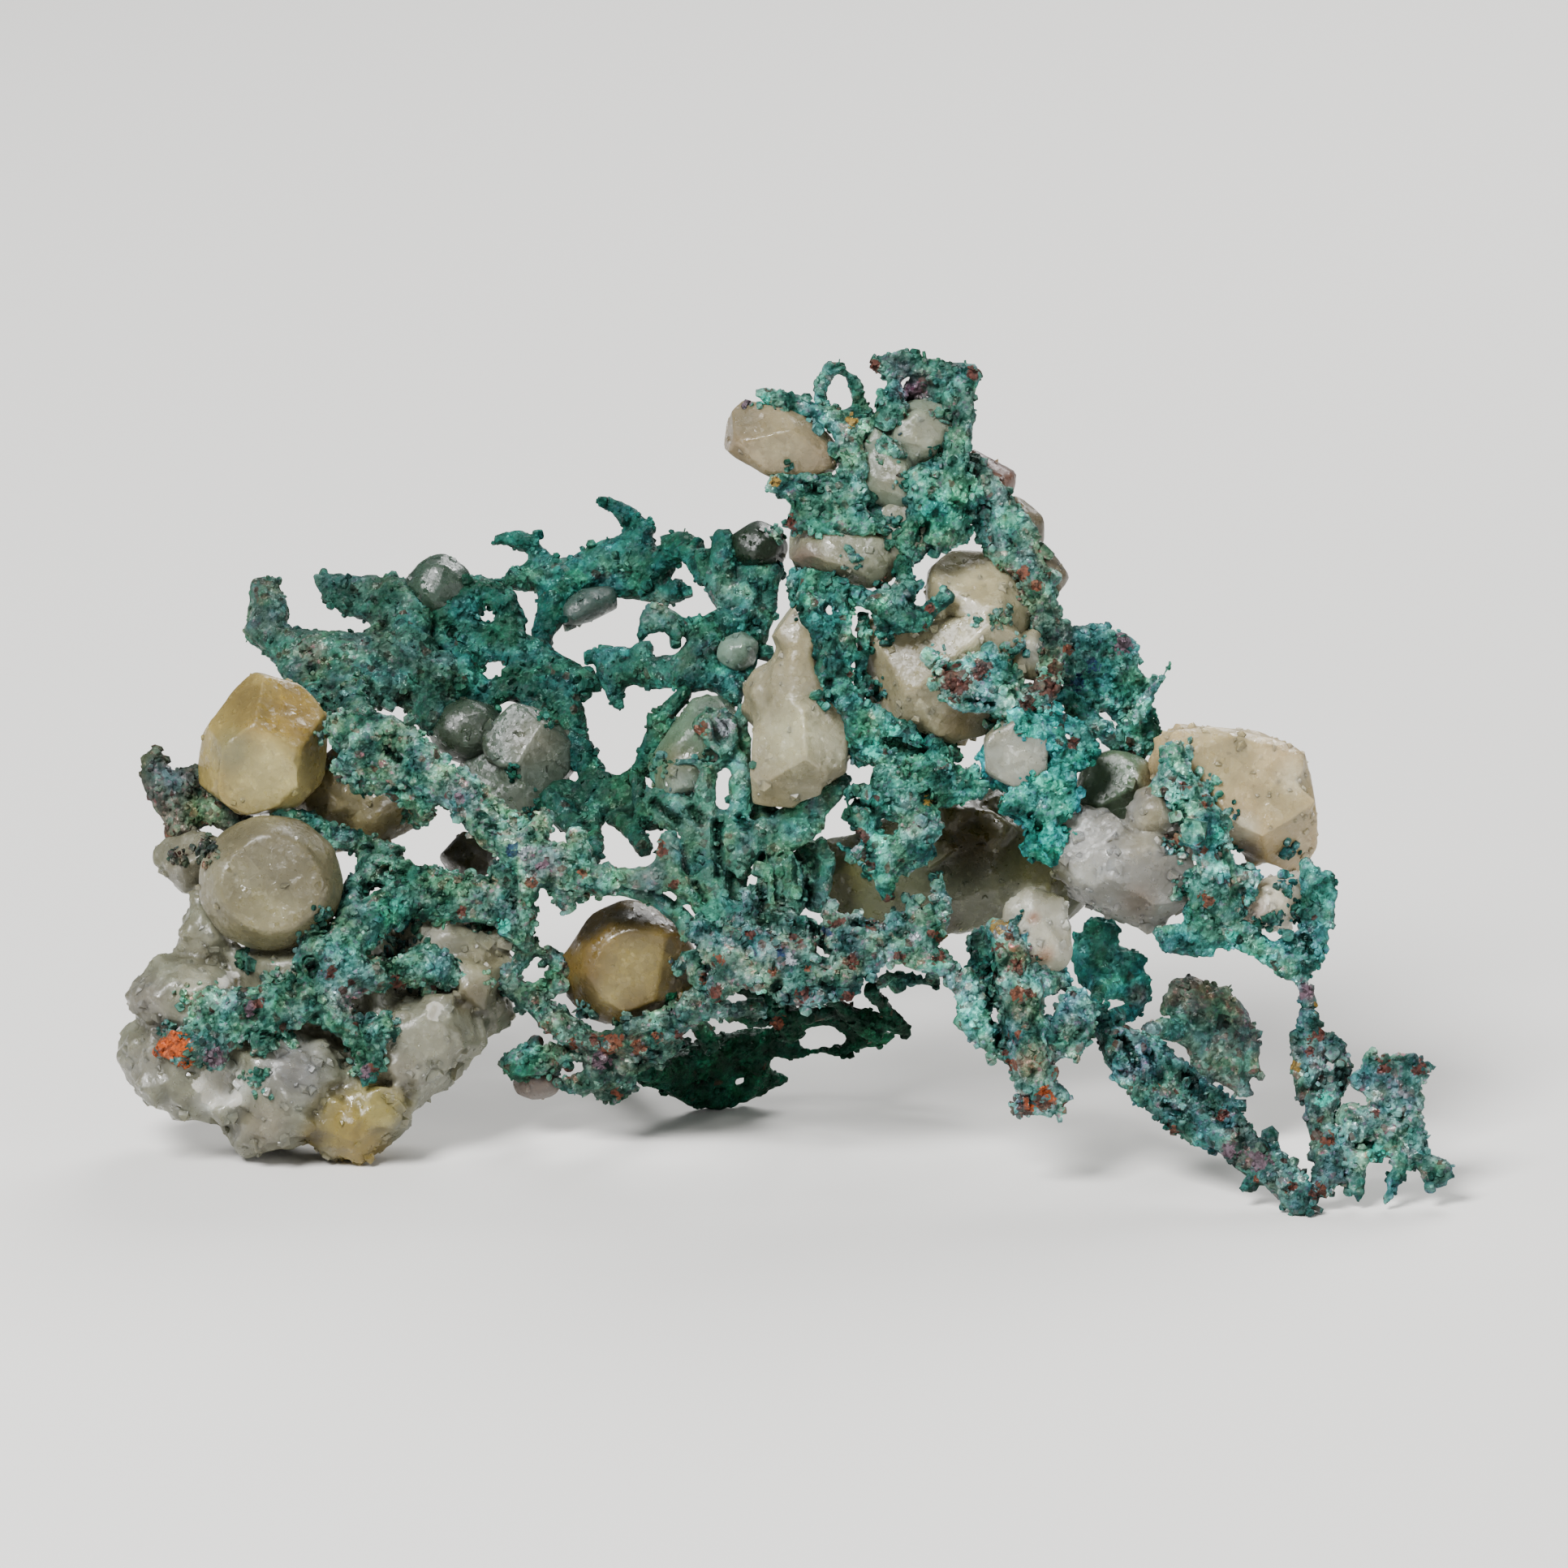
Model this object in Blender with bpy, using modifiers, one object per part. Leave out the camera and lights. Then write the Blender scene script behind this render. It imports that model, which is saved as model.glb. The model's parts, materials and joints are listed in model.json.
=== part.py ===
"""Native copper on quartz: a branching copper specimen that has grown around quartz grains.

Every place is given as (x, u, d) in millimetres, square to a line of sight that looks down
on the specimen by VIEW_TILT: x runs to the right, u runs up and d runs away from the eye.
The shapes are modelled in millimetres and become metres at the end, standing on Z = 0.
"""

import math
import random

import bmesh
import bpy
from mathutils import Vector
from mathutils.bvhtree import BVHTree

# Driving dimensions, in millimetres
VIEW_TILT = math.radians(15.0)
EYE_DISTANCE = 500.0
MM = 0.001
MIDDLE_X = -0.22  # middle of the specimen's box, and the surface that its feet rest on
MIDDLE_Y = 3.14
FLOOR = -18.72
GAP = 0.37  # room left around a neighbour before the surfaces are thinned out
GRAIN_GAP = 0.31
FINE_STEP = 0.25
COARSE_STEP = 0.36
COPPER_TRIANGLES = 222
TRIANGLES_PER_GRAIN = 60
UNEVENNESS = 0.07
GRAIN_WOBBLE = 0.16

# Depth fraction and outline scale of each ring of points around a grain
FACETED = ((-1.0, 0.50), (-0.35, 1.0), (0.42, 0.97), (1.0, 0.55))
ROUND = ((-1.0, 0.30), (-0.72, 0.74), (-0.15, 1.0), (0.40, 0.93), (1.0, 0.40))
PLATE = ((-1.0, 0.55), (0.0, 1.0), (1.0, 0.60))

COPPER_GREEN = (0.10, 0.33, 0.28, 1.0)
QUARTZ_BEIGE = (0.55, 0.47, 0.38, 1.0)
QUARTZ_YELLOW = (0.60, 0.46, 0.25, 1.0)
QUARTZ_CLEAR = (0.58, 0.57, 0.54, 1.0)
QUARTZ_BROWN = (0.24, 0.17, 0.08, 1.0)
QUARTZ_GREY = (0.33, 0.31, 0.27, 1.0)


def oval(centre, half_width, half_height, points=9):
    """The outline of a rounded grain."""
    turns = [2.0 * math.pi * i / points for i in range(points)]
    return [(centre[0] + half_width * math.cos(t), centre[1] + half_height * math.sin(t)) for t in turns]


# Quartz: name, colour, and for each grain its outline, middle depth, half thickness and rings
QUARTZ = [
    ("quartz_left_upper", QUARTZ_YELLOW, [
        ([(-26.1, 5.4), (-23.7, 4.8), (-22.6, 3.2), (-22.5, 0.7), (-23.8, -1.2),
          (-26.8, -1.5), (-28.8, 0.2), (-28.6, 2.5), (-27.3, 4.4)], 4.6, 2.9, FACETED),
        ([(-27.8, -0.9), (-25.9, -1.7), (-24.0, -1.0), (-23.6, 0.7), (-24.6, 1.9),
          (-26.5, 2.1), (-27.9, 1.2)], 2.7, 1.5, FACETED)]),
    ("quartz_left_round", QUARTZ_BEIGE, [
        (oval((-25.3, -4.9), 3.5, 3.25, 11), 2.0, 3.1, ROUND)]),
    ("quartz_left_slab", QUARTZ_GREY, [
        ([(-24.2, 0.8), (-22.4, 1.5), (-20.2, 1.1), (-18.2, 0.3), (-17.4, -0.9), (-18.8, -2.9),
          (-19.6, -3.0), (-22.0, -2.6), (-24.6, -1.4)], 7.4, 1.3, FACETED)]),
    ("quartz_left_bed", QUARTZ_CLEAR, [
        ([(-27.6, -8.2), (-24.6, -8.3), (-22.0, -7.2), (-19.6, -7.0), (-19.2, -10.5), (-22.0, -12.6),
          (-26.6, -12.2)], 4.4, 3.4, FACETED),
        ([(-28.9, -5.2), (-27.6, -6.2), (-27.0, -8.8), (-28.6, -9.4), (-30.0, -8.7), (-29.8, -7.4)],
         4.2, 1.8, FACETED),
        ([(-31.4, -9.4), (-30.3, -8.7), (-27.8, -9.0), (-26.9, -11.0), (-28.4, -12.8), (-31.2, -12.6),
          (-32.6, -10.4)], 2.6, 2.6, FACETED),
        ([(-32.3, -12.2), (-30.0, -11.8), (-27.6, -12.6), (-27.2, -15.4), (-28.2, -16.8), (-30.2, -16.3),
          (-32.0, -15.1), (-32.9, -13.6)], 2.8, 3.0, FACETED),
        ([(-28.0, -12.2), (-24.0, -12.1), (-21.8, -13.2), (-21.6, -15.6), (-23.6, -17.6), (-25.5, -18.1),
          (-27.0, -17.0)], 2.8, 3.4, FACETED),
        ([(-23.4, -14.6), (-20.6, -14.0), (-18.0, -15.8), (-19.8, -17.6), (-20.8, -18.8), (-22.9, -18.0),
          (-24.2, -17.4)], 2.4, 2.2, FACETED),
        ([(-21.5, -11.8), (-18.5, -10.4), (-15.6, -10.8), (-15.0, -12.8), (-17.0, -14.3), (-17.9, -16.0),
          (-21.6, -15.0)], 3.4, 3.0, FACETED),
        ([(-18.9, -6.8), (-17.0, -5.9), (-15.3, -6.7), (-13.6, -8.0), (-13.8, -10.2), (-15.6, -11.2),
          (-18.6, -10.8)], 4.8, 2.4, FACETED),
        ([(-15.4, -10.2), (-13.9, -10.2), (-13.2, -11.3), (-14.1, -12.3), (-15.6, -12.0)], 4.8, 1.3, FACETED),
        (oval((-29.3, -3.9), 1.15, 1.6, 7), 5.4, 1.3, FACETED)]),
    ("quartz_brown_round", QUARTZ_BROWN, [
        (oval((-7.4, -8.9), 3.25, 3.2, 11), 3.6, 3.0, ROUND),
        ([(-10.9, -10.6), (-9.5, -9.2), (-8.3, -11.7), (-10.0, -12.1)], 4.6, 1.4, FACETED)]),
    ("quartz_bottom_grey", QUARTZ_GREY, [
        (oval((-12.2, -14.7), 1.2, 0.8, 8), 5.8, 1.0, ROUND)]),
    ("quartz_rear_pale", QUARTZ_CLEAR, [
        ([(-13.9, 2.5), (-12.9, 3.1), (-11.6, 2.6), (-10.6, 1.6), (-11.0, 0.6), (-12.3, 0.3), (-13.5, 0.6)],
         8.0, 1.4, FACETED),
        ([(-13.8, 0.9), (-12.2, 0.8), (-11.9, -1.0), (-12.6, -2.1), (-13.6, -1.9)], 8.8, 1.3, FACETED)]),
    ("quartz_rear_grey", QUARTZ_GREY, [
        (oval((-15.6, 2.6), 1.6, 1.25, 8), 9.2, 1.4, ROUND)]),
    ("quartz_rear_dim", QUARTZ_GREY, [
        ([(-15.8, -2.4), (-14.7, -2.8), (-14.2, -3.8), (-14.8, -4.6), (-16.4, -4.4), (-16.9, -3.6)],
         7.4, 1.3, FACETED)]),
    ("quartz_rear_top", QUARTZ_GREY, [
        ([(-18.7, 9.5), (-17.7, 10.7), (-16.9, 11.1), (-15.9, 10.4), (-15.5, 9.6), (-16.3, 8.4),
          (-17.6, 8.2)], 12.6, 1.5, FACETED)]),
    ("quartz_ridge", QUARTZ_GREY, [
        ([(-11.0, 8.6), (-10.0, 9.4), (-8.6, 9.6), (-8.2, 8.9), (-9.6, 8.2), (-10.7, 7.9)],
         12.8, 1.2, FACETED)]),
    ("quartz_column_top", QUARTZ_GREY, [
        ([(-2.5, 12.1), (-1.3, 12.8), (-0.4, 12.5), (0.1, 11.7), (-0.3, 10.8), (-2.0, 10.7), (-2.6, 11.3)],
         8.2, 1.4, FACETED)]),
    ("quartz_column_side", QUARTZ_GREY, [
        ([(-3.2, 7.0), (-1.9, 7.5), (-1.3, 6.9), (-1.6, 5.8), (-2.6, 5.4), (-3.2, 5.9)], 6.4, 1.1, FACETED)]),
    ("quartz_slanted", QUARTZ_BEIGE, [
        ([(-6.5, 1.2), (-5.5, 2.6), (-4.4, 4.1), (-3.2, 4.2), (-2.4, 3.3), (-3.0, 1.4), (-4.2, -0.2),
          (-5.8, -0.9)], 4.2, 1.8, FACETED),
        (oval((-4.9, -0.1), 0.8, 1.0, 7), 2.4, 1.0, FACETED)]),
    ("quartz_centre_point", QUARTZ_BEIGE, [
        ([(0.9, 8.9), (1.5, 7.8), (1.9, 6.0), (2.6, 3.8), (0.5, 2.5), (-1.2, 4.7), (-0.4, 6.6)],
         0.6, 2.0, FACETED),
        ([(1.6, 5.0), (2.7, 3.9), (3.25, 2.6), (3.1, 0.6), (1.0, -0.4), (-0.5, -1.7), (-1.5, -1.0),
          (-1.7, 0.6), (-1.5, 2.8), (-0.4, 5.0)], 0.4, 2.6, FACETED),
        ([(-2.1, 4.7), (-1.5, 5.6), (-0.4, 6.2), (0.6, 5.0), (0.2, 2.8), (-1.4, 2.5)], 1.3, 1.8, FACETED)]),
    ("quartz_centre_group", QUARTZ_BEIGE, [
        ([(4.2, 7.9), (6.4, 7.7), (8.6, 7.6), (10.8, 5.7), (11.2, 4.0), (9.9, 2.7), (8.2, 2.3), (6.4, 3.0),
          (4.4, 4.2), (3.75, 6.2)], 1.2, 2.7, FACETED),
        ([(9.2, 11.85), (10.1, 11.2), (10.9, 10.2), (11.8, 9.6), (11.9, 8.2), (11.4, 6.6), (9.4, 6.3),
          (7.8, 7.9), (7.3, 9.3), (7.4, 10.4), (8.4, 11.3)], 1.4, 2.6, FACETED),
        ([(7.0, 7.3), (8.2, 8.0), (10.6, 8.2), (11.6, 7.0), (10.6, 6.0), (8.0, 5.8)], -0.2, 1.6, FACETED),
        ([(12.15, 7.3), (12.6, 7.45), (12.95, 7.2), (12.6, 5.3), (11.2, 5.6), (11.4, 6.8)],
         0.4, 0.8, FACETED)]),
    ("quartz_hexagon", QUARTZ_CLEAR, [
        ([(9.85, 2.3), (10.8, 3.2), (11.7, 3.1), (13.1, 1.9), (13.05, 0.8), (12.4, 0.1), (11.1, -0.05),
          (10.0, 0.5)], -0.5, 1.5, FACETED)]),
    ("quartz_crown_block", QUARTZ_BEIGE, [
        ([(-2.5, 18.6), (-2.9, 16.8), (-2.2, 16.2), (-0.8, 15.4), (0.8, 14.9), (2.3, 15.1), (2.7, 16.4),
          (1.4, 17.7), (0.1, 18.3), (-1.2, 18.9)], 0.2, 1.8, FACETED)]),
    ("quartz_crown_middle", QUARTZ_BEIGE, [
        ([(5.2, 18.3), (6.6, 18.8), (8.1, 18.6), (8.4, 16.8), (7.9, 15.6), (6.2, 15.5), (5.4, 16.6)],
         1.0, 1.6, FACETED),
        ([(4.0, 16.6), (5.0, 17.0), (6.1, 16.2), (6.2, 14.4), (5.3, 13.5), (4.2, 14.2), (3.9, 15.4)],
         0.5, 1.4, FACETED)]),
    ("quartz_crown_low", QUARTZ_BEIGE, [
        ([(0.2, 11.9), (0.3, 11.2), (1.3, 10.6), (3.0, 10.0), (5.0, 9.75), (5.7, 10.8), (5.1, 12.2),
          (3.4, 12.6), (1.6, 12.3)], 0.3, 1.8, FACETED),
        ([(5.1, 11.8), (5.55, 13.4), (6.1, 13.0), (5.7, 11.4)], -0.4, 0.7, FACETED)]),
    ("quartz_slope_upper", QUARTZ_GREY, [
        ([(9.3, 16.4), (10.4, 15.5), (11.35, 15.25), (11.1, 14.2), (10.1, 14.3), (9.1, 14.9)],
         1.6, 1.3, FACETED)]),
    ("quartz_slope_lower", QUARTZ_GREY, [
        ([(10.9, 14.2), (11.7, 14.0), (12.7, 13.1), (12.7, 12.0), (12.2, 11.0), (11.0, 12.2)],
         1.5, 1.2, FACETED),
        ([(12.1, 11.7), (13.2, 11.3), (14.0, 10.2), (13.3, 9.2), (12.5, 9.7)], 1.3, 1.1, FACETED)]),
    ("quartz_right_block", QUARTZ_YELLOW, [
        ([(17.7, 1.2), (19.2, 2.75), (21.4, 2.95), (24.0, 2.35), (25.7, 1.75), (26.1, 0.3), (26.5, -2.4),
          (26.4, -3.5), (25.3, -4.4), (24.6, -4.3), (22.4, -3.4), (20.2, -1.9), (18.3, -1.0)],
         1.6, 3.2, FACETED)]),
    ("quartz_right_low", QUARTZ_CLEAR, [
        ([(24.0, -4.6), (25.6, -4.9), (25.6, -6.0), (24.9, -6.9), (23.2, -6.9), (22.3, -6.3), (22.7, -5.4)],
         0.0, 1.6, FACETED)]),
    ("quartz_right_grey", QUARTZ_GREY, [
        ([(15.2, 0.9), (16.4, 1.25), (17.6, 0.8), (17.9, -0.4), (17.0, -1.6), (15.6, -1.9), (14.7, -0.9)],
         2.4, 1.7, FACETED)]),
    ("quartz_right_clear", QUARTZ_CLEAR, [
        ([(14.2, -2.4), (16.4, -2.0), (18.6, -2.0), (19.8, -3.8), (20.15, -5.1), (19.2, -6.2), (17.7, -6.65),
          (16.0, -6.2), (14.4, -5.2)], 0.0, 3.0, FACETED),
        ([(13.15, -1.8), (14.3, -1.2), (15.7, -1.7), (16.2, -4.0), (15.6, -6.0), (14.3, -5.4), (13.8, -4.0)],
         -0.3, 2.4, FACETED),
        ([(17.1, -1.1), (18.1, -0.65), (19.2, -0.8), (19.5, -1.6), (18.6, -2.4), (17.2, -2.3)],
         -1.2, 1.3, FACETED)]),
    ("quartz_rear_brown", QUARTZ_BROWN, [
        ([(1.2, -4.4), (2.4, -3.0), (5.5, -1.4), (9.3, -0.5), (12.5, -1.2), (14.6, -3.5), (14.6, -5.8),
          (12.0, -6.4), (8.6, -7.3), (5.0, -6.7), (2.0, -6.2)], 6.2, 2.8, FACETED)]),
    ("quartz_prong", QUARTZ_CLEAR, [
        ([(12.1, -5.15), (13.0, -6.2), (13.7, -7.6), (14.15, -8.3), (13.9, -8.9), (13.2, -9.3), (11.6, -9.0),
          (10.9, -7.0), (11.6, -6.1)], -1.6, 1.3, FACETED)]),
    ("quartz_olive", QUARTZ_BROWN, [
        ([(3.6, 2.6), (5.6, 2.7), (6.8, 1.8), (6.6, 0.9), (5.2, 0.9), (3.9, 1.6)], 2.6, 1.2, FACETED)]),
]

# Copper: name, strands of (x, u, d, radius) and flat leaves like thin grains
COPPER = [
    ("copper_crown_frame", [
        [(4.6, 20.7, 0, .48), (5.8, 20.9, 0, .6), (7.2, 20.4, 0, .65), (8.6, 20.2, .2, .7), (9.6, 20.1, .3, .4)],
        [(5.4, 20.6, 0, .5), (5.4, 19.6, 0, .4), (5.4, 18.7, -.5, .5), (5.0, 18.0, -.5, .5)],
        [(8.9, 20.2, 0, .6), (9.0, 19.2, -.4, .5), (8.9, 18.2, -.8, .55), (8.9, 17.2, -1, .5),
         (8.6, 16.2, -1.1, .5), (8.4, 15.3, -1.1, .7)],
        [(6.8, 20.2, .5, .5), (6.3, 19.3, 1.2, .5)],
        [(6.8, 14.9, -1, .8), (8.2, 14.9, -1, .9), (9.1, 14.4, -.6, .6)],
        [(7.0, 14.9, -1, .8), (7.0, 13.4, -.8, .9), (7.6, 12.2, -.8, .9), (6.2, 12.0, -.8, .6)],
        [(8.3, 14.9, -1, .8), (8.5, 13.5, -.8, .9), (8.5, 12.5, -.6, .7), (7.6, 12.2, -.8, .9)],
        [(6.6, 12.0, -.6, .6), (6.4, 11.4, -.4, .5)]], []),
    ("copper_crown_left", [
        [(2.0, 18.5, .6, .28), (2.1, 19.6, .6, .3), (2.5, 20.3, .6, .32), (3.1, 20.3, .6, .38),
         (3.6, 19.4, .6, .5), (3.9, 18.7, .6, .5), (3.6, 18.0, .4, .45)],
        [(-2.4, 19.0, -.3, .28), (-1.2, 19.1, -.4, .34), (0.0, 19.0, -.4, .42), (1.0, 18.6, -.2, .42),
         (2.0, 18.3, 0, .5), (3.0, 18.0, 0, .6), (3.7, 17.5, 0, .55), (4.6, 17.8, .3, .4)],
        [(2.8, 17.9, -.2, .6), (3.3, 16.9, -.4, .6), (3.5, 15.8, -.7, .6), (3.2, 14.8, -.9, .7)],
        [(-.4, 14.8, -.8, .5), (.7, 14.2, -.9, .85), (2.0, 14.3, -1, .9), (3.4, 14.1, -1, .8)],
        [(.3, 12.9, -.8, .5), (1.4, 13.2, -1, .7), (2.8, 13.0, -1, .7), (4.6, 12.9, -1, .5)],
        [(.7, 14.2, -.9, .8), (1.2, 13.2, -1, .7)],
        [(3.0, 14.2, -1, .7), (3.2, 13.1, -1, .7)]], []),
    ("copper_slope", [
        [(9.3, 16.1, .2, .35), (9.7, 14.9, -.2, .4), (10.6, 14.0, 0, .5), (10.8, 12.9, 0, .55),
         (10.6, 11.8, 0, .6), (11.5, 11.1, 0, .65), (12.3, 10.5, 0, .6), (12.6, 9.4, 0, .6),
         (12.9, 8.4, 0, .6), (13.5, 7.6, .2, .7), (13.5, 6.6, 0, .6), (13.2, 5.7, -.3, .45)],
        [(10.8, 13.4, .1, .45), (11.8, 12.6, .1, .5), (12.0, 11.4, 0, .5)]], []),
    ("copper_centre_column", [
        [(1.3, 10.1, 0, .5), (1.3, 9.1, -.6, .5), (1.7, 8.0, -1.1, .5), (2.2, 7.0, -1.2, .5),
         (2.5, 5.8, -1.2, .6), (2.8, 4.9, -1.4, .65), (3.3, 4.2, -1.2, .6), (3.8, 3.6, -.9, .6),
         (4.6, 3.2, -1, .55), (5.5, 2.7, -1, .5), (6.7, 2.3, -1, .4)],
        [(2.9, 8.6, -1.2, .45), (3.1, 7.6, -.9, .45), (3.2, 6.4, -.9, .42), (2.8, 5.2, -1.3, .5)],
        [(1.5, 10.0, 0, .5), (2.3, 9.4, -.8, .55), (3.5, 9.3, -1.4, .5), (4.7, 8.9, -1.7, .65),
         (5.6, 9.1, -1.7, .75), (6.3, 9.8, -1.3, .6), (5.8, 10.7, -1.3, .4)],
        [(4.6, 8.9, -1.7, .6), (5.5, 8.0, -2, .65), (6.5, 8.0, -1.9, .6), (7.3, 8.7, -1.7, .5),
         (8.1, 9.4, -1.7, .28)],
        [(3.4, 4.0, -1, .55), (3.7, 2.6, -.8, .5), (4.4, 1.7, -.6, .6), (5.2, 1.2, -.6, .55),
         (6.2, .8, -.8, .6), (7.1, .5, -1, .5)]], []),
    ("copper_shoulder", [
        [(14.3, 7.2, 2.4, .8), (15.4, 7.2, 2.8, .9), (16.6, 6.8, 3, .8), (17.3, 6.4, 3, .5)],
        [(14.1, 5.9, 2.2, .9), (15.3, 5.8, 2.6, 1), (16.6, 5.6, 3, .9), (17.3, 5.2, 3, .6)],
        [(14.4, 4.8, 2.2, .8), (15.6, 4.2, 2.6, .9), (16.6, 4.1, 3, .9), (17.4, 4.3, 3, .6),
         (18.1, 4.9, 3, .36), (18.7, 5.6, 3, .26), (19.3, 6.2, 3, .2)],
        [(17.3, 4.2, 3, .7), (17.8, 3.3, 3, .6), (17.9, 2.3, 3, .5), (17.4, 1.7, 3, .5), (16.7, 2.2, 3, .5),
         (16.9, 3.2, 3, .6)],
        [(15.4, 7.2, 2.8, .9), (15.4, 4.4, 2.6, .9)],
        [(16.6, 6.8, 3, .8), (16.6, 4.2, 3, .9)]], []),
    ("copper_red_patch", [
        [(7.7, 5.8, -1.6, .4), (8.0, 5.0, -1.9, .55), (8.8, 4.6, -2, .6), (9.8, 4.9, -1.9, .75),
         (10.8, 4.9, -1.6, .75), (11.5, 4.6, -1.3, .6), (12.2, 4.2, -1, .45), (12.9, 4.8, -.9, .6)],
        [(8.2, 5.3, -1.9, .5), (9.2, 5.7, -2, .45), (10.2, 5.8, -1.9, .5), (11.0, 5.5, -1.6, .5)],
        [(8.6, 4.3, -1.8, .45), (9.8, 3.9, -1.6, .48), (11.0, 3.9, -1.2, .45), (12.0, 3.9, -1, .4)]], []),
    ("copper_right_blob", [
        [(11.4, 3.4, -1.8, .4), (12.3, 2.9, -1.9, .5), (13.2, 2.2, -1.6, .5), (14.0, 1.6, -1.2, .5),
         (14.9, 1.0, -.8, .5)],
        [(12.8, 3.5, -.6, .5), (13.9, 3.1, -.4, .5), (14.8, 2.4, -.4, .6), (15.0, 1.3, -.6, .6)],
        [(14.3, 1.2, -1, .5), (13.9, .4, -1.4, .8), (13.0, -.3, -1.7, .8), (12.0, -.8, -1.9, .8),
         (11.1, -1.2, -1.9, .6), (10.6, -1.4, -1.9, .32)],
        [(13.6, -.4, -1.5, .9), (13.0, -1.6, -1.7, .8), (12.6, -2.6, -1.7, .7), (12.9, -3.3, -1.6, .6)],
        [(11.8, -3.2, -1.5, .5), (12.9, -3.3, -1.6, .6), (13.5, -3.5, -1.9, .35)],
        [(12.0, -.8, -1.9, .7), (12.6, -1.9, -1.7, .7)]], []),
    ("copper_centre_cluster", [
        [(3.0, -.9, -2.2, .32), (3.4, -.2, -2.2, .4), (4.3, -.4, -2.2, .4), (4.6, -.9, -2.2, .35),
         (4.1, -1.4, -2.2, .4), (3.5, -1.9, -2.2, .45), (3.1, -1.4, -2.2, .35)],
        [(4.3, -1.5, -2, .4), (5.2, -1.2, -1.7, .6)],
        [(5.0, .3, -1.2, .7), (5.6, -.8, -1.6, .9), (6.5, -1.5, -1.8, .9), (7.1, -2.3, -2, .9),
         (6.3, -3.0, -2, .9), (5.4, -3.4, -2, .8), (4.9, -4.2, -2, .8), (5.0, -5.0, -2, .6),
         (5.1, -5.6, -2, .35)],
        [(6.6, .3, -1.2, .5), (7.4, -.4, -1.5, .6), (8.3, -.7, -1.6, .55), (9.2, -.5, -1.5, .5),
         (9.8, -.4, -1.4, .28)],
        [(8.5, -.5, -1.5, .4), (9.1, .3, -1.5, .35), (9.4, .8, -1.5, .28)],
        [(7.1, 2.0, .3, .4), (7.6, 1.4, -.2, .6), (7.9, .6, -.7, .55), (8.5, .1, -1.3, .45)],
        [(5.0, -3.4, -2, .6), (3.8, -3.4, -2, .45), (3.0, -3.3, -2, .4), (2.5, -2.8, -2, .32)],
        [(3.6, -1.9, -2.2, .4), (4.3, -2.6, -2.1, .4), (5.2, -3.0, -2, .5)],
        [(6.5, -1.5, -1.8, .7), (6.9, -.5, -1.6, .6)]], []),
    ("copper_leaf_cluster", [
        [(-8.0, -4.6, -.6, .5), (-7.0, -4.7, -.8, .7), (-6.0, -4.7, -.8, .7), (-5.2, -4.8, -.8, .6),
         (-4.2, -5.6, -.8, .7), (-3.2, -6.3, -.8, .6), (-1.8, -6.3, -.5, .6), (.2, -6.0, -.4, .5)],
        [(-6.2, -4.3, -.8, .5), (-6.0, -3.2, -.9, .5), (-5.6, -2.3, -.9, .28)],
        [(-5.3, -4.4, -.8, .45), (-5.4, -3.2, -.9, .38), (-5.3, -2.4, -.9, .25)],
        [(-5.8, -.9, 1.4, .45), (-4.9, -1.7, 1.2, .5), (-4.2, -2.5, .9, .5), (-3.6, -3.4, .4, .45)],
        [(-3.6, -3.4, .4, .45), (-3.5, -4.6, 0, .45)],
        [(-.7, -3.6, .6, .42), (-.3, -4.6, .4, .65), (0, -5.6, 0, .55), (.4, -6.2, -.4, .5)],
        [(-1.6, -5.0, .2, .38), (-1.7, -6.2, -.2, .45)],
        [(-.7, -3.5, .8, .42), (.4, -2.7, .8, .5), (1.3, -2.4, .8, .42), (2.0, -1.7, .8, .3)],
        [(0, -1.9, 1.4, .5), (-.1, -2.8, 1, .5)],
        [(-.2, -2.0, 1.4, .42), (1.0, -1.4, 1.2, .45), (2.0, -.8, 1, .42), (2.9, -.1, .8, .38)],
        [(.9, -3.2, 2.2, .4), (1.1, -4.6, 2, .45), (1.0, -5.7, 1.4, .45), (.5, -6.3, .3, .45)],
        [(-2.8, 1.2, 1.6, .4), (-3.8, .8, 1, .42), (-3.6, -.4, .9, .5), (-3.8, -1.6, .8, .5),
         (-3.7, -2.9, .6, .5), (-2.8, -2.7, .6, .45), (-2.0, -2.6, .6, .45), (-.6, -2.9, .8, .42)],
        [(-2.3, .9, 1.6, .42), (-2.2, -.2, 1.4, .45), (-2.4, -1.2, 1.2, .5), (-2.3, -2.2, .8, .4)],
        [(-4.3, 2.7, 2.0, .4), (-3.6, 3.2, 1.9, .48), (-2.8, 3.1, 2, .5), (-2.5, 2.3, 2, .5),
         (-2.7, 1.4, 1.8, .5)]],
     [([(-2.5, -1.9), (-1.2, -1.8), (-1.0, -2.8), (-1.6, -4.0), (-2.0, -4.9), (-2.7, -4.0), (-3.15, -2.9)],
       .6, .6, PLATE),
      ([(-3.5, -3.7), (-3.0, -4.6), (-2.7, -6.2), (-3.9, -6.2), (-4.5, -5.0), (-4.2, -4.2)],
       -.3, .65, PLATE)]),
    ("copper_lower_centre", [
        [(-4.4, -7.0, -1.6, .45), (-3.6, -7.9, -1.8, .6), (-2.8, -8.7, -2, .8)],
        [(-2.6, -8.2, -1.8, .9), (-1.4, -7.9, -1.8, .9), (-.2, -8.3, -1.8, 1), (1.0, -7.9, -1.8, .9),
         (1.2, -7.0, -1.6, .6)],
        [(-2.6, -9.2, -2, .9), (-1.2, -9.2, -2, 1), (.4, -9.3, -2, .95), (1.9, -9.3, -2, .85),
         (3.3, -9.3, -2, .75), (4.0, -8.6, -2, .7), (4.1, -7.7, -1.8, .6), (3.2, -7.2, -1.8, .6),
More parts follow.
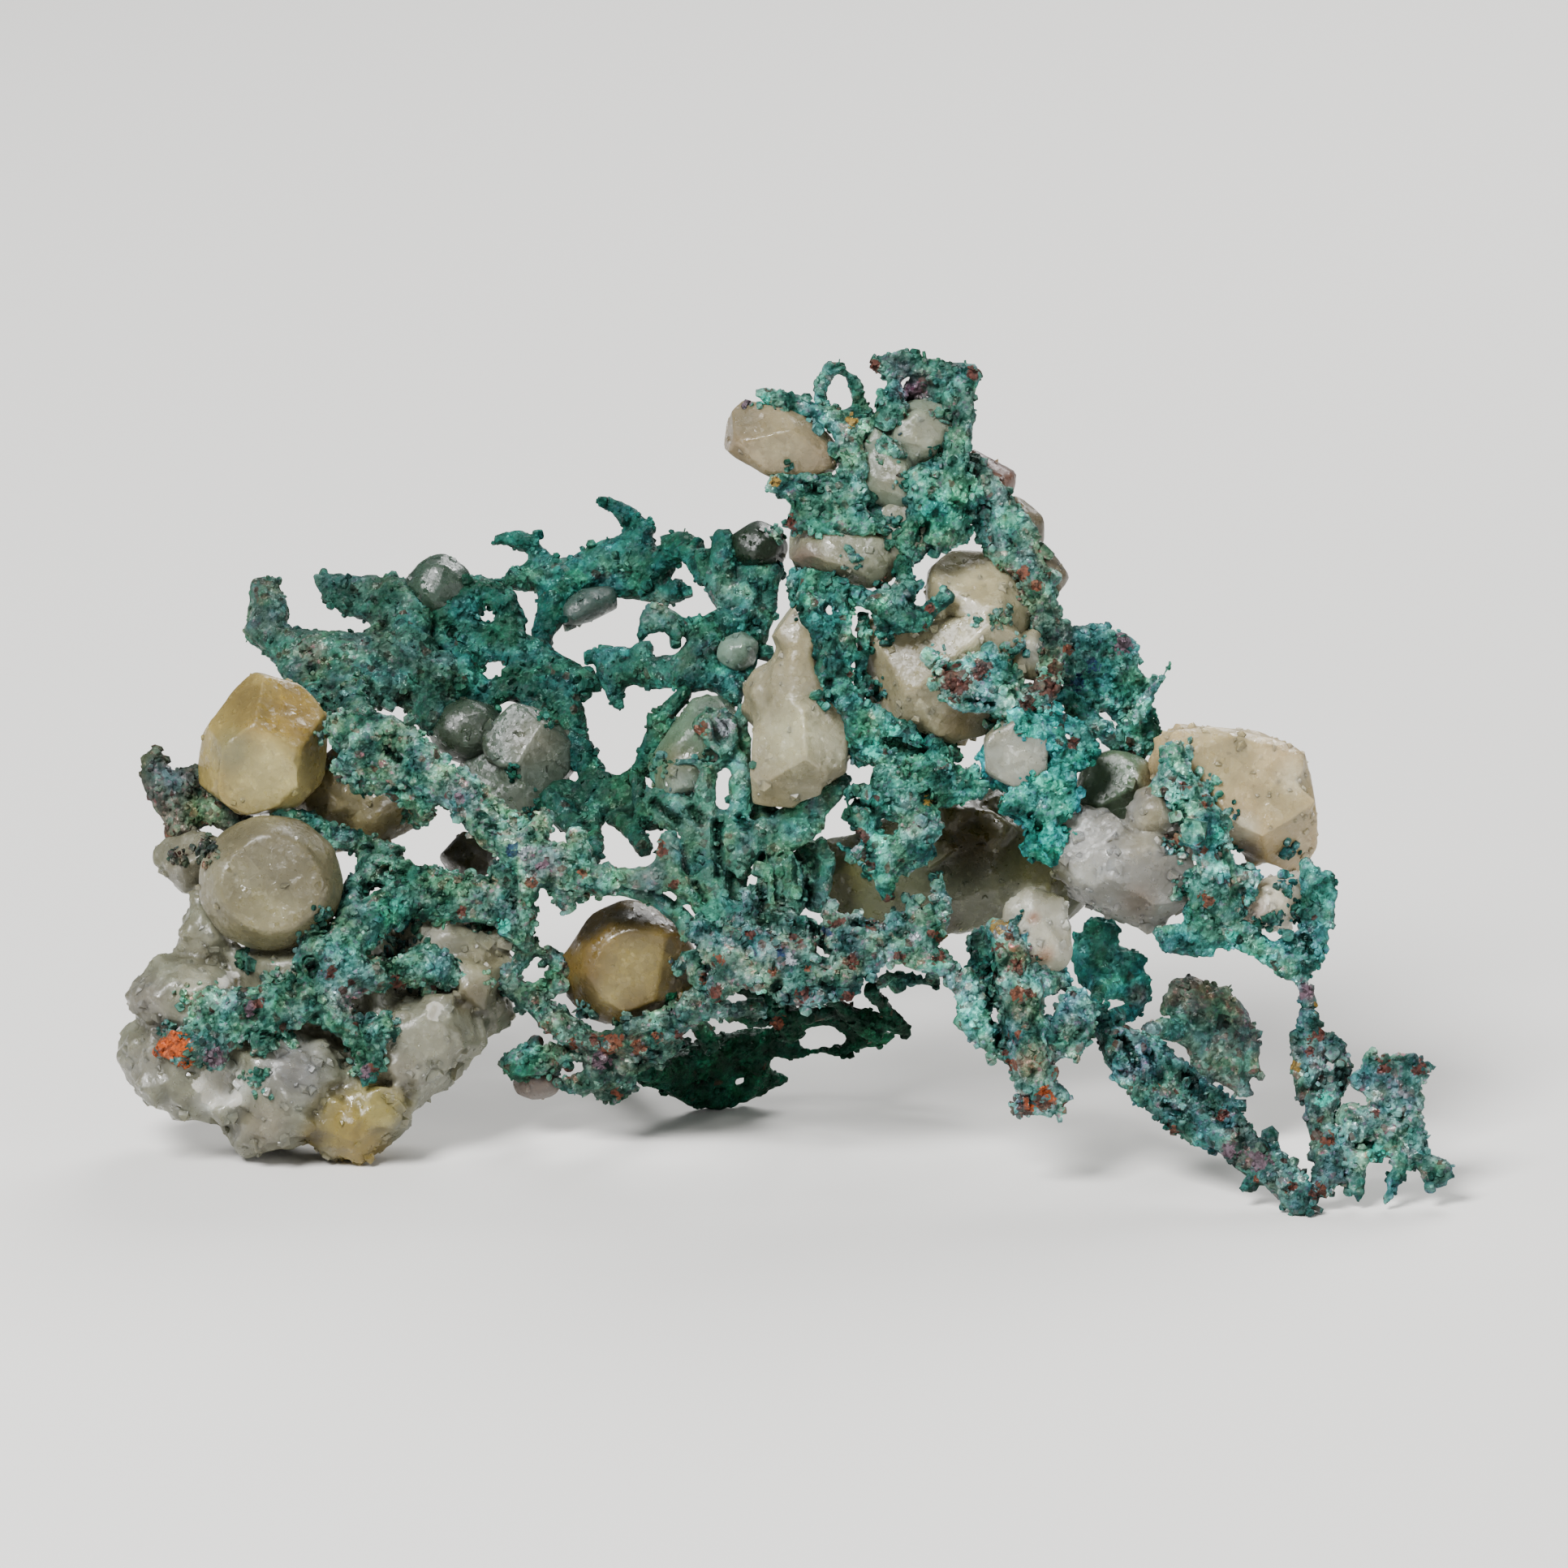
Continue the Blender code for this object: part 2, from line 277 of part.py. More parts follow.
         (2.5, -6.6, -1.8, .5), (2.1, -6.0, -1.8, .32)],
        [(-3.4, -10.3, -2, .6), (-2.8, -9.4, -2, .7)],
        [(-.2, -10.6, -2, .45), (1.0, -10.5, -2, .55), (2.2, -10.2, -2, .6), (3.2, -10.6, -2, .35)],
        [(1.0, -10.4, -2, .5), (1.2, -9.4, -2, .7)]], []),
    ("copper_prongs", [
        [(6.4, -5.4, -1.6, .3), (6.4, -6.3, -1.6, .42), (6.7, -7.1, -1.8, .55), (6.6, -8.3, -1.9, .6)],
        [(7.5, -4.8, -1.6, .35), (7.8, -5.7, -1.6, .45), (7.9, -6.6, -1.6, .5), (7.3, -7.3, -1.8, .6)],
        [(5.5, -6.6, -1.2, .5), (5.5, -7.6, -1.5, .6), (6.0, -8.4, -1.8, .7), (7.0, -8.5, -2, .75),
         (7.9, -8.9, -2, .55)],
        [(4.9, -8.2, -1.6, .42), (5.8, -8.2, -1.7, .6)],
        [(7.4, -8.9, -1.4, .45), (7.4, -9.8, -.2, .34), (6.2, -9.6, .6, .42), (5.0, -9.6, .8, .4),
         (4.3, -9.95, .9, .28)]], []),
    ("copper_prong_trunk", [
        [(10.6, -7.1, -2.8, .5), (10.9, -8.0, -3.1, .65), (11.2, -9.2, -3.2, .9), (11.7, -10.4, -3.3, 1),
         (11.8, -11.6, -3.4, 1), (11.9, -12.9, -3.4, 1), (12.2, -14.0, -3.4, .95), (12.5, -14.9, -3.4, .85),
         (12.6, -15.6, -3.4, .6)],
        [(11.2, -15.9, -3.4, .38), (12.0, -15.95, -3.4, .42), (12.9, -15.8, -3.4, .45)],
        [(12.8, -15.0, -3.4, .6), (13.6, -15.2, -3.4, .5), (14.1, -15.9, -3.4, .25)],
        [(12.4, -13.6, -3.2, .5), (13.3, -12.9, -3, .7), (13.9, -12.0, -2.9, .8), (14.2, -11.1, -2.8, .65),
         (14.0, -10.4, -2.8, .4)],
        [(12.2, -9.9, -2.8, .6), (13.2, -9.8, -2.2, .5), (13.9, -9.7, -1.6, .35)],
        [(11.2, -13.4, -3.2, .45), (10.4, -12.7, -3, .5), (9.6, -12.0, -2.9, .65), (8.8, -11.6, -2.8, .5)],
        [(9.6, -11.9, -2.9, .6), (9.4, -10.8, -2.6, .6), (8.9, -10.0, -2.4, .6), (8.4, -9.7, -2.2, .42)],
        [(9.7, -7.6, .4, .6), (9.9, -8.8, 0, .8), (10.2, -9.9, -1.2, .8), (11.2, -10.4, -2.6, .8)]], []),
    ("copper_rear_dark", [
        [(15.6, -6.9, 4, .3), (15.6, -7.7, 4, .7), (16.3, -8.6, 4, .9), (17.2, -8.5, 4, .5),
         (17.8, -8.3, 4, .28)],
        [(14.4, -8.3, 3.4, .6), (15.3, -9.1, 3.6, .9), (16.3, -10.0, 3.6, .95), (17.3, -10.4, 3.8, .6)],
        [(16.3, -8.6, 4, .9), (16.4, -10.0, 3.6, .9)],
        [(15.4, -7.4, 3.9, .7), (14.8, -7.8, 3.6, .65), (14.6, -8.7, 3.4, .65), (14.8, -9.7, 3.4, .55)],
        [(14.6, -7.7, 3.4, .4), (13.9, -6.9, 2.4, .35), (13.6, -6.5, 1.8, .32)],
        [(15.8, -9.9, 3.4, .8), (15.4, -10.6, 1.6, .6), (15.3, -10.9, .6, .5)]], []),
    ("copper_chain", [
        [(15.3, -11.3, -.4, .5), (15.8, -12.0, -1, .6), (16.4, -13.0, -1.4, .85), (17.0, -13.9, -1.8, .95),
         (17.8, -14.5, -2.2, .9), (18.6, -15.2, -2.6, .9), (19.3, -16.1, -3, .85), (20.4, -16.9, -3.6, .85),
         (21.6, -17.4, -4.2, .75), (22.6, -18.1, -4.6, .8), (23.6, -18.7, -5, .85), (24.6, -19.3, -5.4, .85),
         (25.2, -20.3, -5.8, .8), (25.5, -20.8, -6, .6)],
        [(17.0, -12.4, -1.2, .6), (18.2, -13.2, -1.6, .7), (19.3, -14.3, -2.2, .75), (20.5, -15.2, -2.8, .75),
         (21.6, -15.9, -3.2, .65), (22.1, -16.8, -3.8, .65), (22.6, -17.7, -4.4, .65)],
        [(23.6, -19.0, -5, .4), (23.1, -19.9, -5, .3), (22.8, -20.3, -5, .25)],
        [(23.6, -18.3, -5, .5), (24.2, -17.8, -5, .32)]], []),
    ("copper_rear_piece", [
        [(19.2, -9.9, 4.5, .55), (20.2, -10.3, 4.5, .9), (21.2, -11.2, 4.5, 1.1), (21.8, -12.4, 4.5, 1),
         (22.1, -13.6, 4.2, 1), (22.2, -14.6, 4, .8), (22.7, -15.1, 4, .5), (23.2, -15.4, 4, .26)],
        [(18.0, -12.1, .6, .5), (18.6, -12.0, 2.4, .55), (19.6, -12.2, 3.8, .7), (20.6, -12.6, 4.4, .95),
         (21.0, -13.8, 4.2, .95)],
        [(19.4, -10.2, 4.5, .5), (19.4, -11.2, 4.4, .5), (19.6, -12.0, 4, .6)]], []),
    ("copper_right_upper", [
        [(19.4, 1.9, -1.9, .42), (19.2, 1.1, -2.1, .55), (19.3, .3, -2.2, .6), (19.8, -.5, -2.3, .65),
         (20.3, -1.3, -2.5, .8), (20.7, -2.2, -2.6, .9), (21.1, -3.2, -2.5, .9), (21.3, -4.2, -2.4, .9),
         (21.1, -5.1, -2.2, .75), (20.6, -5.6, -2.0, .6)],
        [(21.2, -5.0, -2.3, .75), (21.8, -5.8, -2.1, .7), (22.0, -6.5, -2, .5)],
        [(19.3, 0, -2.2, .42), (18.4, -.1, -2.1, .36)],
        [(20.5, -1.6, -2.5, .7), (21.4, -2.0, -2.4, .6), (21.6, -2.8, -2.4, .5), (21.3, -3.4, -2.4, .6)],
        [(20.4, -2.5, -3, .42), (19.3, -2.8, -3.2, .34)],
        [(21.4, -4.3, -2.3, .7), (22.4, -4.6, -2, .55), (23.2, -4.4, -1.9, .48)]], []),
    ("copper_right_edge", [
        [(18.5, -7.4, -1.6, .45), (19.5, -7.4, -1.8, .6), (20.5, -7.6, -2, .6), (21.5, -7.7, -2, .55),
         (22.4, -7.7, -2, .6), (23.3, -8.0, -2, .65), (24.2, -8.6, -2, .7), (25.0, -9.1, -2, .75),
         (25.5, -9.8, -2.2, .45), (25.8, -10.3, -2.4, .42), (25.9, -10.7, -2.5, .42)],
        [(20.2, -6.4, -2, .5), (20.9, -6.4, -2, .6), (21.7, -6.7, -2, .6), (22.6, -7.2, -2, .65),
         (23.4, -7.8, -2, .6)],
        [(25.7, -3.9, -1, .45), (26.1, -4.5, -1.1, .6), (26.3, -5.3, -1.2, .6), (26.1, -6.2, -1.4, .6),
         (26.2, -7.2, -1.5, .8), (26.2, -8.0, -1.6, .7), (25.8, -8.7, -1.9, .8)],
        [(24.7, -7.5, -2, .45), (25.4, -7.8, -1.8, .6), (26.0, -8.4, -1.8, .6)]], []),
    ("copper_hanging", [
        [(25.9, -11.3, -2.6, .5), (25.8, -11.9, -2.8, .6), (25.9, -12.7, -3, .6), (26.0, -13.5, -3.2, .6),
         (26.0, -14.4, -3.5, .6), (26.4, -15.3, -3.8, .65), (26.4, -16.1, -4.1, .65), (26.3, -16.9, -4.4, .65),
         (26.6, -17.7, -4.8, .6), (26.8, -18.5, -5.2, .7), (26.8, -19.3, -5.5, .75), (26.4, -19.8, -5.6, .6)],
        [(26.3, -12.4, -3, .45), (27.2, -12.7, -3.1, .45), (27.6, -13.5, -3.3, .42), (27.5, -14.3, -3.5, .42),
         (27.1, -15.1, -3.7, .5), (26.6, -15.6, -3.9, .5)],
        [(25.8, -13.8, -3.2, .42), (25.1, -13.9, -3.2, .34)]], []),
    ("copper_fist", [
        [(28.2, -14.6, -3.8, .45), (29.1, -14.4, -4, .75), (30.0, -14.3, -4, .85), (30.9, -13.9, -4, .75),
         (31.4, -14.2, -4, .5)],
        [(29.2, -15.2, -4, .6), (30.2, -15.3, -4, .7), (31.1, -15.1, -4, .55), (31.2, -16.0, -4.2, .42),
         (31.0, -16.9, -4.4, .5), (31.0, -17.8, -4.6, .5), (31.4, -18.6, -4.8, .5), (32.2, -19.0, -4.9, .6),
         (32.7, -19.3, -5, .45), (32.4, -19.8, -5, .32), (31.5, -19.7, -5, .25)],
        [(29.1, -14.2, -4, .5), (29.1, -13.6, -4, .38)],
        [(27.4, -16.3, -4.3, .45), (28.2, -16.4, -4.4, .48), (29.0, -16.5, -4.4, .55), (30.0, -16.6, -4.4, .55),
         (30.9, -16.9, -4.5, .55)],
        [(27.5, -17.5, -4.8, .42), (28.0, -17.3, -4.7, .44), (28.6, -17.2, -4.7, .5), (29.6, -17.1, -4.6, .5)],
        [(28.3, -16.5, -4.4, .4), (28.4, -17.2, -4.7, .4)],
        [(30.5, -17.6, -4.7, .45), (30.4, -18.9, -4.9, .38), (30.1, -19.9, -5.1, .28),
         (29.8, -20.6, -5.3, .2)],
        [(27.6, -18.6, -5.2, .5), (28.0, -18.4, -5, .5), (28.6, -18.2, -4.9, .55), (29.5, -17.9, -4.8, .5), (30.3, -17.4, -4.6, .5)],
        [(28.1, -18.8, -5, .5), (28.2, -19.5, -5.2, .45), (28.3, -20.1, -5.3, .28)]], []),
    ("copper_left_branch", [
        [(-21.9, 3.0, 1.2, .55), (-20.8, 2.7, 1.1, .8), (-19.4, 2.4, 1, .8), (-18.4, 1.6, .8, .85),
         (-17.4, .6, .6, .8), (-16.4, -.4, .4, .7), (-15.4, -1.3, .2, .65), (-14.5, -2.3, 0, .6),
         (-13.5, -3.1, -.2, .6), (-12.4, -3.5, -.4, .75), (-11.3, -4.0, -.6, .65), (-10.1, -4.5, -.8, .55),
         (-9.0, -4.8, -.8, .5), (-8.7, -4.7, -.8, .45)],
        [(-21.7, 2.0, 1, .5), (-20.4, 1.5, 1, .6), (-19.0, 1.2, .9, .6), (-18.0, .8, .7, .6)],
        [(-21.4, .9, 1.4, .4), (-20.0, .7, 1.2, .45), (-18.8, .4, 1, .5)],
        [(-17.4, .2, .7, .6), (-17.8, -.9, 2, .5), (-17.9, -1.6, 3, .45)],
        [(-12.3, -3.2, -.2, .55), (-12.2, -2.4, 0, .5), (-11.7, -1.5, .2, .38)],
        [(-10.6, -4.2, -.5, .5), (-10.0, -3.2, -.2, .45), (-10.3, -2.5, 0, .35)],
        [(-12.6, -3.9, -.4, .45), (-12.6, -4.8, -.4, .4), (-12.5, -5.8, -.4, .28)],
        [(-10.8, -4.5, -.5, .5), (-10.9, -5.6, 0, .45), (-10.6, -6.1, .2, .32)]], []),
    ("copper_left_edge", [
        [(-31.6, 1.3, 6, .28), (-31.0, 1.3, 6, .4), (-30.8, .4, 6, .6), (-30.4, -.5, 6, .85),
         (-30.0, -1.5, 6, .7), (-29.8, -2.2, 6, .5)],
        [(-29.6, -1.2, 6, .55), (-28.6, -1.3, 5.8, .6), (-27.4, -1.5, 5.8, .55), (-26.6, -1.8, 5.8, .35)],
        [(-30.4, -.3, 6, .6), (-29.4, .3, 6.2, .55), (-29.1, -.8, 6, .5), (-29.9, -1.2, 6, .5)],
        [(-31.0, 1.2, 6, .38), (-30.9, 1.8, 6, .24)]], []),
    ("copper_bed", [
        [(-18.3, -4.6, 2.6, .7), (-19.0, -5.8, 2, .8), (-20.6, -6.8, 1.2, .9), (-21.8, -8.0, .8, .9),
         (-22.4, -9.4, .5, .9), (-23.5, -10.8, .4, .9), (-25.2, -11.6, .2, .8), (-26.8, -11.5, 0, .75),
         (-28.2, -12.4, -.4, .8), (-29.5, -13.1, -.6, .75), (-30.5, -12.9, -.5, .5)],
        [(-21.6, -7.6, .8, .8), (-22.6, -8.2, .6, .8), (-23.4, -8.7, .5, .6)],
        [(-18.3, -4.5, 2.6, .7), (-19.6, -4.2, 3.2, .8), (-20.8, -4.7, 3.4, .7), (-21.1, -5.7, 2.8, .6),
         (-21.0, -6.6, 1.6, .7)],
        [(-20.6, -4.1, 3.8, .5), (-20.8, -3.2, 4.6, .5), (-20.2, -3.3, 4.6, .4)],
        [(-19.6, -6.1, 2, .8), (-18.4, -5.8, 2.4, .6), (-16.4, -5.8, 2.6, .6), (-14.8, -6.1, 2.6, .7),
         (-13.6, -6.5, 2.6, .6), (-13.2, -7.5, 2.3, .42)],
        [(-24.6, -10.7, .4, .8), (-26.4, -10.8, 0, .7), (-28.0, -11.0, -.2, .7), (-29.3, -10.6, -.2, .4)],
        [(-28.2, -12.6, -.4, .6), (-27.9, -13.6, -.6, .5)],
        [(-22.6, -10.2, .3, .8), (-21.8, -11.8, 0, .7), (-20.8, -12.8, 0, .6), (-20.4, -13.6, 0, .55),
         (-20.8, -14.4, 0, .38)],
        [(-21.2, -12.4, 0, .5), (-19.6, -12.0, 0, .5)],
        [(-22.0, -9.2, .5, .8), (-20.4, -9.5, .7, .7), (-19.0, -9.3, 1.2, .8), (-17.6, -9.0, 1.7, .9),
         (-16.4, -9.2, 1.9, .6)],
        [(-18.6, -4.9, 2.6, .8), (-17.2, -4.8, 2.8, .8), (-15.6, -5.2, 2.8, .9), (-14.2, -5.6, 2.8, .85),
         (-13.5, -6.4, 2.6, .6), (-13.8, -7.1, 2.2, .5)],
        [(-25.4, -11.8, .1, .6), (-25.7, -13.2, -.5, .45), (-25.6, -14.4, -.8, .5), (-26.2, -15.2, -.8, .4)]],
     []),
    ("copper_bottom_band", [
        [(-12.4, -10.8, 3, .45), (-11.6, -11.5, 2.8, .75), (-10.7, -12.2, 2.6, .65), (-9.6, -12.8, 2.4, .55),
         (-8.4, -12.8, 2.2, .55), (-7.2, -12.7, 2, .55), (-6.2, -12.5, 1.8, .6), (-5.2, -11.9, 1.4, .7),
         (-4.6, -11.0, .4, .75), (-4.2, -10.4, -.4, .6)],
        [(-10.9, -14.9, 4, .38), (-9.8, -14.6, 3.8, .6), (-8.8, -14.2, 3.4, .7), (-7.7, -13.7, 3, .7),
         (-6.6, -13.4, 2.6, .6), (-5.6, -12.8, 2.2, .6)],
        [(-9.2, -13.0, 2.8, .5), (-9.2, -14.0, 3.4, .6)],
        [(-9.0, -15.3, 4.2, .45), (-8.0, -15.2, 4.2, .55), (-7.6, -14.4, 3.6, .5)],
        [(-11.6, -13.5, 4.8, .5), (-10.4, -13.1, 3.6, .5), (-9.6, -12.9, 2.8, .5)],
        [(-13.8, -9.4, 3.2, .38), (-13.0, -10.1, 3.2, .4), (-11.7, -9.9, 3.2, .38), (-10.9, -9.0, 3.2, .34),
         (-11.5, -8.3, 3.2, .36), (-12.5, -8.1, 3.2, .38), (-13.0, -8.8, 3.2, .4), (-13.4, -9.5, 3.2, .4)],
        [(-12.6, -10.1, 3.2, .4), (-12.4, -10.8, 3, .45)],
        [(-4.4, -10.8, .2, .6), (-3.2, -11.2, .6, .55), (-2.2, -11.1, 1, .45), (-1.4, -11.1, 1.2, .35)]],
     [([(-14.4, -13.8), (-13.1, -12.8), (-11.8, -12.7), (-11.0, -13.4), (-11.4, -14.2), (-13.0, -14.5)],
       4.9, .6, PLATE)]),
    ("copper_bottom_rear", [
        [(-7.0, -14.2, 5.6, .7), (-6.0, -14.2, 7.6, .8), (-4.6, -13.6, 9, 1), (-3.2, -13.2, 9.5, 1),
         (-1.8, -12.9, 10, 1.1), (-.4, -12.6, 10, .9), (.4, -11.8, 9, .7), (1.6, -11.5, 8, .65),
         (2.8, -11.5, 7.5, .6), (3.9, -11.5, 7, .5)],
        [(.2, -13.4, 10, .55), (1.4, -13.2, 9, .45), (2.8, -13.2, 8.4, .55), (3.8, -12.8, 7.8, .5),
         (4.9, -12.6, 7.2, .5), (5.5, -12.2, 6.8, .42), (6.4, -12.4, 6.5, .42), (7.0, -12.5, 6.2, .55),
         (7.6, -12.9, 6, .5)],
        [(3.2, -11.5, 7.3, .5), (3.4, -12.4, 7.8, .5), (3.2, -13.0, 8.2, .5)],
        [(-6.2, -14.6, 8.5, .8), (-4.6, -15.2, 10.2, .8), (-3.4, -15.5, 11, .8), (-1.8, -15.2, 11.4, .7),
         (-.6, -14.5, 11.4, .7), (.4, -14.6, 11.4, .32)],
        [(-4.3, -15.8, 11, .4), (-2.8, -15.8, 11.2, .5)],
        [(-3.2, -13.2, 9.5, .9), (-3.2, -15.4, 11, .8)],
        [(-1.4, -13.2, 10, .9), (-1.2, -14.8, 11.4, .7)],
        [(.4, -12.0, 9, .6), (0, -11.0, 6, .7), (-.4, -10.6, 2.4, .7), (-.6, -10.2, .2, .6)],
        [(-4.6, -13.6, 9, .8), (-6.0, -12.6, 12.6, .9), (-7.4, -12.4, 15.4, .9), (-7.6, -13.4, 17, .9),
         (-7.6, -14.0, 17.4, .7)]], []),
    ("copper_rear_left", [
        [(-25.6, 9.6, 12, .7), (-25.4, 8.6, 12, .95), (-25.6, 7.6, 11.6, .95), (-24.8, 6.8, 11, .8),
         (-23.8, 6.4, 10.5, .8)],
        [(-23.1, 10.0, 12.5, .32), (-22.1, 9.9, 12.5, .45), (-20.9, 9.6, 12.4, .6), (-19.8, 9.4, 12.2, .6),
         (-19.0, 9.0, 12, .7)],
        [(-20.6, 9.4, 12.4, .5), (-20.5, 8.7, 12, .38)],
        [(-24.0, 6.8, 10.5, .8), (-22.8, 6.4, 10, 1.1), (-21.2, 6.0, 10, 1.3), (-19.6, 6.2, 10.4, 1.3),
         (-18.2, 6.4, 10.6, 1.2)],
        [(-22.4, 5.0, 9, .8), (-21.0, 4.8, 9, 1.1), (-19.6, 4.9, 9.4, 1), (-18.0, 5.0, 9.6, 1),
         (-17.0, 5.4, 10, 1)],
        [(-19.0, 8.9, 12, .8), (-18.6, 7.7, 11.4, 1), (-18.6, 6.6, 10.8, 1.1)],
        [(-17.9, 4.4, 9.4, .7), (-17.4, 3.2, 8.8, .5)],
        [(-21.4, 4.6, 8.4, .8), (-21.0, 3.6, 5.6, .7), (-20.8, 3.0, 3.6, .6)]], []),
    ("copper_rear_middle", [
        [(-17.2, 8.2, 11.6, .6), (-16.2, 8.5, 11.6, .8), (-15.4, 9.2, 12, .8), (-14.5, 9.7, 12, .65),
         (-13.8, 9.0, 11.8, .75), (-13.4, 8.2, 11.6, .7), (-13.6, 7.4, 11.4, .8), (-14.6, 7.4, 11.2, .6),
         (-15.6, 7.9, 11.4, .6), (-16.2, 8.5, 11.6, .6)],
        [(-16.0, 6.9, 10.8, .5), (-14.9, 6.7, 10.8, .65), (-13.6, 6.6, 11, .75), (-12.4, 6.2, 11, .85),
         (-11.2, 5.6, 10.6, .85), (-10.0, 5.1, 10, .7), (-9.4, 5.0, 9.4, .5)],
        [(-15.9, 5.0, 10, .9), (-14.9, 4.6, 10, .6), (-13.6, 4.6, 10, .7), (-12.4, 4.8, 10, .9),
         (-11.2, 4.4, 9.8, .9), (-10.4, 3.5, 9.4, .75), (-10.3, 2.4, 9, .7), (-9.9, 1.4, 8.4, .65),
         (-9.4, .7, 7.8, .6)],
        [(-13.0, 6.5, 11, .7), (-12.8, 5.0, 10, .8)],
        [(-15.2, 6.6, 10.8, .6), (-15.8, 5.2, 10, .7)],
        [(-13.4, 7.6, 11.4, .6), (-13.2, 6.6, 11, .6)]], []),
    ("copper_ridge", [
        [(-14.4, 11.85, 14, .26), (-13.2, 11.85, 14, .34), (-12.4, 11.7, 14, .42), (-12.0, 11.1, 14, .5),
         (-12.2, 10.3, 14, .8)],
        [(-13.2, 10.1, 13.6, .65), (-12.0, 10.2, 13.8, .85), (-10.6, 10.2, 14, 1), (-9.4, 10.6, 14, 1.05),
         (-8.2, 11.2, 14, 1.1), (-7.2, 11.1, 14, 1.1), (-6.3, 10.4, 13.4, 1), (-5.7, 11.2, 12.8, .7),
         (-4.9, 11.6, 12, .6), (-4.3, 11.0, 11, .55), (-3.9, 10.1, 10, .5)],
        [(-8.9, 13.75, 14.4, .24), (-8.0, 13.3, 14.4, .4), (-7.3, 12.8, 14.4, .6), (-7.1, 11.9, 14.2, .8)],
        [(-11.0, 9.8, 13.2, .8), (-11.6, 8.8, 12.8, .65), (-11.8, 7.6, 12.2, .5), (-11.9, 6.9, 11.8, .45)]],
     []),
    ("copper_column", [
        [(-3.0, 12.1, 8, .38), (-3.0, 11.3, 8, .6), (-3.3, 10.3, 8, .85), (-2.8, 9.2, 7.6, .9),
         (-1.9, 9.3, 7.4, .85), (-1.5, 8.6, 7.2, .6), (-2.3, 8.1, 7, .6), (-3.2, 7.9, 6.8, .55),
         (-3.9, 7.2, 6.6, .6), (-4.4, 6.4, 6.4, .75), (-4.7, 5.5, 6.2, .75), (-3.7, 5.2, 6.2, .7),
         (-2.7, 4.9, 6, .6), (-2.3, 4.3, 5.6, .5)],
        [(-2.0, 9.6, 7.6, .7), (-.9, 10.3, 8, .75)],
        [(-6.9, 8.4, 5.8, .36), (-6.2, 8.7, 5.8, .4), (-5.5, 8.2, 5.9, .42), (-4.9, 7.8, 6, .42),
         (-4.2, 8.0, 6.2, .42), (-3.5, 8.0, 6.6, .42)],
        [(-7.0, 6.9, 5.8, .3), (-7.1, 7.5, 5.8, .38), (-6.6, 8.2, 5.8, .36)],
        [(-9.2, 6.4, 8.6, .32), (-8.8, 5.9, 8.6, .42), (-8.4, 5.2, 8.6, .5), (-8.2, 4.3, 8.6, .45),
         (-8.1, 3.7, 8.6, .36)],
        [(-8.6, 5.6, 8.6, .5), (-7.4, 5.5, 8, .65), (-6.4, 5.5, 7.4, .85), (-5.4, 5.5, 6.8, .85),
         (-4.7, 5.5, 6.4, .7)]], []),
    ("copper_middle_left", [
        [(-9.6, -.1, 7.2, .5), (-8.6, -.3, 6.6, .8), (-7.7, .1, 6, .6), (-7.0, .9, 5.6, .48),
         (-6.6, 1.8, 5.2, .4), (-6.2, 2.4, 5, .38), (-6.6, 3.0, 4.8, .4), (-6.7, 3.6, 4.6, .34)],
        [(-6.1, 2.5, 5, .35), (-5.8, 3.6, 5, .36), (-5.2, 4.2, 5.2, .36), (-4.8, 4.7, 5.4, .32)],
        [(-11.0, -.6, 7.2, .75), (-9.8, -.8, 7, .7), (-8.6, -1.0, 6.4, .8), (-7.6, -1.3, 5.6, .8),
         (-6.8, -1.8, 4.4, .7), (-6.2, -1.6, 3.2, .6), (-6.0, -1.2, 2.2, .45)],
        [(-9.6, -1.1, 6.4, .55), (-9.3, -2.2, 4.6, .42), (-9.2, -3.2, 2.4, .42), (-9.3, -4.0, .9, .38)]], []),
]


def placed(x, u, d):
    """The world place of a point seen at (x, u) and d behind the middle of the specimen."""
    nearness = 1.0 + d / EYE_DISTANCE
    across = x * nearness
    up = u * nearness
    away = up * math.sin(VIEW_TILT) + d * math.cos(VIEW_TILT)
    height = up * math.cos(VIEW_TILT) - d * math.sin(VIEW_TILT)
    return Vector((across, away, height))


def new_object(name, mesh, collection):
    piece = bpy.data.objects.new(name, mesh)
    collection.objects.link(piece)
    return piece


def baked(piece):
    """A new mesh of what the modifiers make of this object."""
    bpy.context.view_layer.update()
    seen = piece.evaluated_get(bpy.context.evaluated_depsgraph_get())
    return bpy.data.meshes.new_from_object(seen)


def remove_all(pieces):
    for piece in pieces:
        bpy.data.objects.remove(piece, do_unlink=True)


def add_hull(mesh_builder, grain, seed, grow=0.0):
    """Adds the convex crystal around rings of points that follow one outline."""
    outline, middle, half, rings = grain
    chance = random.Random(seed)
    centre_x = sum(p[0] for p in outline) / len(outline)
    centre_u = sum(p[1] for p in outline) / len(outline)
    corners = []
    for fraction, scale in rings:
        for x, u in outline:
            reach = scale * (1.0 + chance.uniform(-UNEVENNESS, UNEVENNESS) * (scale < 1.0))
            east = (x - centre_x) * reach
            north = (u - centre_u) * reach
            length = math.hypot(east, north)
            swell = 1.0 + grow / max(length, 0.3)
            depth = middle + fraction * (half + grow) + chance.uniform(-GRAIN_WOBBLE, GRAIN_WOBBLE)
            corner = placed(centre_x + east * swell, centre_u + north * swell, depth)
            corners.append(mesh_builder.verts.new(corner))
    hull = bmesh.ops.convex_hull(mesh_builder, input=corners)
    unused = {v for v in hull["geom_interior"] + hull["geom_unused"] if isinstance(v, bmesh.types.BMVert)}
    bmesh.ops.delete(mesh_builder, geom=list(unused), context="VERTS")


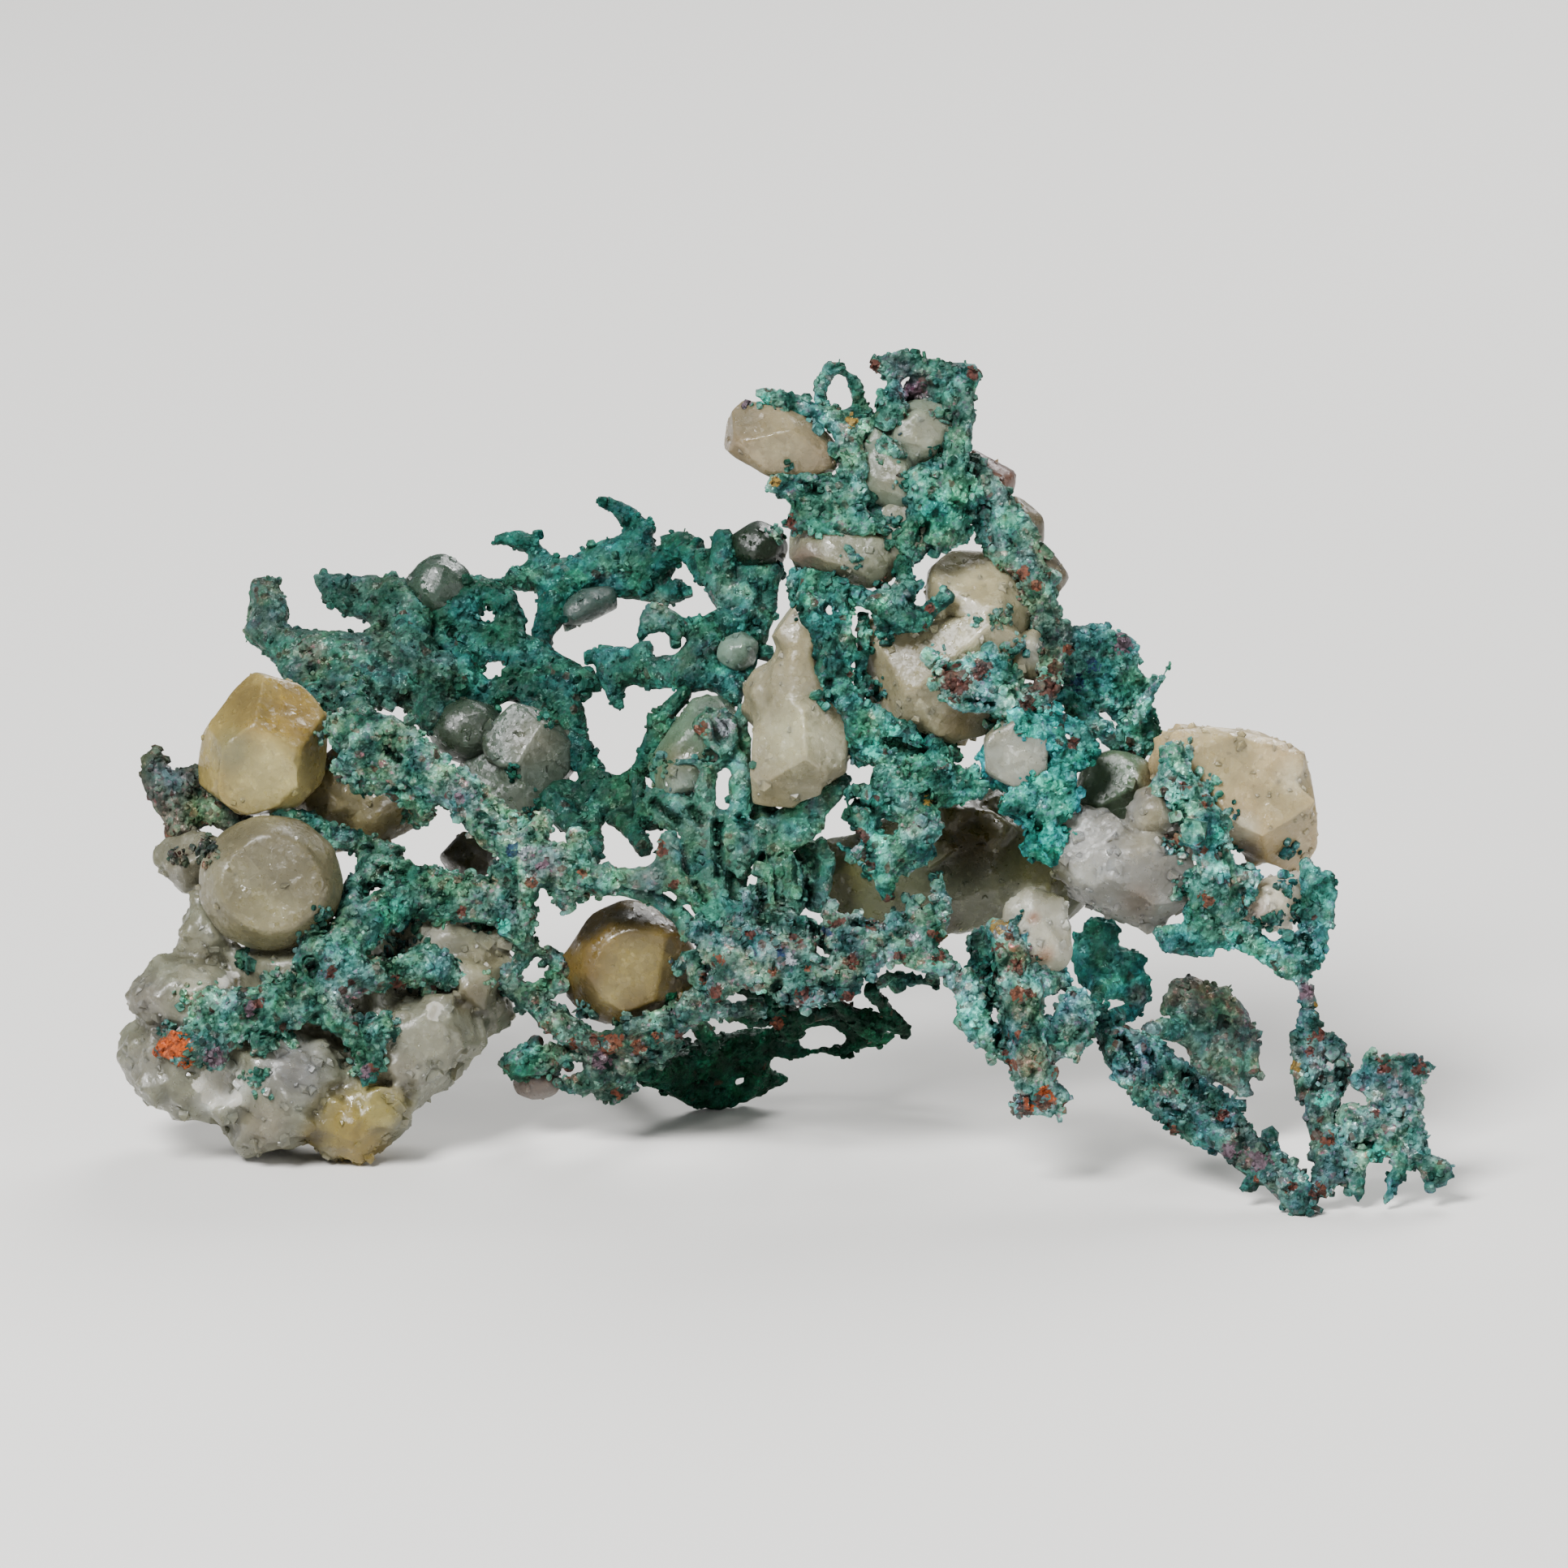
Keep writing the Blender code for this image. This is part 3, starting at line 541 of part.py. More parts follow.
def hull_mesh(name, grain, seed, grow=0.0):
    builder = bmesh.new()
    add_hull(builder, grain, seed, grow)
    bmesh.ops.recalc_face_normals(builder, faces=builder.faces)
    mesh = bpy.data.meshes.new(name)
    builder.to_mesh(mesh)
    builder.free()
    return mesh


def quartz_mesh(name, grains, cutters, grow=0.0):
    """One solid of grains that have grown together."""
    lumps = []
    for number, grain in enumerate(grains):
        lump = new_object(f"{name}_{number}", hull_mesh(name, grain, f"{name}{number}", grow), cutters)
        lumps.append(lump)
    for lump in lumps[1:]:
        join = lumps[0].modifiers.new("Join", "BOOLEAN")
        join.operation = "UNION"
        join.solver = "EXACT"
        join.object = lump
    mesh = baked(lumps[0])
    remove_all(lumps)
    return mesh


def strands_mesh(name, strands, leaves, cutters, grow=0.0):
    """Tapered round strands and thin leaves, each closed and not yet joined."""
    curve = bpy.data.curves.new(name, "CURVE")
    curve.dimensions = "3D"
    curve.bevel_depth = 1.0
    curve.bevel_resolution = 1
    curve.use_fill_caps = True
    for strand in strands:
        spline = curve.splines.new("POLY")
        spline.points.add(len(strand) - 1)
        for point, (x, u, d, radius) in zip(spline.points, strand):
            point.co = (*placed(x, u, d), 1.0)
            point.radius = radius + grow
    wires = new_object(name, curve, cutters)
    mesh = baked(wires)
    builder = bmesh.new()
    builder.from_mesh(mesh)
    for strand in strands:
        for x, u, d, radius in (strand[0], strand[-1]):
            end = bmesh.ops.create_icosphere(builder, subdivisions=1, radius=radius + grow)
            bmesh.ops.translate(builder, verts=end["verts"], vec=placed(x, u, d))
    for number, leaf in enumerate(leaves):
        add_hull(builder, leaf, f"{name}{number}", grow)
    bmesh.ops.remove_doubles(builder, verts=builder.verts, dist=0.001)
    bmesh.ops.recalc_face_normals(builder, faces=builder.faces)
    builder.to_mesh(mesh)
    builder.free()
    remove_all([wires])
    bpy.data.curves.remove(curve)
    return mesh


def remesh(piece, step):
    fuse = piece.modifiers.new("Fuse", "REMESH")
    fuse.mode = "VOXEL"
    fuse.voxel_size = step
    fuse.adaptivity = 0.0


def fused_mesh(name, mesh, cutters, step):
    piece = new_object(name, mesh, cutters)
    remesh(piece, step)
    fused = baked(piece)
    remove_all([piece])
    return fused


def tree_of(mesh):
    points = [v.co.copy() for v in mesh.vertices]
    faces = [tuple(f.vertices) for f in mesh.polygons]
    return BVHTree.FromPolygons(points, faces)


def cut_clear(name, mesh, hulls, cutters):
    """The mesh with room cut into it for every neighbour that it would touch."""
    piece = new_object(name, mesh, cutters)
    own_tree = tree_of(mesh)
    for neighbour, tree in hulls:
        if own_tree.overlap(tree):
            cut = piece.modifiers.new("Clear", "BOOLEAN")
            cut.operation = "DIFFERENCE"
            cut.solver = "EXACT"
            cut.object = neighbour
    cleared = baked(piece)
    remove_all([piece])
    return cleared


def largest_island(mesh):
    """Keeps the one connected body with the most faces."""
    builder = bmesh.new()
    builder.from_mesh(mesh)
    unseen = set(builder.verts)
    best = set()
    while unseen:
        start = unseen.pop()
        island = {start}
        edge_of = [start]
        while edge_of:
            vert = edge_of.pop()
            for edge in vert.link_edges:
                other = edge.other_vert(vert)
                if other in unseen:
                    unseen.discard(other)
                    island.add(other)
                    edge_of.append(other)
        best = max(best, island, key=len)
    bmesh.ops.delete(builder, geom=[v for v in builder.verts if v not in best], context="VERTS")
    builder.to_mesh(mesh)
    builder.free()
    return mesh


def thinned(name, mesh, triangles, cutters):
    """The mesh as about this many triangles."""
    piece = new_object(name, mesh, cutters)
    mesh.calc_loop_triangles()
    thin = piece.modifiers.new("Thin", "DECIMATE")
    thin.ratio = min(1.0, triangles / len(mesh.loop_triangles))
    thin.use_collapse_triangulate = True
    result = baked(piece)
    remove_all([piece])
    return result


def finished(name, mesh, colour, metallic, roughness, parts, floor):
    """The finished piece, its feet cut flat, with its own material."""
    piece = new_object(name, mesh, parts)
    if min(v.co.z for v in mesh.vertices) < FLOOR:
        feet = piece.modifiers.new("Feet", "BOOLEAN")
        feet.operation = "DIFFERENCE"
        feet.solver = "EXACT"
        feet.object = floor
        piece.data = baked(piece)
        piece.modifiers.clear()
    surface = bpy.data.materials.new(name)
    surface.use_nodes = True
    shader = surface.node_tree.nodes["Principled BSDF"]
    shader.inputs["Base Color"].default_value = colour
    shader.inputs["Metallic"].default_value = metallic
    shader.inputs["Roughness"].default_value = roughness
    surface.diffuse_color = colour
    piece.data.materials.clear()
    piece.data.materials.append(surface)
    piece.data.name = name
    return piece


def floor_cutter(cutters):
    """A slab below the resting surface."""
    bpy.ops.mesh.primitive_cube_add(size=100.0, location=(0.0, 0.0, FLOOR - 50.0))
    floor = bpy.context.active_object
    floor.name = "resting_surface"
    for collection in list(floor.users_collection):
        collection.objects.unlink(floor)
    cutters.objects.link(floor)
    return floor


def guard(name, mesh, cutters):
    """A swollen copy that keeps later pieces clear of this one."""
    return new_object(f"{name}_guard", mesh, cutters), tree_of(mesh)


def to_metres(pieces):
    """Moves the specimen to stand on the origin, in metres."""
    shift = Vector((MIDDLE_X, MIDDLE_Y, FLOOR))
    for piece in pieces:
        for vert in piece.data.vertices:
            vert.co = (vert.co - shift) * MM
        piece.data.update()


def main():
    for old in list(bpy.data.objects):
        bpy.data.objects.remove(old, do_unlink=True)
    scene = bpy.context.scene
    parts = bpy.data.collections.new("native_copper_on_quartz")
    cutters = bpy.data.collections.new("cutters")
    scene.collection.children.link(parts)
    scene.collection.children.link(cutters)
    floor = floor_cutter(cutters)
    guards = []
    pieces = []
    for name, colour, grains in QUARTZ:
        mesh = quartz_mesh(name, grains, cutters)
        mesh = largest_island(cut_clear(name, mesh, guards, cutters))
        if len(mesh.polygons) > TRIANGLES_PER_GRAIN:
            mesh = thinned(name, mesh, TRIANGLES_PER_GRAIN * len(grains) + 40, cutters)
        guards.append(guard(name, quartz_mesh(name, grains, cutters, GRAIN_GAP), cutters))
        pieces.append(finished(name, mesh, colour, 0.0, 0.35, parts, floor))
    for name, strands, leaves in COPPER:
        mesh = fused_mesh(name, strands_mesh(name, strands, leaves, cutters), cutters, FINE_STEP)
        mesh = fused_mesh(name, cut_clear(name, mesh, guards, cutters), cutters, FINE_STEP)
        mesh = thinned(name, largest_island(mesh), COPPER_TRIANGLES, cutters)
        swollen = strands_mesh(name, strands, leaves, cutters, GAP)
        guards.append(guard(name, fused_mesh(name, swollen, cutters, COARSE_STEP), cutters))
        pieces.append(finished(name, mesh, COPPER_GREEN, 0.6, 0.6, parts, floor))
    remove_all([cutter for cutter, tree in guards])
    to_metres(pieces)
    floor.display_type = "WIRE"
    floor.hide_render = True
    cutters.hide_render = True


main()
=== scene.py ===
# %% [markdown]
# # Native copper on quartz
# The specimen is a thicket of native copper that grew through a vein and closed round loose
# quartz grains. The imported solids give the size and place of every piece. This lesson dresses
# them: the copper becomes a crust of small crystals, and the quartz becomes weathered crystal.

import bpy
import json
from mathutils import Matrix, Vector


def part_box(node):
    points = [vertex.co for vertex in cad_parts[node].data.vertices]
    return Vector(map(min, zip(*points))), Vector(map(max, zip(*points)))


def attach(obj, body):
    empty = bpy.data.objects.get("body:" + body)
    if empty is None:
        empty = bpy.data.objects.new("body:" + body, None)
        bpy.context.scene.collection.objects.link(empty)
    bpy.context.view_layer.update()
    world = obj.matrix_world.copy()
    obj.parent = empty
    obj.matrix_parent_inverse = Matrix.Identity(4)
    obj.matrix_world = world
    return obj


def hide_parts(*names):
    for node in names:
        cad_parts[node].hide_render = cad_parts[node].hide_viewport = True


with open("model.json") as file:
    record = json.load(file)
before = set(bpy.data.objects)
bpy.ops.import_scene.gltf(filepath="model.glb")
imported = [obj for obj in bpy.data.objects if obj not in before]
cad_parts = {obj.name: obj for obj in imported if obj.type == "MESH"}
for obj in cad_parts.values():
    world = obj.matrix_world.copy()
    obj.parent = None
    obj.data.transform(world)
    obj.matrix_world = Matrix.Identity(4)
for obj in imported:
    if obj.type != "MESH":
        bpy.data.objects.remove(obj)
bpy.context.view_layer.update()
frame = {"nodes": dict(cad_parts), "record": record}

# %% [markdown]
# ## Where things are
# A macro photograph is taken along one line of sight, here 15 degrees down. It is easiest to
# say where a twig is by how far right (x) and up (u) it is seen and how deep (d) it lies, in
# millimetres. Two small functions turn that into the scene's metres and back. The other choice
# is to type metres along X, Y and Z, but then every twig has to be worked out twice.

# %% The line of sight
import json
import math

import bpy
import numpy as np
from mathutils import Vector
from mathutils.bvhtree import BVHTree

MM = 0.001
VIEW_TILT = math.radians(15.0)
EYE_DISTANCE = 500.0
MIDDLE_X, MIDDLE_Y, RESTING_LEVEL = -0.22, 3.14, -18.72
TOWARDS_EYE = Vector((0.0, -math.cos(VIEW_TILT), math.sin(VIEW_TILT)))


def seen_at(x, u, d):
    """The scene's place, in metres, of a point seen at (x, u) and d deep, in millimetres."""
    spread = 1.0 + d / EYE_DISTANCE
    away = u * spread * math.sin(VIEW_TILT) + d * math.cos(VIEW_TILT)
    height = u * spread * math.cos(VIEW_TILT) - d * math.sin(VIEW_TILT)
    return Vector(((x * spread - MIDDLE_X) * MM, (away - MIDDLE_Y) * MM, (height - RESTING_LEVEL) * MM))


def sight_of(points):
    """The x, u and d in millimetres of an array of places in metres."""
    across = points[:, 0] / MM + MIDDLE_X
    away = points[:, 1] / MM + MIDDLE_Y
    height = points[:, 2] / MM + RESTING_LEVEL
    d = away * math.cos(VIEW_TILT) - height * math.sin(VIEW_TILT)
    spread = 1.0 + d / EYE_DISTANCE
    u = (away * math.sin(VIEW_TILT) + height * math.cos(VIEW_TILT)) / spread
    return across / spread, u, d


print("the middle of the view is at", [round(v, 4) for v in seen_at(0, 0, 0)])

# %% [markdown]
# ## Working by hand, in code
# Every operator acts on what is selected, so one helper selects a single object, one copies a
# solid and closes its loose triangles, and one adds a modifier and applies it at once. Two
# more read a mesh as arrays, because a loop over every corner would take minutes.

# %% Helpers for one object at a time


def only(piece):
    """Selects this object and nothing else."""
    bpy.ops.object.select_all(action="DESELECT")
    piece.select_set(True)
    bpy.context.view_layer.objects.active = piece


def shaped(piece, kind, **settings):
    """Adds one modifier with these settings and applies it."""
    modifier = piece.modifiers.new(kind.title(), kind)
    for name, value in settings.items():
        setattr(modifier, name, value)
    only(piece)
    bpy.ops.object.modifier_apply(modifier=modifier.name)


def new_piece(name, mesh):
    """An object of this mesh, at the origin."""
    piece = bpy.data.objects.new(name, mesh)
    bpy.context.scene.collection.objects.link(piece)
    return piece


def copy_of_solid(node, name):
    """A merged copy of a solid, which itself stays as it is."""
    piece = new_piece(name, frame["nodes"][node].data.copy())
    piece.data.materials.clear()
    only(piece)
    bpy.ops.object.mode_set(mode="EDIT")
    bpy.ops.mesh.select_all(action="SELECT")
    bpy.ops.mesh.remove_doubles(threshold=0.002 * MM)
    bpy.ops.object.mode_set(mode="OBJECT")
    return piece


def joined(pieces):
    """All these objects as one, which keeps the first one's name."""
    only(pieces[0])
    for piece in pieces:
        piece.select_set(True)
    bpy.ops.object.join()
    return pieces[0]


def corners_of(mesh):
    """The places of a mesh's corners, one row each."""
    places = np.empty(len(mesh.vertices) * 3)
    mesh.vertices.foreach_get("co", places)
    return places.reshape(-1, 3)


def faces_of(mesh):
    """Middles, normals and areas of a mesh's faces."""
    count = len(mesh.polygons)
    middles, normals, areas = np.empty(count * 3), np.empty(count * 3), np.empty(count)
    mesh.polygons.foreach_get("center", middles)
    mesh.polygons.foreach_get("normal", normals)
    mesh.polygons.foreach_get("area", areas)
    return middles.reshape(-1, 3), normals.reshape(-1, 3), areas


def cloud(name, size, depth=2):
    """A lumpy pattern for the Displace modifier, with lumps of this size in millimetres."""
    pattern = bpy.data.textures.new(name, "CLOUDS")
    pattern.noise_scale = size * MM
    pattern.noise_depth = depth
    return pattern


SWELLS = cloud("swells", 1.5)
LUMPS = cloud("lumps", 0.7)
GRIT = cloud("grit", 0.26, 3)


def roughened(piece, *heights):
    """Lays the three sizes of lumps over a piece, by these heights in millimetres."""
    for pattern, height in zip((SWELLS, LUMPS, GRIT), heights):
        shaped(piece, "DISPLACE", texture=pattern, texture_coords="LOCAL", strength=height * MM,
               mid_level=0.5)


print("helpers are ready")

# %% [markdown]
# ## Colours
# A colour is easiest to judge as the eye sees it, on a scale to 255, but a shader adds up
# light, so `tint` turns one into the other. Each piece has a wash, its overall colour as it is
# seen, which holds painted light and shade along with its own colour. Some areas have another
# wash, spread softly, single crystals at known places are stained, and small holes are painted
# near-black as painted shade.

# %% Colours as seen


def tint(red, green, blue):
    """A colour on the scale of a picture, as the shader needs it."""
    steps = [value / 255.0 for value in (red, green, blue)]
    light = [s / 12.92 if s <= 0.04045 else ((s + 0.055) / 1.055) ** 2.4 for s in steps]
    return (*light, 1.0)


# Each piece's wash: it began near the average colour that the photo shows over the piece, and was
# then scaled, or set one by one, until the rendered piece came near to it
# So a wash holds painted light and shade as well as the piece's own colour: the shade of its recesses and its
# highlights, and on copper_bottom_rear, which lies low at the back in the shadow under the others, mostly
# painted shade.
WASHES = {
    "copper_bed": (94, 121, 109), "copper_bottom_band": (89, 105, 95), "copper_bottom_rear": (3, 55, 37),
    "copper_centre_cluster": (75, 121, 110), "copper_centre_column": (63, 108, 98),
    "copper_chain": (71, 101, 100), "copper_column": (55, 100, 91), "copper_crown_frame": (85, 121, 110),
    "copper_crown_left": (100, 131, 120), "copper_fist": (116, 141, 139), "copper_hanging": (89, 103, 102),
    "copper_leaf_cluster": (87, 119, 106), "copper_left_branch": (110, 133, 119),
    "copper_left_edge": (85, 74, 65), "copper_lower_centre": (109, 125, 119),
    "copper_middle_left": (45, 80, 67), "copper_prong_trunk": (108, 136, 133),
    "copper_prongs": (96, 122, 114),
    "copper_rear_dark": (39, 102, 97), "copper_rear_left": (64, 92, 82), "copper_rear_middle": (40, 83, 74),
    "copper_rear_piece": (105, 108, 100), "copper_red_patch": (121, 156, 146), "copper_ridge": (35, 86, 78),
    "copper_right_blob": (58, 145, 144), "copper_right_edge": (78, 120, 116),
    "copper_right_upper": (113, 149, 142), "copper_shoulder": (105, 151, 142),
    "copper_slope": (101, 118, 106),
    "quartz_brown_round": (114, 92, 46), "quartz_bottom_grey": (103, 89, 84),
    "quartz_centre_group": (158, 149, 123), "quartz_centre_point": (149, 140, 118),
    "quartz_column_side": (116, 141, 131), "quartz_column_top": (22, 39, 24),
    "quartz_crown_block": (136, 118, 94), "quartz_crown_low": (129, 130, 112),
    "quartz_crown_middle": (126, 137, 123), "quartz_hexagon": (164, 164, 156),
    "quartz_left_bed": (137, 135, 118), "quartz_left_round": (110, 102, 77),
    "quartz_left_slab": (126, 112, 78), "quartz_left_upper": (153, 133, 78),
    "quartz_prong": (208, 202, 188), "quartz_rear_brown": (83, 86, 52), "quartz_rear_dim": (48, 42, 14),
    "quartz_rear_grey": (43, 59, 47), "quartz_rear_pale": (87, 100, 90), "quartz_rear_top": (45, 66, 54),
    "quartz_ridge": (60, 80, 77), "quartz_right_block": (191, 166, 128),
    "quartz_right_clear": (160, 156, 154),
    "quartz_right_grey": (89, 108, 88), "quartz_right_low": (232, 220, 204),
    "quartz_slanted": (88, 109, 90),
    "quartz_slope_upper": (108, 77, 66), "quartz_slope_lower": (105, 95, 78), "quartz_olive": (104, 94, 60),
}
# Softer areas on the copper: x, u, how far they reach, and their wash, which was chosen one by one
# and scaled with the piece's
# Like the washes, the areas hold painted light and shade with the copper's own colour; the last three, dark
# and low under the middle, are mostly painted shade where the underside lies in shadow.
COPPER_AREAS = [
    (6.4, 19.3, .8, (127, 105, 112)), (5.6, 20.6, .7, (92, 98, 95)), (8.9, 18.5, .8, (100, 118, 108)),
    (7.6, 13.4, 1.1, (56, 126, 110)), (1.6, 13.4, 1.0, (91, 128, 112)), (3.4, 15.4, .8, (80, 118, 104)),
    (.4, 19.1, .6, (70, 114, 104)), (11.0, 12.9, .8, (87, 122, 107)), (13.4, 7.2, .8, (116, 114, 107)),
    (5.6, 9.2, .9, (96, 123, 116)), (3.4, 7.3, .6, (100, 133, 120)), (2.5, 5.6, .7, (56, 100, 90)),
    (4.6, 2.6, .9, (88, 141, 126)), (15.6, 6.2, 1.4, (70, 112, 106)), (16.8, 4.4, .9, (94, 147, 134)),
    (17.2, 2.6, .8, (81, 136, 127)), (8.4, 5.0, .8, (119, 125, 118)), (10.6, 5.2, .9, (97, 147, 136)),
    (12.2, 2.9, .8, (93, 172, 164)), (13.8, .4, .9, (76, 158, 154)), (12.6, -1.0, 1.1, (70, 142, 139)),
    (12.7, -3.2, .9, (46, 136, 127)), (14.6, 2.2, .7, (82, 132, 127)), (6.3, -1.5, 1.0, (96, 132, 122)),
    (7.0, -2.6, .9, (104, 130, 130)), (5.3, -3.8, .9, (82, 120, 112)), (9.0, -.4, .8, (92, 152, 134)),
    (-2.0, -2.8, .8, (93, 121, 110)), (-3.6, -5.0, .8, (97, 127, 115)), (-5.6, -3.4, .8, (115, 123, 119)),
    (-4.6, -2.0, .8, (97, 113, 98)), (-3.0, 2.6, .7, (123, 127, 121)), (-6.6, -4.8, .8, (113, 117, 115)),
    (-.3, -8.4, 1.0, (113, 121, 123)), (-2.6, -8.8, .9, (113, 125, 115)), (1.8, -9.4, .9, (105, 128, 117)),
    (11.8, -11.0, .9, (134, 128, 111)), (11.2, -8.6, .8, (128, 120, 101)),
    (12.3, -13.6, .9, (132, 120, 101)), (9.4, -11.4, .9, (93, 156, 147)),
    (9.9, -8.8, .8, (38, 101, 92)), (13.9, -11.6, .9, (101, 128, 129)), (16.2, -10.1, .9, (77, 153, 142)),
    (17.4, -10.4, .5, (99, 100, 94)), (15.2, -8.0, .9, (59, 111, 99)), (16.8, -8.5, .8, (68, 121, 113)),
    (20.2, -10.2, .9, (133, 112, 101)), (21.2, -12.4, 1.0, (97, 114, 106)),
    (19.2, -12.1, .8, (97, 138, 125)),
    (17.4, -13.9, .9, (95, 108, 115)), (19.6, -15.8, .9, (88, 112, 108)), (22.4, -17.9, 1.1, (91, 95, 97)),
    (24.6, -19.4, .9, (95, 108, 106)), (20.8, -2.2, .9, (108, 140, 136)), (21.4, -5.4, 1.0, (99, 134, 126)),
    (23.8, -8.2, .8, (82, 145, 135)), (26.2, -5.4, .8, (90, 135, 127)), (25.8, -10.2, .5, (122, 89, 95)),
    (25.9, -12.0, .8, (98, 130, 123)), (26.4, -16.5, .9, (92, 103, 102)),
    (29.6, -14.6, .9, (103, 116, 117)),
    (29.2, -18.1, .9, (112, 143, 137)), (32.2, -19.2, .8, (90, 112, 103)),
    (-20.6, 2.4, 1.0, (112, 132, 118)),
    (-18.4, 1.3, .9, (108, 126, 116)), (-16.0, -.8, .9, (108, 120, 121)),
    (-11.9, -4.0, .9, (108, 117, 118)),
    (-30.6, .2, .9, (102, 95, 93)), (-28.4, -1.4, .9, (82, 89, 68)), (-19.4, -6.2, 1.0, (50, 120, 107)),
    (-17.0, -5.0, 1.2, (82, 114, 101)), (-14.2, -5.9, .9, (106, 122, 111)),
    (-21.8, -8.2, 1.1, (93, 134, 121)),
    (-17.4, -9.0, .9, (93, 132, 123)), (-22.4, -10.6, .9, (106, 128, 119)),
    (-21.2, -10.8, .8, (123, 110, 109)),
    (-25.4, -11.6, .9, (93, 126, 113)), (-28.2, -11.0, 1.0, (97, 130, 117)),
    (-28.0, -13.2, .8, (106, 118, 119)),
    (-25.7, -14.4, .7, (84, 120, 108)), (-12.9, -13.6, .9, (85, 132, 121)),
    (-8.6, -13.4, 1.0, (110, 109, 99)),
    (-6.2, -12.6, .8, (101, 116, 108)), (-12.2, -9.2, 1.0, (64, 92, 80)),
    (-3.4, -11.2, .8, (106, 121, 108)),
    (-25.4, 8.6, 1.2, (86, 97, 91)), (-23.4, 6.2, .8, (109, 106, 93)), (-20.4, 7.0, 1.0, (86, 103, 91)),
    (-8.4, 11.4, 1.4, (63, 112, 104)), (-12.6, 10.4, .9, (61, 105, 96)), (-2.6, 9.4, .9, (88, 119, 114)),
    (-6.2, 8.4, .8, (108, 127, 120)), (-4.6, 6.4, .9, (84, 106, 101)), (7.0, -12.4, .8, (10, 88, 65)),
    (4.9, -12.6, .6, (25, 104, 74)), (-2.4, -15.4, 1.0, (24, 88, 65)),
]
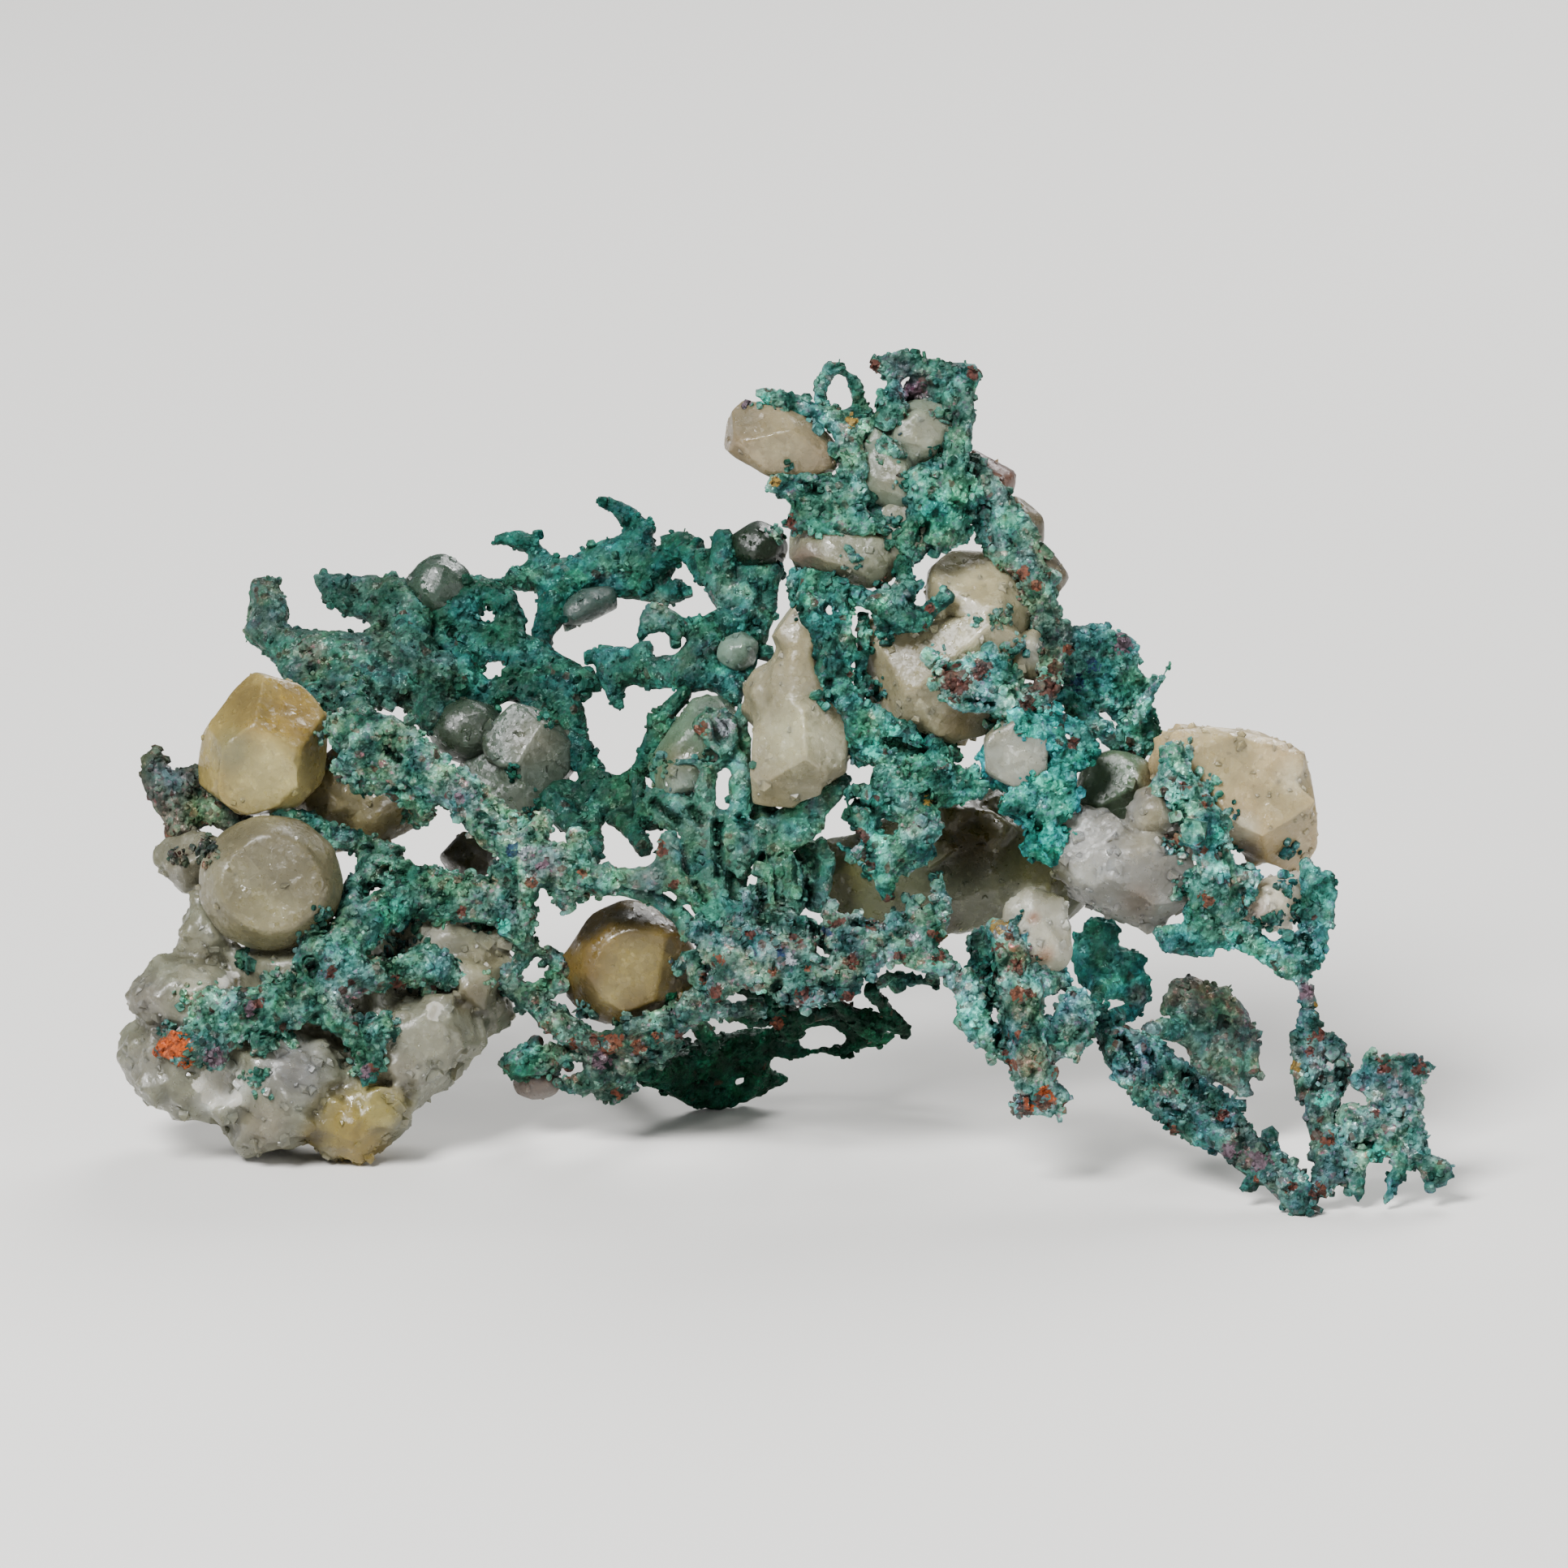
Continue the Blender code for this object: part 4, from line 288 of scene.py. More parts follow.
# Softer areas on the quartz; like the washes, they hold some painted light and shade along
# with the grains' own colour
QUARTZ_AREAS = [
    (-24.4, 3.4, 1.9, (141, 114, 54)), (-26.4, 4.2, 1.2, (129, 109, 61)),
    (-25.4, 0.4, 1.6, (181, 166, 116)),
    (-27.2, 1.6, .9, (139, 130, 94)), (-25.2, -3.6, 2.0, (114, 106, 85)),
    (-25.6, -6.8, 1.4, (135, 126, 97)),
    (-23.0, -1.6, .9, (104, 92, 60)), (-20.6, -.8, 1.4, (132, 120, 88)),
    (-29.2, -3.8, 1.4, (131, 124, 106)),
    (-28.6, -8.0, 1.2, (139, 134, 115)), (-27.0, -8.5, .6, (203, 199, 181)),
    (-29.0, -9.9, .9, (184, 180, 163)),
    (-31.4, -10.6, 1.0, (135, 128, 119)), (-30.6, -12.2, .8, (108, 103, 98)),
    (-31.6, -13.8, 1.2, (137, 132, 121)),
    (-27.5, -14.9, 1.0, (213, 211, 204)), (-28.5, -15.6, .5, (221, 219, 215)),
    (-29.4, -11.8, .4, (207, 203, 195)),
    (-24.2, -14.0, 1.4, (145, 142, 143)), (-25.6, -16.8, 1.2, (139, 130, 113)),
    (-21.4, -16.8, 1.6, (160, 137, 64)),
    (-20.8, -18.0, 1.1, (168, 141, 66)), (-23.2, -17.4, .7, (114, 97, 46)),
    (-19.8, -15.6, 1.2, (162, 145, 83)),
    (-17.1, -11.3, .45, (221, 217, 204)), (-17.4, -12.6, 1.4, (159, 155, 139)),
    (-18.8, -14.2, 1.0, (155, 148, 134)),
    (-14.8, -8.8, 1.1, (161, 153, 125)), (-15.4, -10.4, .8, (139, 128, 102)),
    (-14.1, -11.3, .8, (99, 97, 81)),
    (-17.4, -7.2, 1.0, (163, 157, 143)), (-7.2, -8.9, 1.5, (153, 134, 84)),
    (-8.6, -10.4, .8, (143, 126, 81)),
    (-7.4, -6.4, 1.0, (81, 65, 23)), (-10.2, -10.6, 1.0, (71, 56, 20)), (-5.0, -9.6, .9, (92, 75, 30)),
    (-12.4, 2.0, 1.1, (123, 124, 111)), (-12.8, -.6, 1.2, (80, 90, 78)), (-15.6, 2.6, 1.0, (56, 69, 55)),
    (-5.2, .8, 1.0, (109, 112, 90)), (-3.6, 3.4, .8, (74, 89, 80)), (-4.9, -.1, .8, (123, 136, 128)),
    (1.0, 6.6, 1.2, (150, 139, 110)), (.6, 2.4, 1.6, (171, 164, 137)), (-.6, -.6, .9, (167, 154, 125)),
    (-1.2, 4.0, 1.0, (138, 130, 108)), (2.6, 1.6, .8, (181, 174, 152)), (9.6, 9.8, 1.2, (176, 162, 129)),
    (6.0, 5.6, 1.6, (140, 130, 104)), (8.6, 3.0, 1.0, (122, 108, 76)), (9.4, 7.0, .8, (186, 176, 151)),
    (12.4, 6.6, .7, (168, 166, 155)), (11.4, 1.0, .9, (182, 181, 171)), (10.4, 2.8, .9, (138, 133, 116)),
    (.0, 17.0, 1.6, (150, 136, 108)), (-2.0, 18.0, .8, (132, 119, 96)), (6.9, 17.2, 1.1, (143, 143, 127)),
    (5.2, 15.2, .9, (117, 117, 99)), (2.0, 11.6, 1.2, (138, 134, 115)), (1.0, 11.0, .8, (109, 94, 84)),
    (21.6, 1.2, 1.9, (185, 166, 127)), (24.6, -.8, 1.4, (177, 158, 121)), (25.2, .4, .8, (199, 182, 152)),
    (22.6, -2.2, .7, (205, 192, 170)), (22.8, -3.4, .6, (109, 89, 68)), (18.6, .2, 1.0, (142, 124, 93)),
    (15.6, -3.4, 1.4, (173, 168, 165)), (14.8, -4.6, .7, (197, 194, 191)),
    (17.8, -2.6, 1.0, (179, 170, 155)),
    (18.8, -4.6, 1.0, (131, 125, 119)), (17.4, -5.8, .8, (138, 123, 113)),
    (14.0, -1.8, .7, (183, 180, 177)),
    (18.2, -1.5, .7, (156, 146, 121)), (24.2, -5.8, .9, (226, 212, 190)), (23.2, -6.3, .6, (198, 178, 168)),
    (6.4, -4.6, 2.2, (111, 114, 89)), (9.6, -5.0, 1.6, (103, 103, 80)), (9.2, -2.6, 1.6, (76, 62, 18)),
    (12.8, -4.9, 1.2, (107, 105, 74)), (2.6, -4.6, 1.2, (95, 91, 52)), (7.6, -6.8, .9, (62, 52, 20)),
    (12.1, -6.2, .9, (203, 198, 186)), (12.3, -6.6, .3, (172, 128, 106)), (13.4, -7.6, .7, (200, 192, 176)),
    (12.9, -8.4, .4, (182, 146, 124)),
]
# The stains' own colours, and the near-black of the painted shade in holes
STAINS = {
    "cuprite": tint(72, 36, 30),
    "copper": tint(90, 48, 33),
    "orange": tint(158, 66, 10),
    "lilac": tint(86, 68, 78),
    "mustard": tint(116, 90, 34),
    "turquoise": tint(52, 160, 142),
    "azure": tint(20, 40, 70),
    "silver": tint(130, 136, 142),
    "ivory": tint(222, 219, 206),
    # painted shade: near-black where a hole or slit is seen, not a stain
    "hole_shade": tint(2, 12, 10),
}
# Where single crystals are stained, and where holes get painted shade: x, u and how far the stain
# reaches
SPOTS = {
    "cuprite": [
        (4.5, 20.6, .3), (9.3, 20.3, .3), (.4, 12.9, .3), (4.9, 10.4, .4), (7.2, 8.6, .25), (8.3, 5.0, .7),
        (9.7, 5.7, .4), (12.9, 4.7, .65), (12.1, 4.0, .35), (13.3, 5.6, .35), (14.3, 2.0, .25),
        (3.8, -2.5, .3),
        (5.2, -5.6, .3), (-3.4, -10.4, .3), (2.5, -6.9, .25), (3.4, -8.6, .35), (1.0, -10.4, .35),
        (3.2, -10.6, .3), (5.8, -8.5, .35), (7.6, -8.5, .35), (7.2, -7.5, .25), (11.4, -9.1, .35),
        (12.3, -8.4, .3), (11.8, -16.0, .5), (21.7, -16.3, .3), (26.3, -20.2, .3), (25.9, -13.2, .3),
        (26.2, -12.4, .3), (26.7, -17.5, .25), (29.5, -13.8, .35), (31.2, -13.9, .3), (-5.4, -4.9, .25),
        (-22.4, -9.4, .3), (-19.1, -9.8, .3), (-15.9, -6.3, .25), (-25.9, -10.8, .3), (-31.0, 1.5, .25),
        (-10.7, -14.2, .3), (-20.3, -14.0, .25), (-28.9, -1.9, .25), (10.6, -8.2, .25), (12.1, -10.4, .2),
        (10.9, -13.2, .2), (25.2, -19.8, .2), (29.2, -16.3, .2), (31.9, -14.4, .2), (-6.0, -3.4, .3),
        (.6, -7.6, .25), (-1.6, -7.4, .2), (4.4, -7.0, .25), (-9.4, -12.6, .25), (-5.2, -12.4, .2),
        (2.7, -6.8, .25)],
    "copper": [
        (3.5, 10.2, .25), (11.8, 10.4, .3), (12.5, 9.7, .25), (14.0, 6.6, .25), (19.2, -2.75, .35),
        (20.6, -3.2, .25), (19.7, -.2, .25), (20.8, -.9, .25), (20.8, -5.7, .3), (-3.2, -8.7, .25),
        (-.5, -9.3, .2), (11.1, -7.5, .25), (11.5, -10.4, .3), (12.1, -10.5, .2), (12.8, -15.6, .45),
        (18.3, -15.0, .2), (19.2, -17.1, .25), (23.2, -19.5, .2), (25.0, -19.9, .25), (-12.5, -4.9, .25),
        (-10.0, -4.4, .2), (-6.1, -3.0, .25), (-9.5, .2, .3), (-4.1, 2.7, .3), (-11.7, -11.9, .3),
        (-8.5, -12.8, .45), (-6.3, -12.5, .25), (-8.2, -15.2, .25), (-.3, -11.8, .3), (11.6, -12.4, .35),
        (12.4, -8.4, .25), (11.2, -13.9, .25), (13.5, -14.3, .3), (14.0, -15.9, .25), (12.6, -13.6, .2),
        (7.6, -7.6, .3), (-4.0, -9.6, .2), (26.7, -17.5, .3), (26.4, -20.1, .35), (-7.2, -12.9, .3),
        (-10.4, -12.7, .3), (-11.6, -12.3, .25), (1.2, -9.0, .2)],
    "orange": [(-30.2, -13.1, .75), (-29.6, -13.8, .4), (-31.0, -12.7, .3), (12.9, -15.4, .4),
        (12.2, -15.9, .3)],
    "lilac": [
        (6.4, 19.3, .4), (-2.0, 18.7, .3), (16.7, 6.9, .4), (25.8, -10.2, .4), (22.0, -18.1, .35),
        (23.5, -18.5, .5), (-11.9, -4.1, .3), (-20.6, -14.1, .3), (-28.0, -13.5, .45), (-9.0, -13.7, .35),
        (-29.2, -2.0, .3), (11.6, -12.5, .35), (-16.0, -.6, .3), (-26.4, -11.0, .35)],
    "mustard": [
        (7.05, -.9, .25), (10.6, -7.0, .35), (26.4, -10.9, .25), (25.2, -13.9, .25), (-.4, 14.9, .3),
        (3.4, 17.9, .3)],
    "turquoise": [
        (4.3, 1.8, .4), (5.2, 2.7, .35), (6.7, 2.2, .3), (-2.2, 8.0, .4), (21.4, -2.3, .3),
        (22.1, -7.6, .3),
        (29.3, -18.2, .4), (26.6, -15.6, .35), (-1.0, 19.0, .3), (-13.8, -7.0, .3), (12.0, 2.6, .3)],
    "azure": [(15.2, 5.8, .35), (14.5, 5.0, .3), (-13.4, -3.2, .25), (-.1, -8.4, .2), (2.1, -7.2, .2)],
    "silver": [(3.4, -3.2, .35), (.3, -8.5, .3), (-12.6, -3.4, .35), (6.6, -7.6, .3), (-3.0, 2.9, .45)],
    "ivory": [(-26.9, -12.8, .3), (9.6, 3.9, .3), (-27.8, -14.9, .8), (-27.1, -15.5, .4),
        (-28.7, -14.7, .4),
              (-27.3, -9.8, .45), (-17.2, -11.2, .35)],
    # painted shade where a hole is seen
    "hole_shade": [(-23.4, -8.9, .22), (-19.5, -8.6, .26), (-20.6, -8.8, .16), (-26.7, -10.4, .18),
        (22.6, -3.9, .2),
             (21.6, -11.8, .35), (22.3, -7.7, .25)],
}
print("washes:", len(WASHES), "areas:", len(COPPER_AREAS), len(QUARTZ_AREAS), "stains:", len(SPOTS))

# %% [markdown]
# ## Shaders written as sums
# A material is a graph of nodes. A small class wraps one socket so that `1 - mask * 0.5` adds
# the Math nodes by itself, and one method makes every other node from its type, its settings
# and its sockets. That keeps each finish below down to the lines that say what it looks like.

# %% A socket that can be added up


class Signal:
    """One output socket, with the usual operators."""

    def __init__(self, finish, socket):
        self.finish = finish
        self.socket = socket

    def combined(self, operation, first, second):
        """The result of one Math node."""
        made = self.finish.make("ShaderNodeMath", {"operation": operation}, {0: first, 1: second})
        return Signal(self.finish, made.outputs[0])

    def __add__(self, other):
        return self.combined("ADD", self, other)

    def __sub__(self, other):
        return self.combined("SUBTRACT", self, other)

    def __rsub__(self, other):
        return self.combined("SUBTRACT", other, self)

    def __mul__(self, other):
        return self.combined("MULTIPLY", self, other)

    def __pow__(self, other):
        return self.combined("POWER", self, other)

    def above(self, level, softness=0.05):
        """0 below this level and 1 above it, with a soft step between."""
        made = self.finish.make(
            "ShaderNodeMapRange", {"interpolation_type": "SMOOTHSTEP"},
            {0: self, 1: level - softness, 2: level + softness, 3: 0.0, 4: 1.0})
        return Signal(self.finish, made.outputs[0])


class Finish:
    """A material that is being built from nodes."""

    def __init__(self, name):
        self.material = bpy.data.materials.new(name)
        self.material.use_nodes = True
        self.tree = self.material.node_tree
        self.shader = self.tree.nodes["Principled BSDF"]

    def make(self, kind, settings, sockets):
        """A node with these settings, whose sockets are linked or set."""
        made = self.tree.nodes.new(kind)
        for name, value in settings.items():
            setattr(made, name, value)
        for name, value in sockets.items():
            if isinstance(value, Signal):
                self.tree.links.new(value.socket, made.inputs[name])
            else:
                made.inputs[name].default_value = value
        return made

    def vector(self, operation, output, sockets):
        """A Vector Math node's result."""
        made = self.make("ShaderNodeVectorMath", {"operation": operation}, sockets)
        return Signal(self, made.outputs[output])

    def place(self):
        """Where the point is on the piece, in millimetres."""
        here = self.make("ShaderNodeTexCoord", {}, {})
        return self.vector("SCALE", 0, {0: Signal(self, here.outputs["Object"]), "Scale": 1.0 / MM})

    def noise(self, place, size, detail=3.0, roughness=0.55):
        """Soft patches of about this size in millimetres."""
        made = self.make("ShaderNodeTexNoise", {},
                         {"Vector": place, "Scale": 1.0 / size, "Detail": detail, "Roughness": roughness})
        return Signal(self, made.outputs[0])

    def facets(self, place, size):
        """Flat facets of about this size: their tilted height, and three random levels."""
        made = self.make("ShaderNodeTexVoronoi", {}, {"Vector": place, "Scale": 1.0 / size})
        colour = Signal(self, made.outputs["Color"])
        tilt = self.vector("SUBTRACT", 0, {0: colour, 1: (0.5, 0.5, 0.5)})
        inside = self.vector("SUBTRACT", 0, {0: place, 1: Signal(self, made.outputs["Position"])})
        levels = self.make("ShaderNodeSeparateColor", {}, {0: colour})
        return self.vector("DOT_PRODUCT", "Value", {0: tilt, 1: inside}), [
            Signal(self, output) for output in levels.outputs]

    def carried(self, name, output="Fac"):
        """An attribute that the mesh carries."""
        made = self.make("ShaderNodeAttribute", {"attribute_name": name}, {})
        return Signal(self, made.outputs[output])

    def scaled(self, colour, amount):
        """A colour made lighter or darker."""
        colour = colour if isinstance(colour, Signal) else colour[:3]
        return self.vector("SCALE", 0, {0: colour, "Scale": amount})

    def toned(self, colour, amount, factors):
        """A colour whose red, green and blue are multiplied by these where the amount is 1."""
        part = self.mix(amount, (1.0, 1.0, 1.0, 1.0), (*factors, 1.0))
        return self.vector("MULTIPLY", 0, {0: colour, 1: part})

    def mix(self, amount, first, second):
        """From the first colour to the second."""
        made = self.make("ShaderNodeMix", {"data_type": "RGBA"}, {0: amount, 6: first, 7: second})
        return Signal(self, made.outputs[2])

    def bump(self, height, strength=1.0):
        """Relief whose height is in millimetres."""
        made = self.make("ShaderNodeBump", {}, {"Height": height, "Distance": MM, "Strength": strength})
        return Signal(self, made.outputs[0])

    def set(self, **values):
        """Links or sets the shader's own sockets, named with _ for a space."""
        for name, value in values.items():
            socket = self.shader.inputs[name.replace("_", " ")]
            if isinstance(value, Signal):
                self.tree.links.new(value.socket, socket)
            else:
                socket.default_value = value


print("shader helpers are ready")

# %% [markdown]
# ## The copper's finish
# The copper is not one colour. Under the green a mosaic of crystal faces shows, each with its
# own tilt: some hold thick malachite, some are bare and glint grey, a few are lilac or red.
# Small pale flecks on the brightest mottles are painted highlights, and hollows are painted dark
# as painted shade. The mesh carries the wash, the stains at known places and how hollow each
# point is. A single noise over everything would look like paint.

# %% Copper crust


def copper_crust():
    """The one finish of all the copper."""
    look = Finish("copper_crust")
    place = look.place()
    wash, contrast = look.carried("wash", "Color"), look.carried("wash", "Alpha")
    stain, stained = look.carried("stain", "Color"), look.carried("stain", "Alpha")
    hollow_shade, tone = look.carried("hollow_shade"), look.carried("tone")
    patch = look.noise(place, 2.4)
    mottle = look.noise(place, 0.8, 4.0, 0.6)
    dust = look.noise(place, 0.15, 3.0)
    faces, (thick, bare, rare) = look.facets(place, 0.36)
    grains, (light, mauve, pale) = look.facets(place, 0.16)
    level = (patch * 2.0) ** 2.2 * (mottle * 2.0) ** 2.0 * (thick * 0.6 + 0.7) * (light * 0.4 + 0.8)
    level = (level - 1.0) * contrast + 1.0
    colour = look.scaled(wash, level)
    colour = look.toned(colour, 1.0 - level.above(0.55, 0.5), (0.3, 0.88, 0.8))
    colour = look.toned(colour, look.noise(place, 1.3).above(0.5, 0.1) * 0.6, (0.5, 0.95, 0.88))
    hue = look.noise(look.vector("ADD", 0, {0: place, 1: (37.0, 11.0, 5.0)}), 1.5)
    colour = look.toned(colour, hue.above(0.57, 0.05), (0.85, 0.92, 1.12))
    colour = look.toned(colour, (1.0 - hue).above(0.57, 0.05), (1.1, 1.02, 0.82))
    bright = (look.noise(place, 1.7) + (thick - 0.5) * 0.12).above(0.58, 0.06)
    colour = look.toned(colour, bright, (0.9, 1.3, 1.28))
    metal = (bare + (patch - 0.5) * 1.4 + (tone - 0.5) * 0.5).above(0.78, 0.1)
    colour = look.toned(colour, metal * 0.7, (1.2, 0.8, 0.88))
    colour = look.toned(colour, bare.above(0.93, 0.01) * contrast, (1.5, 0.95, 0.92))
    # painted highlights: small pale flecks on the brightest mottles stand in for glints
    colour = look.toned(colour, (pale + mottle * 0.8).above(1.3, 0.03), (2.2, 1.7, 1.75))
    colour = look.toned(colour, mauve.above(0.93, 0.01) * contrast, (1.4, 0.75, 1.0))
    colour = look.mix((rare + patch * 0.3).above(1.135, 0.01) * contrast * 0.7, colour, STAINS["cuprite"])
    # painted shade: recesses darkened towards deep teal
    colour = look.toned(colour, hollow_shade, (0.05, 0.16, 0.14))
    edge = (stained + (thick - 0.5) * 1.0 + (dust - 0.5) * 0.8).above(0.62, 0.06)
    colour = look.mix(edge * 0.9, colour, look.scaled(stain, light * 1.1 + 0.4))
    relief = look.bump(faces * 0.9 + grains * 0.9 + dust * 0.05, 0.85)
    look.set(Base_Color=colour, Metallic=metal * 0.4, Roughness=0.6 - metal * 0.25, Normal=relief)
    look.set(Specular_IOR_Level=0.15)
    return look.material


COPPER_CRUST = copper_crust()
print("made", COPPER_CRUST.name)

# %% [markdown]
# ## The quartz's finishes
# The grains let light in, but veils, pits and iron stains cloud them, and their etched faces
# sparkle like sugar, by low roughness and by small pale specks that are painted highlights.
# Hollows are darkened as painted shade. Each finish sets how clear the grain is; the mesh carries
# its wash. The clear grains are see-through by transmission and refraction, with a little absorption.

# %% Quartz


def quartz(name, clear, soft, white, absorb=0.0):
    """A finish of quartz, by how clear, how soft inside and how milky it is."""
    look = Finish(name)
    place = look.place()
    wash = look.carried("wash", "Color")
    stain, stained = look.carried("stain", "Color"), look.carried("stain", "Alpha")
    hollow_shade = look.carried("hollow_shade")
    veils = look.noise(place, 2.2, 4.0, 0.6)
    cloud_edge = look.noise(place, 0.6, 4.0, 0.6)
    steps, (dim, milky, _) = look.facets(place, 0.9)
    sugar, (spark, dark, last) = look.facets(place, 0.24)
    level = veils * 0.8 + cloud_edge * 0.25 + dim * 0.12 + spark * 0.08 + 0.38
    colour = look.scaled(wash, level)
    milk = (veils + cloud_edge * 0.4 + milky * 0.2).above(1.0 - white, 0.12)
    colour = look.toned(colour, milk, (1.15, 1.18, 1.25))
    # painted highlights: small pale specks stand in for glints on the etched faces
    colour = look.toned(colour, (last + cloud_edge * 0.6).above(1.26, 0.03), (1.25, 1.27, 1.32))
    colour = look.toned(colour, (dark + cloud_edge * 0.8).above(1.42, 0.04) * 0.4, (0.35, 0.33, 0.3))
    # painted shade: recesses darkened
    colour = look.toned(colour, hollow_shade * 0.7, (0.35, 0.33, 0.28))
    edge = (stained + (dim - 0.5) * 0.7 + (cloud_edge - 0.5) * 0.6).above(0.5, 0.08)
    colour = look.mix(edge * 0.9, colour, stain)
    rough = cloud_edge.above(0.5, 0.1)
    glint = spark.above(0.8, 0.02) * rough
    relief = look.bump(steps * 0.25 + sugar * (rough * 0.35 + 0.08) + cloud_edge * 0.08, 0.75)
    look.set(Base_Color=colour, Roughness=0.4 - glint * 0.28, Normal=relief)
    look.set(IOR=1.544, Transmission_Weight=clear, Subsurface_Weight=soft,
             Subsurface_Radius=(1.0, 0.85, 0.6), Subsurface_Scale=1.4 * MM)
    if absorb:
        depth = look.make("ShaderNodeVolumeAbsorption", {}, {"Color": tint(196, 192, 178), "Density": absorb})
        look.tree.links.new(depth.outputs[0], look.tree.nodes["Material Output"].inputs["Volume"])
    return look.material


QUARTZ = {
    "quartz_beige": quartz("quartz_beige", 0.12, 0.5, 0.1),
    "quartz_yellow": quartz("quartz_yellow", 0.12, 0.5, 0.1),
    "quartz_clear": quartz("quartz_clear", 0.4, 0.4, 0.2, 60.0),
    "quartz_brown": quartz("quartz_brown", 0.15, 0.5, 0.0),
    "quartz_grey": quartz("quartz_grey", 0.12, 0.5, 0.05),
}
print("made", sorted(QUARTZ))

# %% [markdown]
# ## Paint that the mesh carries
# The wash and the stains are worked out at every corner of a piece from where it is seen. Areas
# fade into each other, stains have a sharp strength that the shader breaks up along its facets.
# The hollow value compares each corner with the mesh smoothed: what then lies deeper is a recess,
# which the finishes darken as painted shade.

# %% Wash, stains and the painted shade of hollows
# How strong the relief and the contrast are, where a piece lies so deep that it is seen soft
SOFT = {
    "copper_leaf_cluster": 0.5, "copper_rear_left": 0.7, "copper_rear_middle": 0.65, "copper_ridge": 0.6,
    "copper_rear_dark": 0.6, "copper_rear_piece": 0.7, "copper_bottom_rear": 0.7, "copper_column": 0.6,
    "copper_middle_left": 0.5, "copper_left_edge": 0.7,
}


def layer_of(piece, name, values):
    """Stores one colour per corner under this name."""
    layer = piece.data.color_attributes.new(name, "FLOAT_COLOR", "POINT")
    layer.data.foreach_set("color", values.reshape(-1))


# The share of a wash that is laid on, for red, green and blue
COPPER_DEPTH = np.array([0.50, 0.66, 0.62])
QUARTZ_DEPTH = np.array([0.72, 0.74, 0.66])


def painted(piece, node, areas, kinds, depth):
    """Lays the wash and the stains, with the painted shade of holes among them, over a piece; depth is
    how strongly the wash is laid on.
    """
    x, u, d = sight_of(corners_of(piece.data))
    wash = np.ones((len(x), 4))
    wash[:, :3] = tint(*WASHES[node])[:3]
    for area_x, area_u, radius, seen in areas:
        weight = np.clip(1.5 - np.hypot(x - area_x, u - area_u) / radius, 0.0, 1.0)[:, None]
        wash[:, :3] = wash[:, :3] * (1.0 - weight) + np.array(tint(*seen)[:3]) * weight
    wash[:, :3] *= depth
    wash[:, 3] = SOFT.get(node, 1.0)
    layer_of(piece, "wash", wash)
    stains = np.zeros((len(x), 4))
    for name in kinds:
        for spot_x, spot_u, radius in SPOTS[name]:
            weight = np.clip(1.35 - np.hypot(x - spot_x, u - spot_u) / radius * 0.75, 0.0, 1.0)
            stronger = (weight > stains[:, 3]) & (d < 4.0)
            stains[stronger, :3] = STAINS[name][:3]
            stains[stronger, 3] = weight[stronger]
    layer_of(piece, "stain", stains)


def hollows(piece, rounds=10, depth=0.12):
    """Stores how far each corner lies below the smoothed mesh, from 0 to 1 at this depth; the finishes darken
    each corner by it, as painted shade.
    """
    mesh = piece.data
    places = corners_of(mesh)
    edges = np.empty(len(mesh.edges) * 2, dtype=np.int32)
    mesh.edges.foreach_get("vertices", edges)
    first, second = edges.reshape(-1, 2).T
    degree = np.bincount(first, minlength=len(places)) + np.bincount(second, minlength=len(places))
    smooth = places.copy()
    for _ in range(rounds):
        total = np.stack([
            np.bincount(first, smooth[second, axis], len(places))
            + np.bincount(second, smooth[first, axis], len(places))
            for axis in range(3)], axis=1)
        smooth = total / np.maximum(degree, 1)[:, None]
    normals = np.empty(len(places) * 3)
    mesh.vertices.foreach_get("normal", normals)
    below = ((smooth - places) * normals.reshape(-1, 3)).sum(axis=1) / MM
    values = mesh.attributes.new("hollow_shade", "FLOAT", "POINT")
    values.data.foreach_set("value", np.clip(below / depth, 0.0, 1.0))


print("paint is ready")

# %% [markdown]
# ## One copper crystal, five habits
# Copper grows as cubes with cut corners, as octahedra, as flat six-sided twins, as spikes and
# as rounded knobs. Each is modelled once, one unit across, from the nearest primitive, with a
# few dozen faces at most because it is repeated thousands of times.

# %% Crystal habits


def habit(name):
    """The corners and triangles of the active object, which is then put away."""
    piece = bpy.context.active_object
    shaped(piece, "TRIANGULATE")
    corners = corners_of(piece.data)
    faces = np.array([f.vertices[:] for f in piece.data.polygons])
    bpy.data.objects.remove(piece, do_unlink=True)
    print(name, "has", len(faces), "triangles")
    return corners, faces


def cut_corners(amount):
    """Cuts each corner of the active object flat, this far along its edges."""
    bpy.ops.object.mode_set(mode="EDIT")
    bpy.ops.mesh.select_all(action="SELECT")
    bpy.ops.mesh.bevel(offset=amount, segments=1, affect="VERTICES")
    bpy.ops.object.mode_set(mode="OBJECT")


bpy.ops.object.select_all(action="DESELECT")
bpy.ops.mesh.primitive_cube_add(size=0.86)
cut_corners(0.26)
cube = habit("cube")
bpy.ops.mesh.primitive_uv_sphere_add(segments=4, ring_count=2, radius=0.62)
octahedron = habit("octahedron")
bpy.ops.mesh.primitive_cylinder_add(vertices=6, radius=0.62, depth=0.34)
twin = habit("twin")
bpy.ops.mesh.primitive_uv_sphere_add(segments=4, ring_count=2, radius=0.5, scale=(0.7, 0.7, 1.7))
bpy.ops.object.transform_apply(location=False, rotation=False, scale=True)
spike = habit("spike")
bpy.ops.mesh.primitive_ico_sphere_add(subdivisions=1, radius=0.58)
knob = habit("knob")
HABITS = [cube, octahedron, twin, spike, knob]

# %% [markdown]
# ## Sowing crystals
# On a real branch the crystals share one direction, because they are one crystal that branched.
# So each piece has its own direction, and every crystal on it leans only a little from that.
# They are sown over the faces by area, sunk to about half, and get a random `tone`.

# %% Sowing


